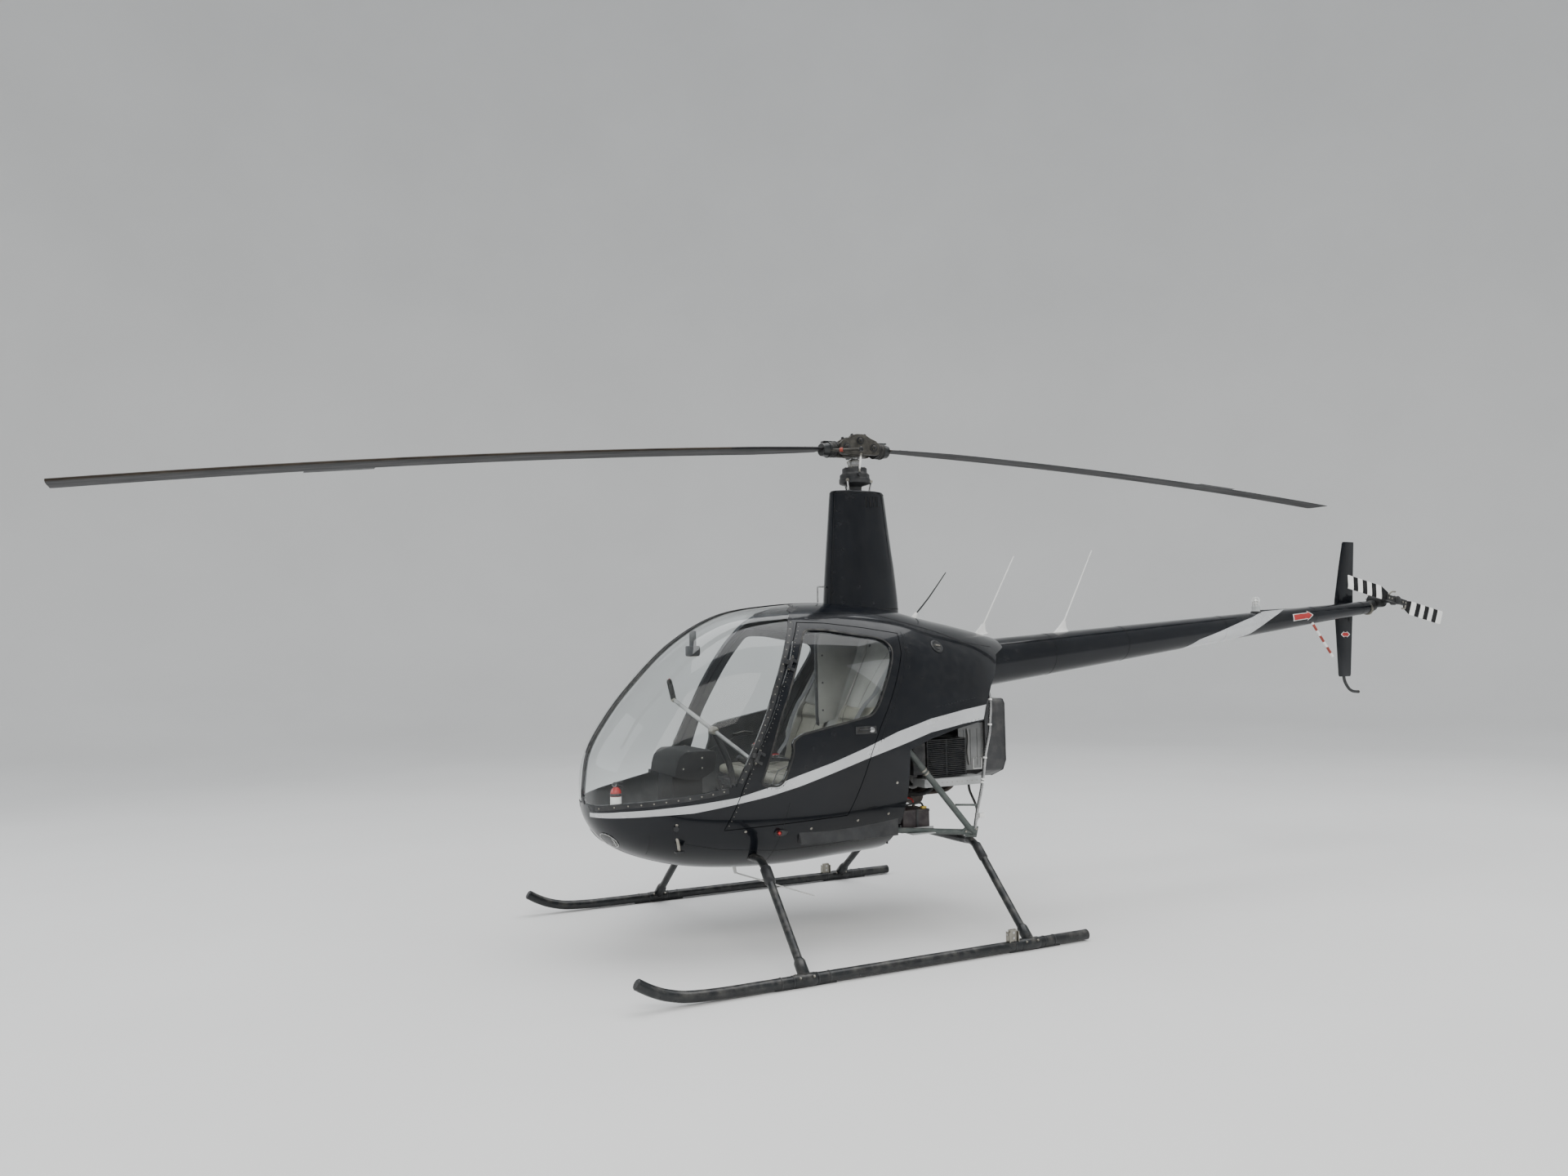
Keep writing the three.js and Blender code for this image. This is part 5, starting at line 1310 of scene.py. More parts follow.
def build_skids():
    """Skid tubes with shoes, saddles and handling lugs."""
    for name, side in SIDES:
        y = side * HALF_TREAD
        skid = Piece(f"skid_tube_{name}")
        run = [(x, y, z) for x, z in SKID_LINE]
        skid.tube(run, 0.025, GEAR, 28, 4)
        skid.tube([run[-1], (1.632, y, 0.124)], [0.0245, 0.021], GEAR, 28)
        skid.turned([(0, 0), (0.0255, 0), (0.0255, 0.008), (0, 0.009)], RUBBER, (-0.729, y, SKID_Z),
                    (-1, 0, 0), 24)
        for x0, x1 in ((-0.56, -0.26), (0.7, 1.0)):
            skid.block((x0, y - 0.012, 0.0002), (x1, y + 0.012, 0.0095), SATIN, 0.003)
            for x in np.linspace(x0 + 0.03, x1 - 0.03, 5):
                skid.turned([(0.0255, 0), (0.0268, 0.001), (0.0268, 0.007), (0.0255, 0.008)], SATIN,
                            (x, y, SKID_Z), (1, 0, 0), 24)
        for x in (-0.379, 0.854):
            skid.turned(collar(0.0253, 0.0285, 0.055, 0.049), GEAR, (x, y, SKID_Z), (1, 0, 0), 28)
            for dx in (-0.034, 0.034):
                for dy in (-0.024, 0.024):
                    skid.turned([(0.0055, -0.004), (0.0055, 0.006), (0, 0.0065)], ZINC,
                                (x + dx, y + dy, 0.046), (0, dy, 0.02), 6)
        skid.block((-0.3, y - 0.009, 0.04), (-0.26, y + 0.009, 0.11), ZINC, 0.002)
        for z in (0.07, 0.096):
            skid.turned([(0.006, -0.011), (0.006, 0.011)], STEEL, (-0.28, y, z), (0, 1, 0), 14)
        for dx in (-0.026, 0.026):
            skid.block((-0.28 + dx - 0.0025, y - 0.016, 0.052), (-0.28 + dx + 0.0025, y + 0.016, 0.1), ZINC,
                       0.001)
            skid.turned([(0.0045, -0.006), (0.0045, 0.006)], STEEL, (-0.28 + dx, y, 0.088), (1, 0, 0), 10)
        skid.done(f"skid_{name}")


def build_crosstubes():
    """Bent crosstubes with their sockets and sleeves."""
    # Left foot, knee and place at the belly
    tubes = {"front": ((0.854, HALF_TREAD, 0.04), (0.824, 0.47, 0.468), (0.82, 0.3, 0.462)),
             "rear": ((-0.379, HALF_TREAD, 0.04), (-0.418, 0.472, 0.452), (-0.44, 0.3, 0.44))}
    for name, (foot, knee, belly) in tubes.items():
        foot, knee, belly = (np.array(p) for p in (foot, knee, belly))
        left = [foot, foot + 0.5 * (knee - foot), foot + 0.82 * (knee - foot), foot + 0.92 * (knee - foot),
                knee + 0.1 * (belly - knee) + (0, 0, -0.006), knee + 0.35 * (belly - knee), belly]
        right = [p * (1, -1, 1) for p in left[::-1]]
        cross = Piece(f"crosstube_bar_{name}")
        cross.tube(left + right, 0.02, GEAR, 26, 5)
        for side in (1, -1):
            flip = np.array([1, side, 1])
            along = (knee - foot) * flip
            cross.turned([(0.0203, 0), (0.0275, 0.012), (0.0275, 0.075), (0.0203, 0.092)], GEAR,
                         (foot + (0, 0, 0.002)) * flip, along, 26)
            share, sleeve = SLEEVES[name]
            cross.turned(sleeve, SATIN, (foot + share * (knee - foot)) * flip, along, 26)
        cross.done(f"crosstube_{name}")


def build_truss():
    """Open truss beside the engine bay."""
    for name, side in SIDES:
        truss = Piece(f"truss_tubes_{name}")
        flip = np.array([1, side, 1])
        foot = np.array([-0.436, 0.44, 0.488])
        bars = [(foot, (-0.02, 0.4396, 0.969), 0.017),
                (foot + (-0.014, 0.002, 0.002), (0.0, 0.37, 0.529), 0.015)]
        if side < 0:
            bars.append(((-0.44, 0.44, 0.51), (-0.5, 0.4, 0.8), 0.009))
        for start, end, radius in bars:
            start, end = np.asarray(start) * flip, np.asarray(end) * flip
            truss.tube([start, end], radius, TRUSS, 22)
        diagonal = np.asarray(bars[0][1]) - foot
        for share in (0.7, 0.735):
            truss.turned(collar(0.0173, 0.0195, 0.006, 0.004), ZINC, (foot + share * diagonal) * flip,
                         diagonal * flip, 22)
        gusset = [(-0.47, 0.52), (-0.4, 0.53), (-0.36, 0.505), (-0.395, 0.468), (-0.455, 0.462)]
        truss.slab(gusset, side * 0.434, side * 0.444, TRUSS, 0.002)
        for x, z in ((-0.452, 0.508), (-0.418, 0.512), (-0.385, 0.5)):
            truss.turned(bolt_head(0.006, 0.005, 0.0055), ZINC, (x, side * 0.444, z), (0, side, 0), 6)
        truss.done(f"truss_{name}")


# Lines, rivets and straps
def seam(piece, line, radius=0.0013, mat=SEAM_AND_SHADE, proud=0.0, sides=(1, -1), closed=False):
    """Round bead along a side-view line on the body, on each of the sides."""
    points = dense(line, 18, closed)
    if closed:
        points = np.concatenate([points, points[:1]])
    for side in sides:
        spots, _ = on_body(points, proud, side)
        piece.tube(spots, radius, mat, 6)


def rivets(piece, line, pitch, radius=0.0028, height=0.001, mat=SATIN, sides=(1, -1), proud=0.0, heads=6):
    """Row of heads on the body along a side-view line, a pitch apart, in mm."""
    line = np.asarray(line, float)
    lengths = np.concatenate([[0], np.cumsum(np.linalg.norm(np.diff(line, axis=0), axis=1))])
    along = np.arange(pitch / 2, lengths[-1], pitch)
    points = np.column_stack([np.interp(along, lengths, line[:, k]) for k in (0, 1)])
    for side in sides:
        spots, normals = on_body(points, proud, side)
        piece.studs(spots, normals, radius, height, mat, heads)


def band(piece, line, width, mat, proud, thick=0.0015, sides=(1, -1)):
    """Flat strip of a width in mm on the body, centred on a side-view line."""
    line = dense(line, 20, False)
    way = np.gradient(line, axis=0)
    across = np.stack([-way[:, 1], way[:, 0]], 1) / np.linalg.norm(way, axis=1)[:, None] * width / 2
    for side in sides:
        rows = [on_body(line + across * s, proud - d, side)
                for s, d in ((-1, thick), (-0.9, 0), (0.9, 0), (1, thick))]
        rings = np.stack([spots for spots, _ in rows], 1)
        piece.add(rings.reshape(-1, 3), faced(grid_faces(len(line), 4), -side), mat)


def ribbon(piece, points, width, across, mat, thick=0.002, steps=4):
    """Flat webbing along points; across is its width direction, or one for each point."""
    path, _ = curve(points, 0.0, steps)
    given = np.broadcast_to(np.asarray(across, float), (len(points), 3))
    share = np.linspace(0, len(points) - 1, len(path))
    side = np.column_stack([np.interp(share, range(len(points)), given[:, k]) for k in range(3)])
    tangent = np.gradient(path, axis=0)
    tangent /= np.linalg.norm(tangent, axis=1)[:, None]
    side -= np.sum(side * tangent, axis=1)[:, None] * tangent
    side /= np.linalg.norm(side, axis=1)[:, None]
    up = np.cross(tangent, side)
    corners = [(-0.5, 0), (-0.47, 0.5), (0.47, 0.5), (0.5, 0), (0.47, -0.5), (-0.47, -0.5)]
    rings = [p + a * width * s + thick * b * u for p, s, u in zip(path, side, up) for a, b in corners]
    piece.add(np.array(rings), ring_faces(len(path), len(corners)), mat)


def body_half(x, z, inset=0.0):
    """Half width of the body in metres at a station and a height in metres."""
    spots, _ = on_body([(x * 1000, z * 1000)])
    return max(0.002, float(spots[0][1]) - inset)


FLOOR, FIREWALL = 0.5203, 0.048
# Line of the cowl's front face, which is the bulkhead behind the seats, as (z, x)
BULKHEAD_FACE = [(0.904, 0.192), (1.01, 0.196), (1.088, 0.167), (1.189, 0.111), (1.331, 0.041),
                 (1.456, -0.017), (1.58, -0.037), (1.8, -0.055)]


def bulkhead_x(z):
    """Station of the bulkhead's face at a height."""
    return float(np.interp(z, [a for a, _ in BULKHEAD_FACE], [b for _, b in BULKHEAD_FACE]))


def build_lining():
    """Floor and firewall, with the firewall's stiffeners."""
    lining = Piece("cabin_floor_and_firewall")
    stations = np.linspace(FIREWALL, 1.405, 30)
    rows = [[(x, s * body_half(x, FLOOR, 0.0135), FLOOR) for s in np.linspace(1, -1, 9)] for x in stations]
    lining.add(np.array(rows).reshape(-1, 3), grid_faces(30, 9), CARPET)
    heights = np.linspace(0.4, 0.948, 24)
    for x, way in ((FIREWALL, 1), (0.0215, -1)):
        sheet = np.array([[(x, s * body_half(x, z, 0.013), z) for s in np.linspace(1, -1, 7)]
                          for z in heights])
        lining.add(sheet.reshape(-1, 3), faced(grid_faces(24, 7), way), SATIN)
    for z in (0.56, 0.7, 0.84):
        lining.block((0.0135, -0.44, z - 0.006), (0.0215, 0.44, z + 0.006), SATIN, 0.002)
    for y in (-0.3, -0.1, 0.1, 0.3):
        lining.block((0.014, y - 0.006, 0.45), (0.0215, y + 0.006, 0.94), SATIN, 0.002)
    for y in np.linspace(-0.42, 0.42, 15):
        lining.studs([(0.0134, y, z) for z in (0.56, 0.7, 0.84)], [(-1, 0, 0)] * 3, 0.003, 0.0015, ZINC)
    lining.done()


def build_keel_panel():
    """Panel between the seat backs, with its edge trim."""
    keel = Piece("centre_keel_panel")
    outline = [(bulkhead_x(1.1) + 0.002, 1.1), (0.255, 1.075), (0.262, 1.12), (0.262, 1.53), (0.235, 1.585),
               (-0.03, 1.6)]
    keel.slab(outline, -0.011, 0.011, BULKHEAD, 0.003)
    keel.tube([(0.258, 0, 1.076), (0.2645, 0, 1.12), (0.2645, 0, 1.53), (0.25, 0, 1.572),
               (0.236, 0, 1.588)], 0.008, SATIN, 12, 1, squash=1.5)
    for side in (1, -1):
        for z in (1.15, 1.3, 1.45):
            keel.studs([(0.235, side * 0.0112, z)], [(0, side, 0)], 0.006, 0.002, SATIN, 12)
    keel.done()


def build_bulkhead_trim():
    trim = Piece("bulkhead_trim")
    for side in (1, -1):
        border = rounded([(0.055, 1.055), (0.055, 1.545), (0.23, 1.56), (0.375, 1.5), (0.435, 1.3),
                          (0.455, 1.055)], 0.07, 8)

        def face(y, z, off):
            return bulkhead_x(z) + off, side * y, z

        loop = dense(border, 0.02)
        trim.tube([face(y, z, 0.006) for y, z in [*loop, loop[0]]], 0.006, BULKHEAD, 8)
        arc = [(0.36 - 0.17 * math.cos(a), 1.06 + 0.43 * math.sin(a)) for a in np.linspace(0.05, 1.75, 16)]
        trim.tube([face(y, z, 0.003) for y, z in arc], 0.0035, BULKHEAD, 8)
        for y, z in ((0.09, 1.5), (0.4, 1.32), (0.42, 1.1), (0.09, 1.1)):
            trim.turned([(0.009, 0), (0.009, 0.002), (0.004, 0.004), (0, 0.004)], SATIN, face(y, z, 0.001),
                        (1, 0, 0.4), 16)
    trim.done()


def build_seat_base():
    """Two seat boxes with their front panels."""
    base = Piece("seat_base_box")
    for side in (1, -1):
        outline = [(0.049, FLOOR), (0.608, FLOOR), (0.667, 0.771), (0.662, 0.7745), (0.049, 0.7745)]
        base.slab(outline, side * 0.031, side * 0.468, SATIN, 0.004)
        front = aimed((0.642, side * 0.25, 0.655), (0.973, 0, -0.229), (0, 1, 0))
        base.block((-0.17, -0.085, 0.0), (0.17, 0.085, 0.004), PANEL, 0.003, front)
        for u, v in ((-0.155, -0.07), (0.155, -0.07), (-0.155, 0.07), (0.155, 0.07)):
            base.turned([(0.006, 0.004), (0.006, 0.006), (0, 0.0065)], ZINC, (u, v, 0), (0, 0, 1), 12,
                        front)
    base.slab([(0.049, FLOOR), (0.4, FLOOR), (0.44, 0.7), (0.049, 0.74)], -0.0305, 0.0305, SATIN, 0.003)
    base.done("seat_base")


def build_console():
    """Console with dials, radio stack, switches and vents."""
    console = Piece("instrument_console_shell")
    post = [(1.15, FLOOR), (1.15, 0.86), (1.12, 0.965), (0.96, 0.972), (0.952, 0.905), (0.985, 0.84),
            (0.994, FLOOR)]
    head = [(1.164, 0.862), (1.158, 0.905), (1.146, 0.946), (1.128, 0.968), (1.105, 0.9835), (1.03, 0.9845),
            (0.955, 0.9835), (0.941, 0.97), (0.937, 0.95), (0.951, 0.882), (1.0, 0.855), (1.05, 0.837),
            (1.12, 0.848)]
    console.slab(post, -0.109, 0.109, PANEL, 0.004)
    console.slab(head, -0.189, 0.189, PANEL, 0.008)
    face = aimed((0.9425, 0, 0.917), (-0.979, 0, -0.2), (0, 1, 0))
    console.block((-0.172, -0.031, -0.002), (0.172, 0.031, 0.0015), SATIN, 0.001, face)
    dial(console, face, [(-0.138, 0), (-0.069, 0), (0.0, 0), (0.069, 0), (0.138, 0)], 0.0285)
    stack = aimed((0.9905, 0, 0.7), (-1, 0, -0.02), (0, 1, 0))
    for v, tall in ((0.085, 0.04), (0.036, 0.04), (-0.013, 0.04), (-0.065, 0.045)):
        console.block((-0.088, v - tall / 2, -0.002), (0.088, v + tall / 2, 0.006), SATIN, 0.002, stack)
        console.block((-0.045, v - tall * 0.28, 0.0055), (0.045, v + tall * 0.28, 0.0068), SCREEN, 0.0005,
                      stack)
        for u in (-0.068, 0.068):
            console.turned([(0.0095, 0.005), (0.0095, 0.014), (0.0075, 0.017), (0, 0.017)], RUBBER,
                           (u, v, 0), (0, 0, 1), 18, stack)
    for u in np.linspace(-0.08, 0.08, 7):
        console.turned([(0.004, 0), (0.004, 0.004), (0.0022, 0.005), (0.0018, 0.016), (0, 0.0165)], STEEL,
                       (u, -0.118, 0), (0, 0.15, 1), 10, stack)
    for x in (0.975, 1.085):
        for y in (-0.172, 0.172):
            console.turned(bolt_head(0.005, 0.0013, 0.0016), ZINC, (x, y, 0.9845), (0, 0, 1), 12)
    for side in (1, -1):
        for x, z in ((1.02, 0.9), (1.12, 0.9), (1.02, 0.95)):
            console.studs([(x, side * 0.1888, z)], [(0, side, 0)], 0.005, 0.0015, ZINC, 10)
        vent = aimed((1.07, side * 0.109, 0.66), (0, side, 0), (1, 0, 0))
        for k in range(6):
            console.block((-0.045, -0.03 + 0.012 * k, 0), (0.045, -0.024 + 0.012 * k, 0.003), SATIN, 0.001,
                          vent)
    console.done("instrument_console")


def build_cyclic():
    """Control column with its tipped cross bar and grips."""
    controls = Piece("flight_controls")
    pivot, reach = np.array([0.88, 0, 1.07]), np.array([0.115, -0.3, 0.16])
    column = [(0.76, 0, FLOOR), (0.7615, 0, 0.6), (0.765, 0, 0.7), (0.772, 0, 0.8), (0.797, 0, 0.9),
              (0.838, 0, 0.99), (0.874, 0, 1.058)]
    controls.tube(column, 0.0168, SATIN, 20, 4)
    controls.turned([(0.034, 0), (0.036, 0.01), (0.028, 0.05), (0.022, 0.085), (0.019, 0.12)], RUBBER,
                    (0.76, 0, FLOOR), (0, 0, 1), 28)
    controls.turned(collar(0.01, 0.021, 0.026, 0.024), ZINC, pivot, (0, 1, 0), 24)
    controls.tube([pivot - reach, pivot - reach * 0.5, pivot + reach * 0.5, pivot + reach], 0.0108, ALLOY,
                  18)
    for share in (-1, 1):
        low, high = pivot + reach * share * 0.97, pivot + reach * share + np.array([0.02, 0, 0.105])
        spots = [low + (high - low) / 8 * k for k in range(9)]
        controls.tube(spots, [0.0142, 0.0155, 0.0146, 0.0158, 0.0148, 0.0158, 0.0146, 0.0152, 0.011],
                      RUBBER, 18, 3)
        controls.turned(bolt_head(0.005, 0.004, 0.005), RED, high + (-0.003, 0, 0), high - low, 14)
        controls.turned(collar(0.013, 0.0145, 0.011, 0.008), ZINC, low, reach, 20)
    controls.done("cyclic_bar")


def build_levers():
    """Collective lever and pedals."""
    levers = Piece("collective_and_pedals")
    levers.tube([(0.45, 0, 0.7), (0.5, 0, 0.765), (0.56, 0, 0.812), (0.63, 0, 0.855)], 0.0105, SATIN, 16, 4)
    levers.tube([(0.622, 0, 0.85), (0.66, 0, 0.873), (0.7, 0, 0.898), (0.735, 0, 0.918)],
                [0.0135, 0.016, 0.016, 0.0155], RUBBER, 20, 3)
    levers.turned([(0, 0), (0.0155, 0.001), (0.015, 0.008), (0.009, 0.012), (0, 0.013)], SATIN,
                  (0.7345, 0, 0.9175), (0.035, 0, 0.021), 18)
    levers.block((0.43, -0.022, 0.695), (0.505, 0.022, 0.712), SATIN, 0.003)
    for side in (1, -1):
        for y in (0.2, 0.35):
            pedal = [(1.205, side * y, FLOOR), (1.215, side * y, 0.58), (1.235, side * y, 0.64)]
            levers.tube(pedal, 0.008, ZINC, 12, 3)
            levers.tube([(1.237, side * y - 0.045, 0.643), (1.237, side * y + 0.045, 0.643)], 0.0115,
                        RUBBER, 16)
            for end in (-0.045, 0.045):
                levers.turned(collar(0, 0.013, 0.002, 0.002), SATIN, (1.237, side * y + end, 0.643),
                              (0, 1, 0), 18)
            levers.block((1.185, side * y - 0.016, FLOOR), (1.228, side * y + 0.016, FLOOR + 0.01), SATIN,
                         0.003)
    levers.done()


def build_compass():
    compass = Piece("compass_on_bracket")
    compass.block((0.958, -0.029, 1.4585), (1.022, 0.029, 1.513), SATIN, 0.008)
    compass.block((0.9555, -0.02, 1.468), (0.9595, 0.02, 1.503), SCREEN, 0.002)
    compass.block((0.974, -0.014, 1.51), (1.004, 0.014, 1.59), SATIN, 0.003)
    compass.turned([(0.0285, 0), (0.0295, 0.002), (0.0285, 0.004)], ZINC, (0.99, 0, 1.4605), (0, 0, -1), 24)
    compass.done()


def dial(piece, face, places, radius):
    """Round instruments on a face: bezel, dark dial, needle and glass."""
    for index, place in enumerate(np.array(places)):
        u, v = place
        bezel = [(radius, 0.001), (radius, 0.005), (radius * 0.93, 0.0064), (radius * 0.84, 0.0064),
                 (radius * 0.82, 0.004)]
        piece.turned([(0, 0.001), *bezel, (0, 0.0038)], SATIN, (u, v, 0), (0, 0, 1), 32, face)
        piece.turned([(radius * 0.8, 0.0042), (0, 0.0043)], SCREEN, (u, v, 0), (0, 0, 1), 32, face)
        for k in range(12):
            turn = math.radians(30 * k)
            out = np.array([math.cos(turn), math.sin(turn)])
            a, b = place + out * radius * 0.62, place + out * radius * 0.76
            piece.tube([(*a, 0.0046), (*b, 0.0046)], 0.0005, WHITE, 4, matrix=face)
        turn = math.radians(50 + 67 * index)
        tip = place + np.array([math.cos(turn), math.sin(turn)]) * radius * 0.6
        piece.tube([(u, v, 0.0048), (*tip, 0.0048)], [0.0011, 0.0004], WHITE, 6, matrix=face)


# Seats: cloth is blown up inside a cap, then piping and channels are sewn on
def blown(name, outline, y_low, y_high, voxel=0.006, pressure=4.0, cap=0.024, pull=None):
    """Vertices and faces of a cushion: a side outline, swollen. pull(points) tells where it is sewn down."""
    start = Piece(name)
    start.slab(outline, y_low, y_high, LEATHER, 0.012)
    item = start.done()
    modifier = item.modifiers.new("remesh", "REMESH")
    modifier.mode, modifier.voxel_size = "VOXEL", voxel
    apply_modifiers(item)
    rest = np.array([v.co for v in item.data.vertices])
    held = item.vertex_groups.new(name="held")
    held.add([int(i) for i in np.nonzero(pull(rest - ORIGIN))[0]], 1.0, "REPLACE")
    cloth = item.modifiers.new("cloth", "CLOTH")
    settings = cloth.settings
    settings.quality = 4
    settings.use_pressure, settings.uniform_pressure_force = True, pressure
    settings.effector_weights.gravity = 0
    settings.vertex_group_mass = "held"
    settings.tension_stiffness = settings.compression_stiffness = settings.shear_stiffness = 12
    settings.bending_stiffness = 0.6
    cloth.point_cache.frame_start, cloth.point_cache.frame_end = 1, 20
    scene = bpy.context.scene
    for number in range(1, 21):
        scene.frame_set(number)
    made = item.evaluated_get(bpy.context.evaluated_depsgraph_get()).to_mesh()
    moved = np.array([v.co for v in made.vertices]) - rest
    item.evaluated_get(bpy.context.evaluated_depsgraph_get()).to_mesh_clear()
    item.modifiers.remove(cloth)
    scene.frame_set(1)
    far = np.linalg.norm(moved, axis=1)
    moved *= np.minimum(1.0, cap / np.maximum(far, 1e-9))[:, None]
    item.data.vertices.foreach_set("co", (rest + moved).ravel())
    smooth = item.modifiers.new("smooth", "SMOOTH")
    smooth.iterations, smooth.factor = 6, 0.5
    apply_modifiers(item)
    verts = np.array([v.co for v in item.data.vertices]) - ORIGIN
    faces = [list(p.vertices) for p in item.data.polygons]
    bpy.data.objects.remove(item)
    return verts, faces


def apply_modifiers(item):
    """Puts what an object's modifiers make into its mesh."""
    depsgraph = bpy.context.evaluated_depsgraph_get()
    made = bpy.data.meshes.new_from_object(item.evaluated_get(depsgraph))
    item.modifiers.clear()
    item.data = made


def stitched(points, lines, width):
    """True for points within a width of one of the lines, each a (point, direction) pair."""
    near = np.zeros(len(points), bool)
    for at, way in lines:
        way = np.asarray(way, float) / np.linalg.norm(way)
        gap = points - np.asarray(at, float)
        near |= np.linalg.norm(gap - np.outer(gap @ way, way), axis=1) < width
    return near


def drop_on(verts, point, way):
    """Point moved against a direction onto the nearest part of a cloud of points."""
    way = np.asarray(way, float) / np.linalg.norm(way)
    gap = verts - point
    beside = np.linalg.norm(gap - np.outer(gap @ way, way), axis=1)
    near = beside < 0.009
    if not near.any():
        return None
    return point + way * np.max((gap @ way)[near])


CUSHION = [(0.232, 0.792), (0.64, 0.789), (0.676, 0.806), (0.67, 0.842), (0.628, 0.852), (0.24, 0.826)]
BACK = [(0.232, 0.85), (0.272, 0.857), (0.224, 1.006), (0.146, 1.172), (0.129, 1.195), (0.124, 1.188),
        (0.216, 1.0)]
SEAT_INNER, SEAT_OUTER = 0.052, 0.438
SEAT_MIDDLE = (SEAT_INNER + SEAT_OUTER) / 2
BACK_UP = np.array([-0.42, 0, 0.907])
BACK_OUT = np.array([0.907, 0, 0.42])


def sew(piece, verts, points, way, flip, radius=0.0022):
    """Piping laid on a pad, where points moved against a direction meet it."""
    line = [drop_on(verts, point, way) for point in points]
    piece.tube(np.array([p for p in line if p is not None]) * flip, radius, PIPING, 8)


def build_piping(name, flip, cushion, back):
    """Piping on a cushion and a seat back, which are given by their points."""
    inner, outer, middle = SEAT_INNER, SEAT_OUTER, SEAT_MIDDLE
    sewn = Piece(f"seat_piping_{name}")
    for y in (middle - 0.095, middle + 0.095):
        sew(sewn, cushion, [np.array([x, y, 0.8]) for x in np.linspace(0.27, 0.64, 20)], (0, 0, 1), flip)
    for y in (middle - 0.09, middle + 0.09):
        foot = np.array([0.225, y, 0.9])
        sew(sewn, back, [foot + BACK_UP * u for u in np.linspace(0.02, 0.28, 16)], BACK_OUT, flip)
    across = [np.array([0.225, y, 0.9]) + BACK_UP * 0.205
              for y in np.linspace(middle - 0.16, middle + 0.16, 20)]
    sew(sewn, back, across, BACK_OUT, flip)
    rim = [np.array([0.628, y, 0.8]) for y in np.linspace(inner + 0.012, outer - 0.012, 22)]
    sew(sewn, cushion, rim, (0, 0, 1), flip, 0.0026)
    sewn.done()


def build_harness(name, side):
    """Shoulder and lap belt with the buckle."""
    inner, outer, middle = SEAT_INNER, SEAT_OUTER, SEAT_MIDDLE
    flip = np.array([1, side, 1])
    belts = Piece(f"harness_{name}")
    y, wall = outer - 0.05, bulkhead_x(1.42)
    path = [(wall + 0.01, y, 1.42), (0.075, y, 1.33), (0.128, y - 0.004, 1.245), (0.187, y - 0.012, 1.185),
            (0.247, y - 0.03, 1.08), (0.287, y - 0.045, 0.97), (0.33, y - 0.02, 0.892)]
    ribbon(belts, np.array(path) * flip, 0.045, np.array([0, 1, 0]) * flip, BELT, 0.0022, 6)
    lap = [(0.262, inner + 0.006, 0.862), (0.33, inner + 0.055, 0.882), (0.385, middle - 0.06, 0.884),
           (0.415, middle, 0.886), (0.4, middle + 0.07, 0.884), (0.345, outer - 0.07, 0.884),
           (0.27, outer - 0.004, 0.862)]
    ribbon(belts, np.array(lap) * flip, 0.045, np.array([1, 0, 0.1]), BELT, 0.0022, 6)
    buckle = aimed(np.array([0.413, middle - 0.005, 0.888]) * flip, (0.05, 0, 1), (0, 1, 0))
    belts.block((-0.032, -0.026, 0), (0.032, 0.026, 0.013), STEEL, 0.004, buckle)
    belts.block((-0.02, -0.018, 0.012), (0.02, 0.018, 0.0155), RED, 0.002, buckle)
    belts.block((wall - 0.001, side * y - 0.03, 1.405), (wall + 0.012, side * y + 0.03, 1.437), ZINC, 0.003)
    belts.done()


def build_seats():
    """Padded cushions and backs with piping and belts."""
    inner, outer, middle = SEAT_INNER, SEAT_OUTER, SEAT_MIDDLE
    channels = [((0.45, middle - 0.095, 0.845), (1, 0, 0)), ((0.45, middle + 0.095, 0.845), (1, 0, 0)),
                ((0.4, middle, 0.838), (0, 1, 0))]
    ribs = [((0.225, middle - 0.09, 1.03), BACK_UP), ((0.225, middle + 0.09, 1.03), BACK_UP),
            ((0.192, middle, 1.09), (0, 1, 0))]

    def cushion_held(p):
        sewn_down = stitched(p, channels, 0.01) & (p[:, 2] > 0.81) & (np.abs(p[:, 1] - middle) < 0.16)
        return sewn_down | (p[:, 2] < 0.7935)

    def back_held(p):
        sewn_down = stitched(p, ribs, 0.011) & ((p - (0.216, 0, 1.0)) @ BACK_OUT > 0.008)
        return sewn_down | ((p - (0.21, 0, 1.0)) @ BACK_OUT < 0.0)

    cushion = blown("seat_cushion_form", CUSHION, inner, outer, pull=cushion_held)
    back = blown("seat_back_form", BACK, inner + 0.004, outer - 0.012, pull=back_held)
    for name, side in SIDES:
        flip = np.array([1, side, 1])
        for label, (verts, faces), node in (("cushion", cushion, f"seat_cushion_{name}"),
                                            ("back", back, f"seat_back_{name}")):
            pad = Piece(f"padded_{label}_{name}")
            pad.add(verts * flip, faced(faces, side), LEATHER)
            item = pad.done(node, 60)
            more = item.modifiers.new("finer", "SUBSURF")
            more.levels = more.render_levels = 1
            apply_modifiers(item)
        build_piping(name, flip, cushion[0], back[0])
        build_harness(name, side)


# Outside of the cabin: frames, seams, handles and lamps
HINGE_UPPER, HINGE_LOWER = np.array([0.662, 0.488, 1.418]), np.array([0.877, 0.555, 0.976])
HINGE_AXIS = (HINGE_LOWER - HINGE_UPPER) / np.linalg.norm(HINGE_LOWER - HINGE_UPPER)


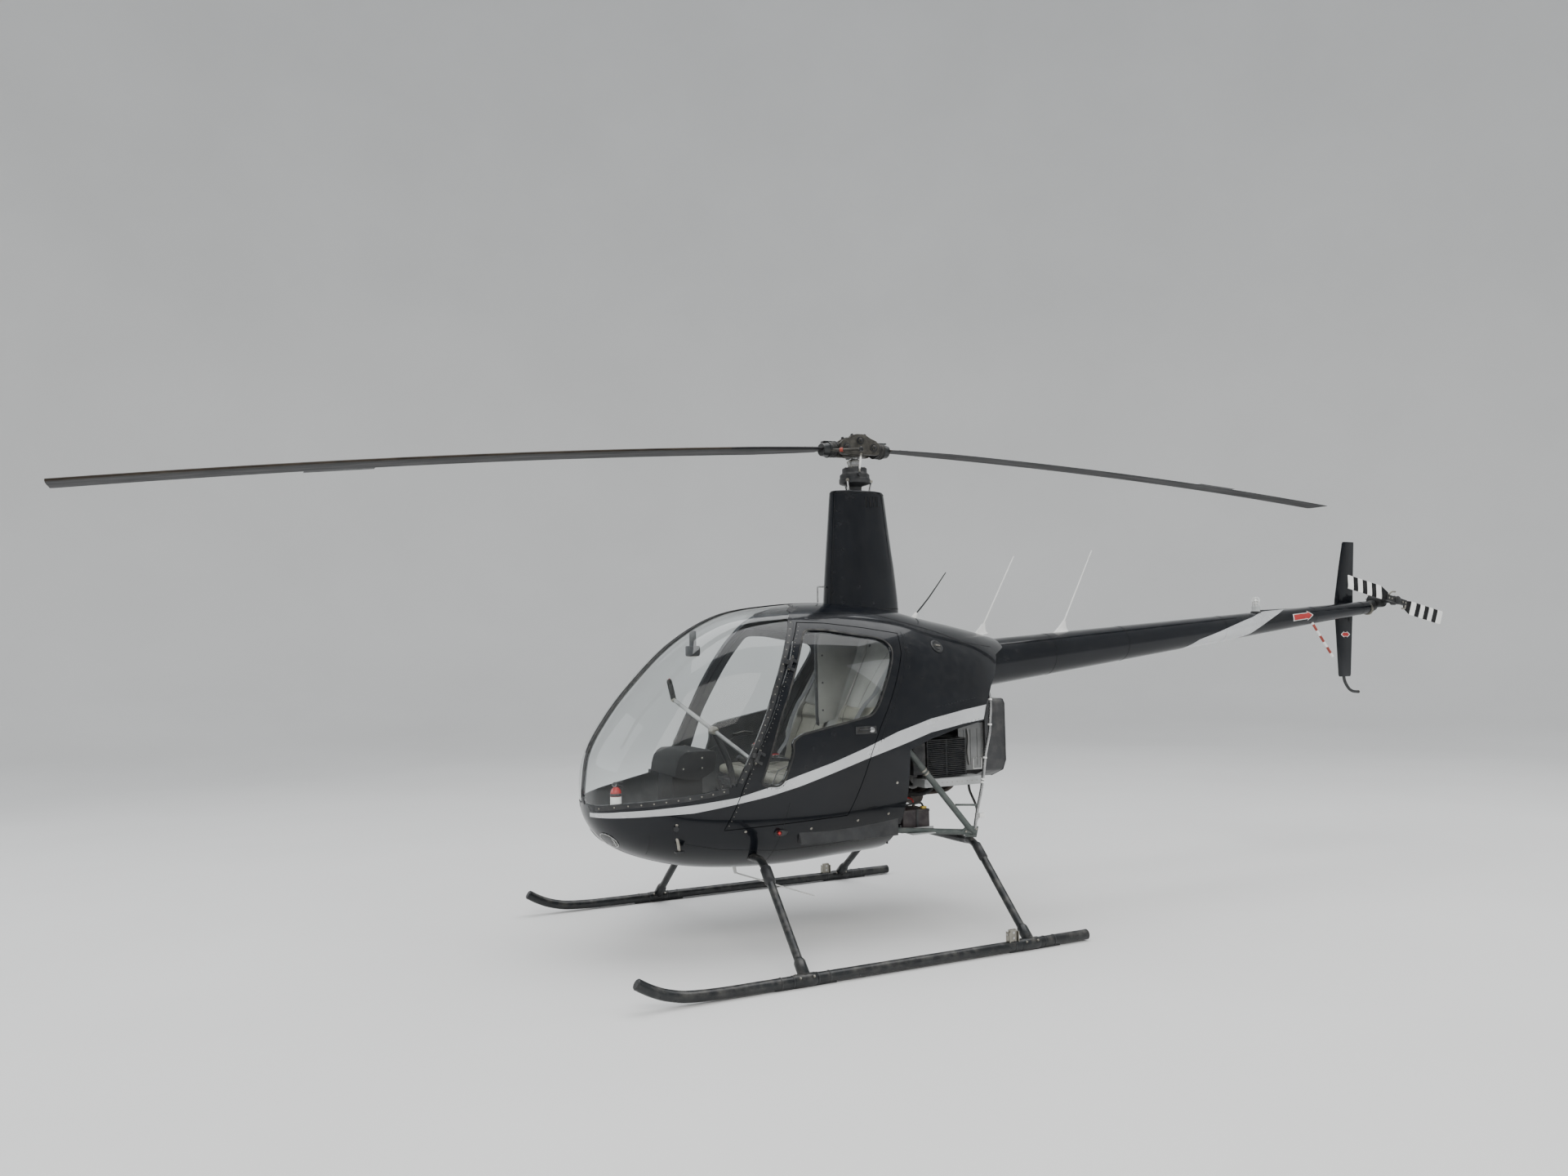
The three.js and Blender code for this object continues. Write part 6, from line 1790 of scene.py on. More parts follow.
def build_windshield_frame():
    """Frame strips, screws and the crown seals around the windshield."""
    trim = Piece("windshield_frame")
    lower = [(x, z - 13) for x, z in [(1572, 742), *WINDSHIELD_FOOT[2:], (1010, 832)]]
    band(trim, lower, 26, SATIN, 0.0012)
    rivets(trim, lower, 52, 0.0042, 0.0016, ZINC, proud=0.0012)
    rear = grown([*GLASS_REAR, (400, 1500), (700, 839)], -13)[:len(GLASS_REAR)]
    band(trim, rear[:-1], 24, SATIN, 0.0012)
    rivets(trim, rear[:-1], 40, 0.0036, 0.0014, ZINC, proud=0.0012)
    top = [(540, 1684), (500, 1702), (463, 1721)]
    band(trim, top, 20, SATIN, 0.001)
    t = np.linspace(1.02, 7.2, 90)
    crown = body_point(t, np.full(len(t), np.pi / 2)) * MM
    for shift in (0.021, -0.021):
        trim.tube(crown + (0, shift, 0.0012), 0.0016, RUBBER, 6)
    for spot in crown[3:-2:3]:
        trim.studs([spot + (0, 0.013, 0.0), spot + (0, -0.013, 0.0)], [(0.4, 0, 1)] * 2, 0.0034, 0.0014,
                   ZINC)
    trim.done()


def build_seams():
    """Panel seams, rivet rows, fasteners and the filler cap."""
    seams = Piece("body_seams_and_rivets")
    upper = [(425, 1673), (262, 1672), (70, 1668), (-74, 1627), (-315, 1568), (-490, 1507), (-720, 1482)]
    seam(seams, upper)
    rivets(seams, [(x, z - 9) for x, z in upper[3:]], 38, mat=BLACK)
    rear_panel = [(-37, 1570), (-17, 1456), (41, 1331), (111, 1189), (167, 1088), (196, 1010)]
    seam(seams, rear_panel, 0.0011)
    rivets(seams, [(x - 14, z) for x, z in rear_panel], 34, mat=BLACK)
    rivets(seams, [(-150, 1170), (-305, 1194), (-475, 1213)], 22, 0.0026, 0.001, SATIN)
    lower_panel = [(700, 742), (716, 620), (724, 500), (726, 430)]
    seam(seams, lower_panel, 0.001)
    rivets(seams, [(x + 12, z) for x, z in lower_panel], 36, mat=BLACK)
    belly = [(1180, 560), (1000, 520), (700, 492), (400, 500), (120, 520)]
    seam(seams, belly, 0.001)
    rivets(seams, [(x, z - 11) for x, z in belly], 40, mat=BLACK)
    nose = [(1340, 610), (1330, 560), (1318, 500)]
    seam(seams, nose, 0.001)
    rivets(seams, [(26, 450), (26, 600), (26, 760), (26, 900)], 30, mat=BLACK)
    lip = [(x, z + 7) for x, z in ((150, 925), (43, 958), (-116, 1016), (-288, 1057), (-490, 1091))]
    rivets(seams, lip, 30, mat=BLACK)
    for x, z in ((1235, 660), (905, 610), (560, 600), (300, 620), (120, 640), (95, 800)):
        for side in (1, -1):
            spots, normals = on_body([(x, z)], -0.0005, side)
            seams.turned([(0.007, 0), (0.007, 0.001), (0.0045, 0.0016), (0, 0.0016)], ZINC, spots[0],
                         normals[0], 14)
    cap_spot, cap_normal = on_body([(-250, 1490)], -0.001, 1)
    ring = [(0.04, 0), (0.04, 0.003), (0.036, 0.005), (0.028, 0.005), (0.026, 0.003), (0.024, 0.007),
            (0, 0.008)]
    seams.turned(ring, SATIN, cap_spot[0], cap_normal[0], 40)
    seams.block((-0.017, -0.003, 0.007), (0.017, 0.003, 0.012), ZINC, 0.001,
                aimed(cap_spot[0], cap_normal[0], (1, 0, 0)))
    seams.done()


def add_hinge(leaf, post, at, flip):
    """Hinge at a place: knuckles and plate on the door, pin and middle knuckle on the post."""
    rear = np.cross((0, 1, 0), HINGE_AXIS)
    rear /= np.linalg.norm(rear)
    out = np.cross(HINGE_AXIS, rear)
    for way in (-1, 1):
        knuckle = [(0.0046, 0.0143), (0.009, 0.0143), (0.0092, 0.0155), (0.0092, 0.029), (0.0088, 0.03),
                   (0.0046, 0.03)]
        leaf.turned(knuckle, SATIN, at * flip, HINGE_AXIS * way * flip, 22)
        plate = aimed((at + HINGE_AXIS * way * 0.0222) * flip, rear * flip, out * flip)
        leaf.block((-0.031, -0.0072, 0.004), (-0.0005, 0.0072, 0.035), SATIN, 0.0015, plate)
        post.turned([(0.004, 0.0302), (0.004, 0.0322), (0.0062, 0.0326), (0.0058, 0.0352), (0, 0.0356)],
                    ZINC, at * flip, HINGE_AXIS * way * flip, 16)
    post.turned([(0.004, -0.0138), (0.009, -0.0138), (0.0092, -0.0125), (0.0092, 0.0125), (0.009, 0.0138),
                 (0.004, 0.0138)], SATIN, at * flip, HINGE_AXIS * flip, 22)
    plate = aimed(at * flip, -rear * flip, out * flip)
    post.block((-0.031, -0.0125, 0.004), (-0.0005, 0.0125, 0.0225), SATIN, 0.0015, plate)


def add_handle(leaf, side):
    """Door handle with its plate and lock."""
    knob, normal = on_body([(250, 1076)], 0.0, side)
    plate = aimed(knob[0], normal[0], (1, 0, 0))
    leaf.block((-0.03, -0.019, -0.001), (0.092, 0.019, 0.002), SATIN, 0.002, plate)
    leaf.block((0.03, -0.013, 0.0015), (0.084, 0.013, 0.0034), RUBBER, 0.001, plate)
    leaf.turned([(0.0125, 0.0), (0.0125, 0.005), (0.0092, 0.0075), (0.0092, 0.0115), (0.0118, 0.014),
                 (0.0095, 0.0156), (0, 0.016)], STEEL, knob[0], normal[0], 32)
    leaf.tube([knob[0] + normal[0] * 0.006 + (0.006, 0, 0), knob[0] + normal[0] * 0.008 + (0.03, 0, 0.001),
               knob[0] + normal[0] * 0.007 + (0.072, 0, 0.002)], [0.0046, 0.0044, 0.004], SATIN, 12, 3)


def build_door_fittings():
    """Hinges, handles, window seals and screws of the doors."""
    for name, side in SIDES:
        flip = np.array([1, side, 1])
        leaf = Piece(f"door_fittings_{name}", f"door_{name}_leaf")
        post = Piece(f"door_hinge_posts_{name}")
        for at in (HINGE_UPPER, HINGE_LOWER):
            add_hinge(leaf, post, at, flip)
        add_handle(leaf, side)
        edge = dense(grown(WINDOW_SOFT, 5), 14)
        band(leaf, np.concatenate([edge, edge[:1]]), 9, RUBBER, 0.0012, 0.002, (side,))
        screws = dense(grown(WINDOW_SOFT, 17), 44)
        spots, normals = on_body(screws, -0.0002, side)
        leaf.studs(spots, normals, 0.0024, 0.0006, BLACK)
        fore = grown(DOOR, -9)[:10]
        rivets(leaf, fore, 24, 0.0022, 0.0009, ZINC, (side,))
        rear_edge = grown(DOOR, -9)[13:19]
        rivets(leaf, rear_edge, 26, 0.0024, 0.0009, BLACK, (side,))
        inner = [(290, 1000), (520, 985), (760, 900), (820, 760)]
        leaf.tube(on_body(dense(inner, 60, False), -0.0262, side)[0], 0.0035, SATIN, 8)
        pull, _ = on_body([(430, 1010), (480, 1015), (530, 1005)], -0.045, side)
        base, _ = on_body([(420, 1008), (540, 1003)], -0.026, side)
        leaf.tube([base[0], *pull, base[1]], 0.006, RUBBER, 12, 4)
        leaf.done()
        post.done()


def belly_hit(start, way, proud):
    """Where a line from inside meets the body, a little proud of it."""
    low, high = 0.0, 0.2
    for _ in range(30):
        mid = (low + high) / 2
        x, y, z = (start + way * (mid - 0.1)) * 1000
        place = body_place([(x, z)])
        t = float(np.clip(place[0][0], 0, LAST))
        _, half, top, bottom, wide, above, below = body_row(np.array([t]))[0]
        rise, power = (top - wide, above) if z >= wide else (wide - bottom, below)
        inside = (abs(y) / half) ** power + (abs(z - wide) / rise) ** power < 1 and x < 1584
        if inside:
            low = mid
        else:
            high = mid
    return start + way * (low - 0.1 + proud)


def build_lamps():
    """Landing lights in the nose and nav lights on the sides."""
    for name, side in SIDES:
        lamp = Piece(f"landing_light_{name}_lens")
        centre = np.array([1480, side * 104, 567]) * MM
        way = np.array([80, side * 8, -65.0])
        way /= np.linalg.norm(way)
        a, b, c = basis(way)
        rings = []
        for radius in (0.0515, 0.046, 0.036, 0.022, 0.008):
            ring = []
            for turn in around(36):
                spot = centre + radius * (math.cos(turn) * a + math.sin(turn) * b)
                ring.append(belly_hit(spot, c, 0.0022))
            rings.append(ring)
        count = 36
        lens = ring_faces(len(rings), count)[:-2] + [tuple(range(4 * count, 5 * count))]
        verts = np.concatenate(rings)
        outward = np.cross(verts[lens[0][1]] - verts[lens[0][0]], verts[lens[0][2]] - verts[lens[0][0]]) @ c
        lamp.add(verts, faced(lens, outward), LENS)
        middle = rings[0]
        lamp.tube([*middle, middle[0]], 0.0024, STEEL, 8)
        bowl_at = centre - c * 0.03
        deep = [(0.044, 0.022), (0.04, 0.006), (0.03, -0.006), (0.016, -0.013), (0.006, -0.015),
                (0, -0.015)]
        lamp.turned(deep, STEEL, bowl_at, c, 32)
        lamp.turned([(0.007, -0.014), (0.008, 0.002), (0.005, 0.008), (0, 0.009)], LENS, bowl_at, c, 18)
        lamp.done(f"landing_light_{name}")
        nav = Piece(f"nav_lamp_{name}")
        at, _ = on_body([(729, 592)], -0.001, side)
        base = aimed(at[0], (0, side, 0), (1, 0, 0))
        rings = []
        for r, h in ((1.0, 0.0), (0.97, 0.006), (0.86, 0.012), (0.62, 0.016)):
            rings.append([(0.03 * r * math.cos(u) * (1.5 if math.cos(u) < 0 else 1.0),
                           0.017 * r * math.sin(u), h) for u in around(28)])
        nav.add(np.concatenate(rings), ring_faces(4, 28), SATIN, base)
        dome = [(0.0135, 0.01), (0.014, 0.016), (0.0125, 0.0215), (0.0085, 0.0255), (0.003, 0.0272),
                (0, 0.0274)]
        nav.turned(dome, RED_LENS if side > 0 else GREEN_LENS, (0.008, 0, 0), (0, 0, 1), 26, base)
        nav.turned([(0.004, 0.012), (0.005, 0.017), (0, 0.019)], WHITE, (0.008, 0, 0), (0, 0, 1), 12, base)
        nav.done(f"nav_light_{name}")


def build_beacon():
    """Beacon on the boom."""
    beacon = Piece("beacon_lamp")
    foot = sum(boom_at(-3.13))
    lean = np.array([-0.06, 0, 0.998])
    at = np.array([-3.1315, 0, foot - 0.004])
    beacon.turned([(0, -0.004), (0.033, -0.004), (0.0335, 0.006), (0.03, 0.009), (0, 0.009)], SATIN, at,
                  lean, 32)
    beacon.turned([(0.03, 0), (0.0295, 0.01), (0.027, 0.014), (0.0268, 0.03), (0.028, 0.033),
                   (0.028, 0.042), (0.025, 0.045), (0, 0.046)], SHROUD, at, lean, 32)
    beacon.turned([(0.024, 0.045), (0.0238, 0.085), (0.0225, 0.1), (0.018, 0.108), (0, 0.111)], SMOKE, at,
                  lean, 32)
    beacon.turned([(0.006, 0.045), (0.009, 0.06), (0.009, 0.085), (0, 0.092)], WHITE, at, lean, 16)
    for k in range(8):
        turn = math.radians(45 * k)
        a, b, c = basis(lean)
        out = math.cos(turn) * a + math.sin(turn) * b
        beacon.tube([at + out * 0.0245 + c * 0.044, at + out * 0.0245 + c * 0.086,
                     at + out * 0.021 + c * 0.104], 0.0014, WHITE, 6)
    for h in (0.06, 0.078):
        beacon.turned([(0.024, h - 0.001), (0.0252, h), (0.024, h + 0.001)], WHITE, at, lean, 32)
    beacon.done("beacon")


def build_antennas():
    """Whip antennas on the boom, the cowl, the roof and the belly."""
    # Columns: name, station, height of the foot, height above it, slope of the skin there
    for name, x, base_z, rise, slope in (("rear", -1.428, sum(boom_at(-1.428)), 0.51, 0.098),
                                         ("middle", -0.82, 1.552, 0.475, 0.23)):
        whip = Piece(f"whip_antenna_{name}")
        low = np.array([x, 0, base_z - 0.006])
        tip = np.array([x - 0.275, 0, base_z + rise])
        way = tip - low
        whip.tube([low + way * 0.1, low + way * 0.5, tip - way * 0.004], [0.005, 0.0042, 0.003], WHITE, 12)
        whip.turned([(0.003, -0.004), (0.0042, -0.001), (0.0036, 0.003), (0, 0.004)], WHITE,
                    tip - way * 0.006, way, 12)
        levels = [(0.0, 0.062, 0.0155), (0.006, 0.06, 0.0135), (0.012, 0.05, 0.009), (0.03, 0.034, 0.0065),
                  (0.05, 0.022, 0.0058), (0.072, 0.012, 0.0056)]
        rings = []
        for h, half, wide in levels:
            centre = x - 0.01 - 0.42 * h
            ring = []
            for u in around(28):
                px = centre + half * math.cos(u)
                drop = -(px - x) * slope if h < 0.02 else 0
                ring.append((px, wide * math.sin(u), base_z - 0.004 + h + drop * (1 - h / 0.02)))
            rings.append(ring)
        whip.add(np.concatenate(rings), ring_faces(len(rings), 28), WHITE)
        for dx in (-0.045, 0.03):
            whip.turned(bolt_head(0.0045, 0.002, 0.0026), ZINC,
                        (x - 0.01 + dx, 0, base_z + 0.004 - (dx - 0.01) * slope), (0.1, 0, 1), 12)
        whip.done(f"antenna_{name}")
    front = Piece("whip_antenna_front")
    front.tube([(-0.352, 0, 1.622), (-0.357, 0, 1.632), (-0.372, 0, 1.655), (-0.392, 0, 1.684)],
               [0.026, 0.0225, 0.0165, 0.0095], WHITE, 26, 1)
    front.tube([(-0.3885, 0, 1.68), (-0.48, 0, 1.775), (-0.6, 0, 1.921)], [0.005, 0.0042, 0.003], SATIN, 12,
               1)
    front.done("antenna_front")
    belly = Piece("whip_antenna_belly")
    belly.tube([(0.7755, 0, 0.374), (0.774, 0, 0.36), (0.768, 0, 0.332), (0.764, 0, 0.321)],
               [0.0125, 0.0098, 0.0088, 0.007], WHITE, 18, 1)
    belly.tube([(0.766, 0.0, 0.3225), (0.62, 0.02, 0.27), (0.47, 0.04, 0.216), (0.332, 0.0598, 0.1665)],
               [0.0042, 0.004, 0.0036, 0.003], WHITE, 10, 2)
    belly.done("antenna_belly")


def build_guard_rod():
    """Banded guard rod under the boom."""
    start, end = np.array([-3.6255, 0.03, 1.6393]), np.array([-3.819, 0.05, 1.372])
    way = end - start
    rod = Piece("guard_rod_bar")
    length = np.linalg.norm(way)
    stops = [0, 0.14, 0.3, 0.44, 0.6, 0.74, 0.9, 1.0]
    for index, (a, b) in enumerate(zip(stops, stops[1:])):
        mat = RODRED if index % 2 else WHITE
        rod.tube([start + way * a, start + way * b], 0.0089, mat, 18)
    rod.turned([(0.0089, 0), (0.0085, 0.003), (0.005, 0.006), (0, 0.0065)], RODRED,
               end - way / length * 0.006, way, 18)
    rod.done("guard_rod")


def build_fire_bottle():
    """Fire bottle with its valve, pin and straps."""
    bottle = Piece("fire_bottle")
    spot = (1.457, 0.15, 0.69)
    bottle.turned([(0, 0.0005), (0.022, 0.0005), (0.026, 0.004), (0.0268, 0.01), (0.0268, 0.112),
                   (0.0255, 0.122), (0.021, 0.131), (0.014, 0.138), (0.012, 0.142)], RED, spot, (0, 0, 1),
                  36)
    bottle.turned([(0.0271, 0.052), (0.0272, 0.053), (0.0272, 0.094), (0.0271, 0.095)], WHITE, spot,
                  (0, 0, 1), 36)
    bottle.turned([(0.0118, 0.14), (0.0118, 0.152), (0.01, 0.156), (0.01, 0.164), (0, 0.1665)], SATIN, spot,
                  (0, 0, 1), 24)
    bottle.tube([(1.457, 0.15, 0.85), (1.44, 0.15, 0.853), (1.418, 0.15, 0.851)], [0.0048, 0.0045, 0.003],
                SATIN, 10, 2)
    bottle.tube([(1.457, 0.15, 0.842), (1.438, 0.15, 0.838), (1.42, 0.15, 0.829)], [0.0042, 0.004, 0.003],
                SATIN, 10, 2)
    turns = np.linspace(0, 2 * np.pi, 17)
    ring = [(1.47 + 0.011 * math.cos(u), 0.168, 0.846 + 0.011 * math.sin(u)) for u in turns]
    bottle.tube(ring, 0.0011, STEEL, 6)
    for z in (0.022, 0.104):
        bottle.turned([(0.027, z - 0.007), (0.0282, z - 0.006), (0.0282, z + 0.006), (0.027, z + 0.007)],
                      SATIN, spot, (0, 0, 1), 36)
    bottle.block((1.4455, 0.141, 0.6), (1.4685, 0.159, 0.692), SATIN, 0.002)
    bottle.done("fire_extinguisher")


def build_pitot():
    """Pitot tube on the mast fairing."""
    pitot = Piece("pitot_tube")
    pitot.tube([(0.196, 0, 1.829), (0.225, 0, 1.829), (0.243, 0, 1.829), (0.249, 0, 1.8265),
                (0.25, 0, 1.815), (0.25, 0, 1.742)], 0.0042, STEEL, 12, 3)
    pitot.turned([(0.01, 0), (0.011, 0.003), (0.006, 0.006)], SATIN, (0.25, 0, 1.7325), (0, 0, 1), 18)
    pitot.done()


# Engine bay
FAN_Z = 0.955


def add_cylinders(engine, side):
    """Finned cylinders of one side with their exhaust and intake pipes."""
    for k in range(20):
        z = 0.7905 + 0.0102 * k
        engine.block((-0.468, side * 0.12, z - 0.0021), (-0.214, side * 0.3515, z + 0.0021), FINS, 0.0009)
    for x in (-0.464, -0.341, -0.218):
        engine.block((x - 0.004, side * 0.14, 0.788), (x + 0.004, side * 0.346, 0.988), FINS, 0.001)
    for x in (-0.415, -0.295):
        engine.turned([(0.05, 0.118), (0.056, 0.13), (0.056, 0.3), (0.05, 0.33)], ENGINE, (x, 0, 0.885),
                      (0, side, 0), 30)
    engine.block((-0.21, side * 0.13, 0.8), (-0.128, side * 0.345, 0.975), ENGINE, 0.012)
    for z in (0.83, 0.945):
        for y in (0.19, 0.3):
            engine.turned(bolt_head(0.006, 0.006, 0.007), ZINC, (-0.128, side * y, z), (1, 0, 0), 6)
    for x, reach in ((-0.43, 0.27), (-0.28, 0.24)):
        pipe = [(x, side * reach, 0.792), (x, side * reach, 0.75), (x + 0.01, side * (reach - 0.03), 0.712),
                (x + 0.03, side * (reach - 0.09), 0.69), (-0.332, side * 0.12 - 0.05, 0.672)]
        engine.tube(pipe, 0.0175, EXHAUST, 16, 4)
        engine.turned([(0.018, 0), (0.026, 0.001), (0.026, 0.008), (0.018, 0.009)], ZINC,
                      (x, side * reach, 0.781), (0, 0, 1), 18)
        intake = [(x + 0.05, side * 0.25, 0.789), (x + 0.055, side * 0.23, 0.745),
                  (x + 0.05, side * 0.17, 0.722), (x + 0.03, side * 0.095, 0.735)]
        engine.tube(intake, 0.0145, ALLOY, 14, 4)


def add_hoses(engine):
    """Oil hose, ribbed air hose and wires."""
    hose = [(-0.135, 0.085, 0.8), (-0.105, 0.12, 0.76), (-0.11, 0.16, 0.715), (-0.17, 0.205, 0.69),
            (-0.255, 0.235, 0.688), (-0.32, 0.23, 0.72), (-0.345, 0.22, 0.768)]
    engine.tube(hose, 0.0125, RUBBER, 16, 6)
    for at, way in ((hose[0], (-0.03, -0.035, 0.04)), (hose[-1], (-0.02, -0.01, 0.048))):
        engine.turned(collar(0.0127, 0.0145, 0.005, 0.004), STEEL, at, way, 18)
    duct = [(-0.06, 0.3, 0.93), (-0.07, 0.32, 0.87), (-0.085, 0.3, 0.8), (-0.09, 0.235, 0.752),
            (-0.1, 0.15, 0.742)]
    path, _ = curve(duct, 0.02, 10)
    engine.tube(path, [0.0225 + 0.0018 * (k % 2) for k in range(len(path))], RUBBER, 18)
    # Columns: radius, material, points
    wires = [(0.004, RUBBER, [(-0.12, 0.2, 0.93), (-0.06, 0.25, 0.9), (0.012, 0.3, 0.86)]),
             (0.0055, SATIN, [(-0.12, 0.24, 0.9), (-0.05, 0.3, 0.8), (0.012, 0.34, 0.74)]),
             (0.0035, RUBBER, [(-0.14, 0.28, 0.84), (-0.08, 0.33, 0.76), (-0.02, 0.33, 0.66),
                               (0.013, 0.33, 0.6)]),
             (0.006, ZINC, [(-0.12, 0.12, 0.79), (-0.07, 0.2, 0.72), (-0.03, 0.26, 0.69),
                            (0.013, 0.28, 0.68)])]
    for radius, mat, points in wires:
        engine.tube(points, radius, mat, 10, 5)


def build_engine_block():
    """Crankcase, finned cylinders, exhaust and intake pipes, hoses and wires."""
    engine = Piece("engine_block")
    engine.block((-0.558, -0.128, 0.782), (-0.112, 0.128, 0.985), ENGINE, 0.014)
    engine.block((-0.5, -0.1, 0.985), (-0.15, 0.1, 1.0), ENGINE, 0.005)
    engine.block((-0.468, -0.103, 0.701), (-0.152, 0.103, 0.786), ALLOY, 0.012)
    for x in np.linspace(-0.52, -0.15, 9):
        engine.block((x - 0.004, -0.131, 0.79), (x + 0.004, 0.131, 0.975), ENGINE, 0.002)
    for side in (1, -1):
        for x in np.linspace(-0.45, -0.17, 8):
            engine.turned(bolt_head(0.006, 0.006, 0.007), ZINC, (x, side * 0.1035, 0.776), (0, side, 0), 6)
        add_cylinders(engine, side)
    engine.turned([(0, 0.0), (0.03, 0.0), (0.031, 0.01), (0.031, 0.14), (0, 0.1412)], ALLOY,
                  (-0.559, 0, FAN_Z), (-1, 0, 0), 32)
    engine.turned([(0.03, 0), (0.036, 0.004), (0.037, 0.02), (0.037, 0.085), (0.03, 0.095), (0, 0.096)],
                  WHITE, (-0.15, 0.06, 0.83), (1, 0, -0.2), 28)
    engine.block((-0.15, -0.095, 0.8), (-0.085, -0.01, 0.9), ALLOY, 0.012)
    add_hoses(engine)
    engine.done("engine")


def add_guard(shroud):
    """Wire guard over the fan's intake."""
    for k in range(7):
        radius = 0.052 + 0.0185 * k
        turns = np.linspace(0, 2 * np.pi, 49)
        shroud.tube([(-0.7822, radius * math.cos(u), FAN_Z + radius * math.sin(u)) for u in turns], 0.0011,
                    ZINC, 6)
    for k in range(8):
        turn = math.radians(45 * k)
        arm = [(-0.7815, r * math.cos(turn), FAN_Z + r * math.sin(turn)) for r in (0.03, 0.178)]
        shroud.tube(arm, 0.0018, ZINC, 6)


def add_side_panels(shroud, side):
    """Sheets over the cylinders of one side, with ribs, hatch, rivets and primer line."""
    shroud.block((-0.641, side * 0.2625, 0.8), (-0.472, side * 0.2695, 1.06), SHROUD_DARK, 0.002)
    shroud.block((-0.56, side * 0.2625, 0.7365), (-0.176, side * 0.379, 0.78), SHROUD, 0.003)
    shroud.block((-0.5, side * 0.131, 0.776), (-0.473, side * 0.269, 0.7995), SHROUD, 0.002)
    face = aimed((-0.555, side * 0.2698, 0.925), (0, side, 0), (1, 0, 0))
    for z in (0.12, -0.118):
        shroud.block((-0.08, z - 0.003, 0), (0.08, z + 0.003, 0.002), SHROUD_DARK, 0.0008, face)
    for x in (-0.045, 0.0, 0.045):
        shroud.block((x - 0.0025, -0.1, 0), (x + 0.0025, 0.1, 0.0022), SHROUD_DARK, 0.0008, face)
    hatch = [(0.012, -0.118), (0.068, -0.118), (0.068, -0.06), (0.012, -0.06), (0.012, -0.118)]
    shroud.tube([(u, v, 0.0026) for u, v in hatch], 0.002, WHITE, 6,
                matrix=np.array([[-1, 0, 0, -0.555], [0, 0, side, side * 0.2698], [0, 1, 0, 0.925],
                                 [0, 0, 0, 1]], float))
    for x in np.linspace(-0.545, -0.19, 12):
        shroud.studs([(x, side * 0.3792, 0.758)], [(0, side, 0)], 0.0032, 0.0013, ZINC)
    for z in np.linspace(0.82, 1.04, 8):
        shroud.studs([(-0.632, side * 0.2697, z), (-0.482, side * 0.2697, z)], [(0, side, 0)] * 2, 0.0032,
                     0.0013, ZINC)
    pipe = [(-0.53, side * 0.272, 1.03), (-0.535, side * 0.276, 0.98), (-0.528, side * 0.276, 0.9),
            (-0.54, side * 0.274, 0.83)]
    shroud.tube(pipe, 0.006, ALLOY, 12, 4)


def build_shroud():
    """Fan housing and the sheet panels around the cylinders."""
    shroud = Piece("cooling_shroud_panels")
    outline = [(-0.15, 0.745), (0.15, 0.745), (0.262, 0.79), (0.29, 0.845), (0.288, 1.165), (0.27, 1.19),
               (-0.27, 1.19), (-0.288, 1.165), (-0.29, 0.845), (-0.262, 0.79)]
    shape = rounded(np.array(outline) * 1000, 18, 5) / 1000
    count = len(shape)
    angles = np.unwrap([math.atan2(z - FAN_Z, y) for y, z in shape])
    for x, way, hub_r in ((-0.64, 1, 0.034), (-0.78, -1, 0.176)):
        ring = [(x, hub_r * math.cos(a), FAN_Z + hub_r * math.sin(a)) for a in angles]
        rim = [(x, y, z) for y, z in shape]
        inner_x = x - way * 0.0025
        inner_ring, inner_rim = ([(inner_x, y, z) for _, y, z in line] for line in (ring, rim))
        faces = faced(ring_faces(2, count, False), way)
        shroud.add(rim + ring, faced(faces, -1), SCROLL)
        shroud.add(inner_rim + inner_ring, faces, SCROLL)
        shroud.add(ring + inner_ring, faces, SCROLL)
    outside = [(x, y, z) for x in (-0.64, -0.645, -0.775, -0.78) for y, z in shape]
    shroud.add(outside, ring_faces(4, count, False), SCROLL)
    inside = [(x, y * 0.985, FAN_Z + (z - FAN_Z) * 0.985) for x in (-0.6425, -0.7775) for y, z in shape]
    shroud.add(inside, faced(ring_faces(2, count, False), -1), SCROLL)
    for side in (1, -1):
        shroud.tube([(-0.777, side * 0.272, 1.187), (-0.777, side * 0.2875, 1.163),
                     (-0.777, side * 0.2895, 0.846), (-0.777, side * 0.2615, 0.791),
                     (-0.777, side * 0.151, 0.747)], 0.0032, SCROLL, 8)
        for z in np.linspace(0.87, 1.15, 9):
            y = np.interp(z, [0.845, 1.165], [0.29, 0.288])
            shroud.studs([(-0.652, side * y, z), (-0.768, side * y, z)], [(0, side, 0)] * 2, 0.003, 0.001,
                         SATIN)
    shroud.block((-0.778, -0.266, 1.1895), (-0.642, 0.266, 1.1925), SHROUD, 0.001)
    add_guard(shroud)
    for side in (1, -1):
        add_side_panels(shroud, side)
    shroud.done("cooling_shroud")


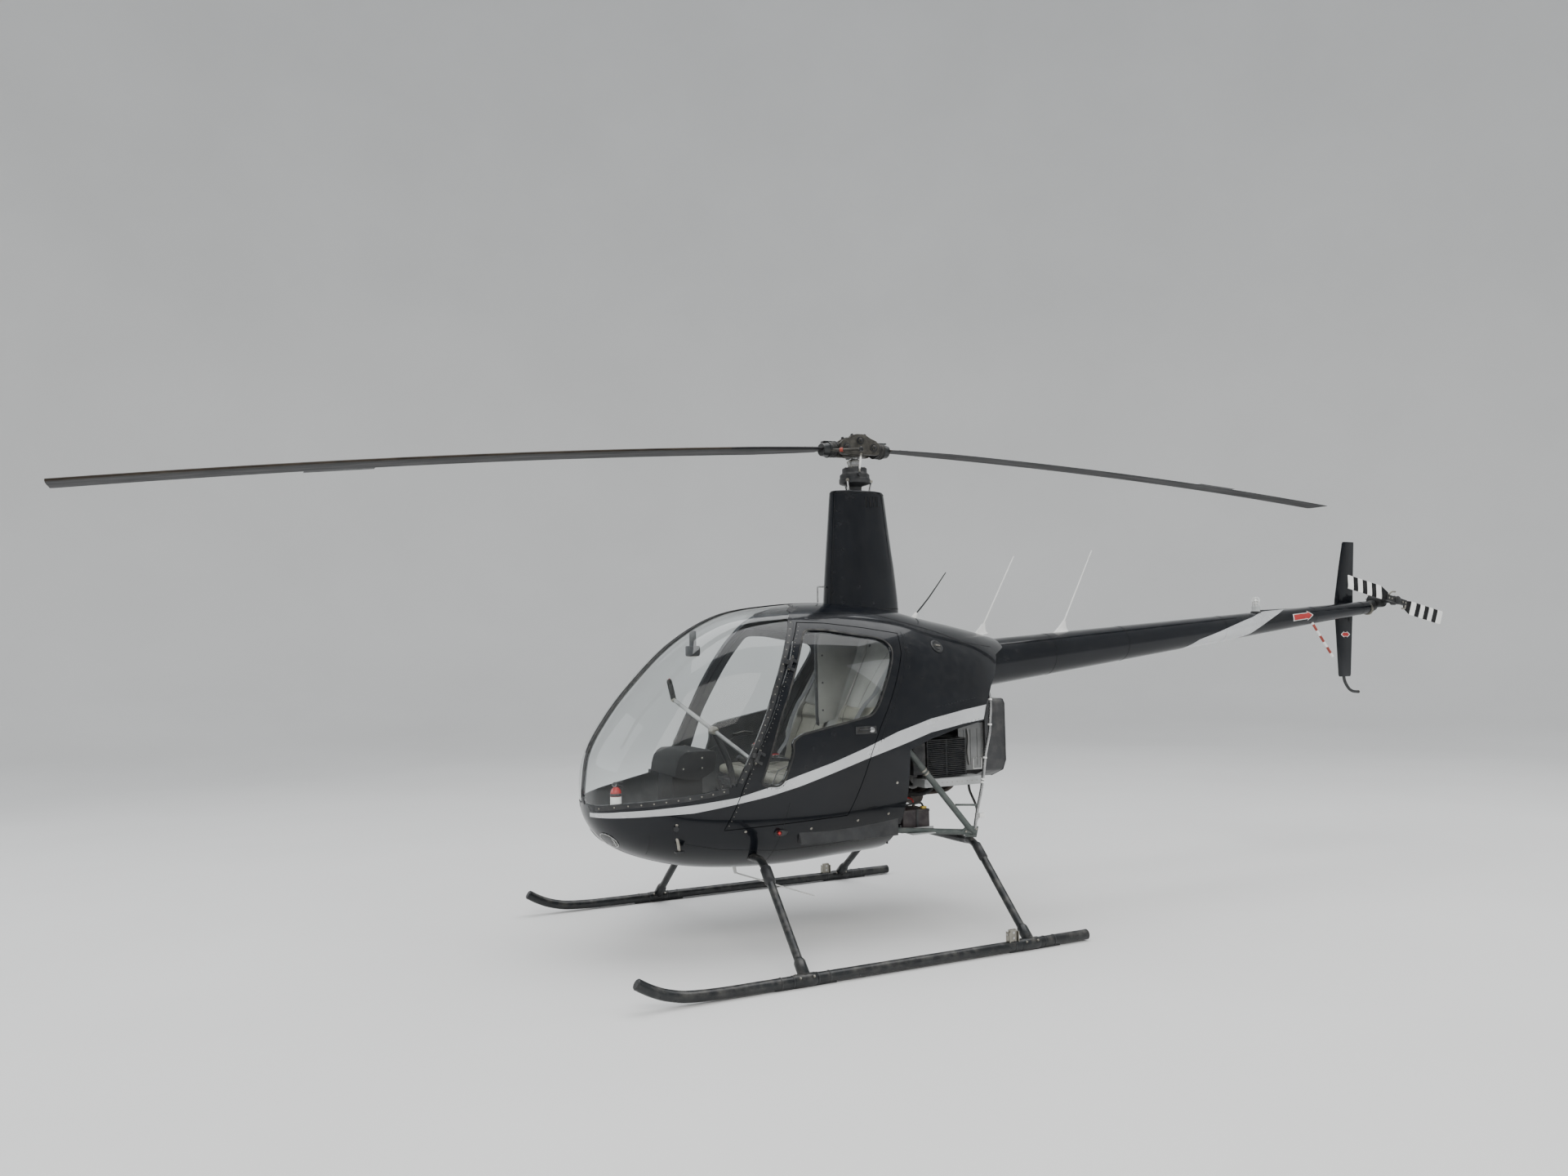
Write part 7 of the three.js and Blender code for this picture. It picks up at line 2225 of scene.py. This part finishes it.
def build_fan():
    """Cooling fan with its blades and ring."""
    fan = Piece("cooling_fan_wheel", "fan")
    fan.turned([(0.012, 0.0), (0.058, 0.0), (0.06, 0.003), (0.06, 0.05), (0.05, 0.0565), (0.02, 0.059),
                (0, 0.0595)], ALLOY, (-0.7004, 0, FAN_Z), (-1, 0, 0), 40)
    fan.turned([(0.0, 0.0), (0.165, 0.0), (0.165, 0.009), (0.0, 0.0095)], ALLOY, (-0.7055, 0, FAN_Z),
               (-1, 0, 0), 56)
    fan.turned([(0.141, 0.0), (0.164, 0.0), (0.1645, 0.006), (0.141, 0.0062), (0.141, 0.0)], ALLOY,
               (-0.7555, 0, FAN_Z), (-1, 0, 0), 56)
    for k in range(28):
        turn = 2 * math.pi * k / 28
        a, b = turn, turn + 0.16
        inner = np.array([-0.7145, 0.1415 * math.cos(a), FAN_Z + 0.1415 * math.sin(a)])
        outer = np.array([-0.7145, 0.163 * math.cos(b), FAN_Z + 0.163 * math.sin(b)])
        quad = [inner, outer, outer + (-0.0415, 0, 0), inner + (-0.0415, 0, 0)]
        thick = np.cross(outer - inner, (1, 0, 0))
        thick = thick / np.linalg.norm(thick) * 0.0012
        verts = [q - thick for q in quad] + [q + thick for q in quad]
        fan.add(verts, BOX_FACES, ALLOY)
    for k in range(6):
        turn = math.radians(60 * k)
        fan.turned(bolt_head(0.005, 0.004, 0.005), ZINC,
                   (-0.7585, 0.038 * math.cos(turn), FAN_Z + 0.038 * math.sin(turn)), (-1, 0, 0), 6)
    fan.done("cooling_fan")


MUFFLER_END = (-0.33, -0.29, 0.648)


def build_muffler():
    """Muffler with its bands, tail pipe and inlet."""
    muffler = Piece("muffler_can")
    can = [(0, 0), (0.03, 0.0), (0.044, 0.006), (0.048, 0.014), (0.048, 0.336), (0.044, 0.344),
           (0.03, 0.35), (0, 0.35)]
    muffler.turned(can, EXHAUST, MUFFLER_END, (0, 1, 0), 40)
    for h in (0.05, 0.175, 0.3):
        muffler.turned([(0.0481, h - 0.008), (0.0496, h - 0.006), (0.0496, h + 0.006), (0.0481, h + 0.008)],
                       EXHAUST, MUFFLER_END, (0, 1, 0), 40)
    muffler.tube([(-0.33, -0.242, 0.64), (-0.34, -0.246, 0.605), (-0.352, -0.254, 0.568),
                  (-0.36, -0.26, 0.54)], [0.024, 0.024, 0.0235, 0.0235], EXHAUST, 24, 3)
    muffler.turned([(0.0205, 0), (0.0238, 0.0), (0.0238, 0.004), (0.0205, 0.004)], EXHAUST,
                   (-0.3595, -0.2597, 0.5405), (-0.26, -0.2, -1), 24)
    muffler.tube([(-0.33, -0.06, 0.66), (-0.33, -0.06, 0.6995)], 0.0218, EXHAUST, 22)
    muffler.turned([(0.0218, 0), (0.0265, 0.001), (0.0265, 0.007), (0.0218, 0.008)], ZINC,
                   (-0.33, -0.06, 0.69), (0, 0, 1), 22)
    muffler.done("exhaust_muffler")


def build_battery():
    """Battery on its tray with its cables."""
    battery = Piece("battery_and_tray")
    battery.block((-0.2205, 0.1965, 0.5185), (-0.0535, 0.3485, 0.612), BATTERY, 0.004)
    battery.block((-0.222, 0.195, 0.608), (-0.052, 0.35, 0.622), BATTERY, 0.004)
    for y in (0.225, 0.32):
        battery.turned([(0.009, 0), (0.009, 0.01), (0.006, 0.012), (0, 0.012)], ZINC, (-0.2, y, 0.6215),
                       (0, 0, 1), 16)
    battery.block((-0.214, 0.308, 0.6215), (-0.186, 0.334, 0.6345), YELLOW, 0.003)
    battery.block((-0.15, 0.193, 0.5185), (-0.136, 0.352, 0.6235), SATIN, 0.0015)
    battery.slab([(-0.24, 0.5055), (-0.04, 0.5055), (-0.04, 0.5178), (-0.24, 0.5178)], 0.2, 0.355, SHROUD,
                 0.0015)
    battery.block((-0.24, 0.351, 0.5055), (-0.04, 0.356, 0.53), SHROUD, 0.0015)
    battery.block((-0.2, 0.355, 0.5058), (-0.06, 0.438, 0.51), SHROUD, 0.0012)
    battery.tube([(-0.2, 0.225, 0.63), (-0.19, 0.215, 0.66), (-0.12, 0.2, 0.68), (-0.06, 0.19, 0.72),
                  (0.012, 0.19, 0.74)], 0.0055, RED, 10, 6)
    battery.tube([(-0.2, 0.32, 0.632), (-0.17, 0.335, 0.655), (-0.09, 0.335, 0.65), (-0.03, 0.3, 0.64),
                  (0.012, 0.28, 0.64)], 0.0055, RUBBER, 10, 6)
    battery.done("battery")


def build_lines():
    """Drain line with its clamps, and vent hoses."""
    lines = Piece("drain_and_vent_lines")
    drain = [(-0.585, 0.35, 1.285), (-0.592, 0.395, 1.235), (-0.588, 0.416, 1.172), (-0.58, 0.42, 1.095),
             (-0.572, 0.422, 1.019), (-0.541, 0.424, 0.901), (-0.521, 0.426, 0.784), (-0.498, 0.43, 0.69),
             (-0.47, 0.434, 0.6), (-0.448, 0.438, 0.505)]
    lines.tube(drain, 0.0088, STEEL, 16, 5)
    path, _ = curve(drain, 0.0, 5)
    for share in (0.2, 0.4, 0.585, 0.7, 0.728):
        k = int(share * (len(path) - 2))
        lines.turned(collar(0.009, 0.0112, 0.005, 0.004), WHITE, path[k], path[k + 1] - path[k], 18)
    lines.tube([(-0.335, 0.43, 0.643), (-0.43, 0.432, 0.636), (-0.488, 0.431, 0.63)], 0.0058, TRUSS, 12)
    lines.tube([(-0.512, 0.3, 0.742), (-0.52, 0.3, 0.69), (-0.545, 0.32, 0.61), (-0.508, 0.38, 0.56),
                (-0.462, 0.425, 0.532)], 0.0068, RUBBER, 12, 4)
    lines.block((-0.515, 0.418, 0.562), (-0.482, 0.442, 0.588), WHITE, 0.003)
    lines.tube([(-0.5, 0.262, 0.77), (-0.507, 0.29, 0.745), (-0.512, 0.3, 0.742)], 0.0068, RUBBER, 12, 3)
    lines.done()


def build_belly_details():
    """Saddles of the crosstubes at the belly."""
    belly_plate = Piece("belly_fairing_details")
    for side in (1, -1):
        for tube_x, tube_z in ((0.82, 0.464), (-0.44, 0.44)):
            belly_plate.slab([(tube_x - 0.034, tube_z + 0.018), (tube_x + 0.034, tube_z + 0.018),
                              (tube_x + 0.03, tube_z + 0.028), (tube_x - 0.03, tube_z + 0.028)],
                             side * 0.27, side * 0.33, SATIN, 0.002)
    belly_plate.done()


# Studio
STUDIO_X = -0.6


def build_studio():
    """Curved paper floor, four lamps and a pale sky."""
    mesh = bpy.data.meshes.new("studio_floor")
    profile = [(0.0, 0.0), (7.0, 0.0), (11.0, 0.0), (13.5, 0.2), (15.5, 0.9), (17.0, 2.2), (18.0, 4.2),
               (18.5, 7.0), (18.7, 24.0)]
    sides = 96
    turns = around(sides)
    verts = [(STUDIO_X + r * math.cos(u), r * math.sin(u), h) for r, h in profile[1:] for u in turns]
    faces = [tuple(range(sides))]
    faces += [(k * sides + i, k * sides + (i + 1) % sides, (k + 1) * sides + (i + 1) % sides,
               (k + 1) * sides + i) for k in range(len(profile) - 2) for i in range(sides)]
    faces = [f[::-1] if index else f for index, f in enumerate(faces)]
    mesh.from_pydata(verts, [], faces)
    mesh.polygons.foreach_set("use_smooth", [True] * len(faces))
    mesh.materials.append(finish("studio_paper", (0.7, 0.7, 0.69), (0.74, 0.74, 0.73), (0.7, 0.85),
                                 mottle=0.4, grain=60.0, bump=0.05))
    floor = bpy.data.objects.new("studio_floor", mesh)
    bpy.context.scene.collection.objects.link(floor)
    lamps = [("key", (5.5, 9.0, 8.0), 10.0, 1050, (1.0, 0.98, 0.95)),
             ("fill", (10.5, -2.5, 5.5), 8.0, 420, (0.93, 0.96, 1.0)),
             ("rear", (-8.5, 7.5, 6.5), 8.0, 560, (0.97, 0.98, 1.0)),
             ("top", (-0.8, -0.5, 10.0), 12.0, 820, (1, 1, 1))]
    for name, place, size, power, colour in lamps:
        data = bpy.data.lights.new(f"lamp_{name}", "AREA")
        data.shape, data.size, data.size_y = "RECTANGLE", size, size * 0.7
        data.energy, data.color = power, colour
        lamp = bpy.data.objects.new(f"lamp_{name}", data)
        lamp.location = place
        aim = Vector((STUDIO_X, 0, 1.2)) - Vector(place)
        lamp.rotation_euler = aim.to_track_quat("-Z", "Y").to_euler()
        lamp.visible_camera = False
        lamp.visible_glossy = name == "top"
        bpy.context.scene.collection.objects.link(lamp)
    world = bpy.data.worlds.new("studio_world")
    world.use_nodes = True
    world.node_tree.nodes["Background"].inputs["Color"].default_value = (0.74, 0.78, 0.84, 1)
    world.node_tree.nodes["Background"].inputs["Strength"].default_value = 0.75
    bpy.context.scene.world = world


for build in (
        build_tub, build_roof, build_cowl, build_doors, build_windshield, build_hub, build_blades,
        build_fairing, build_swashplates, build_shaft, build_boom, build_swoosh, build_plates,
        build_tail_gearbox, build_tail_rotor, build_fin, build_stabiliser, build_skids,
        build_crosstubes, build_truss, build_lining, build_keel_panel, build_bulkhead_trim,
        build_seat_base, build_console, build_cyclic, build_levers, build_compass, build_seats,
        build_windshield_frame, build_seams, build_door_fittings, build_lamps, build_beacon,
        build_antennas, build_guard_rod, build_fire_bottle, build_pitot, build_engine_block,
        build_shroud, build_fan, build_muffler, build_battery, build_lines, build_belly_details,
        build_studio):
    build()
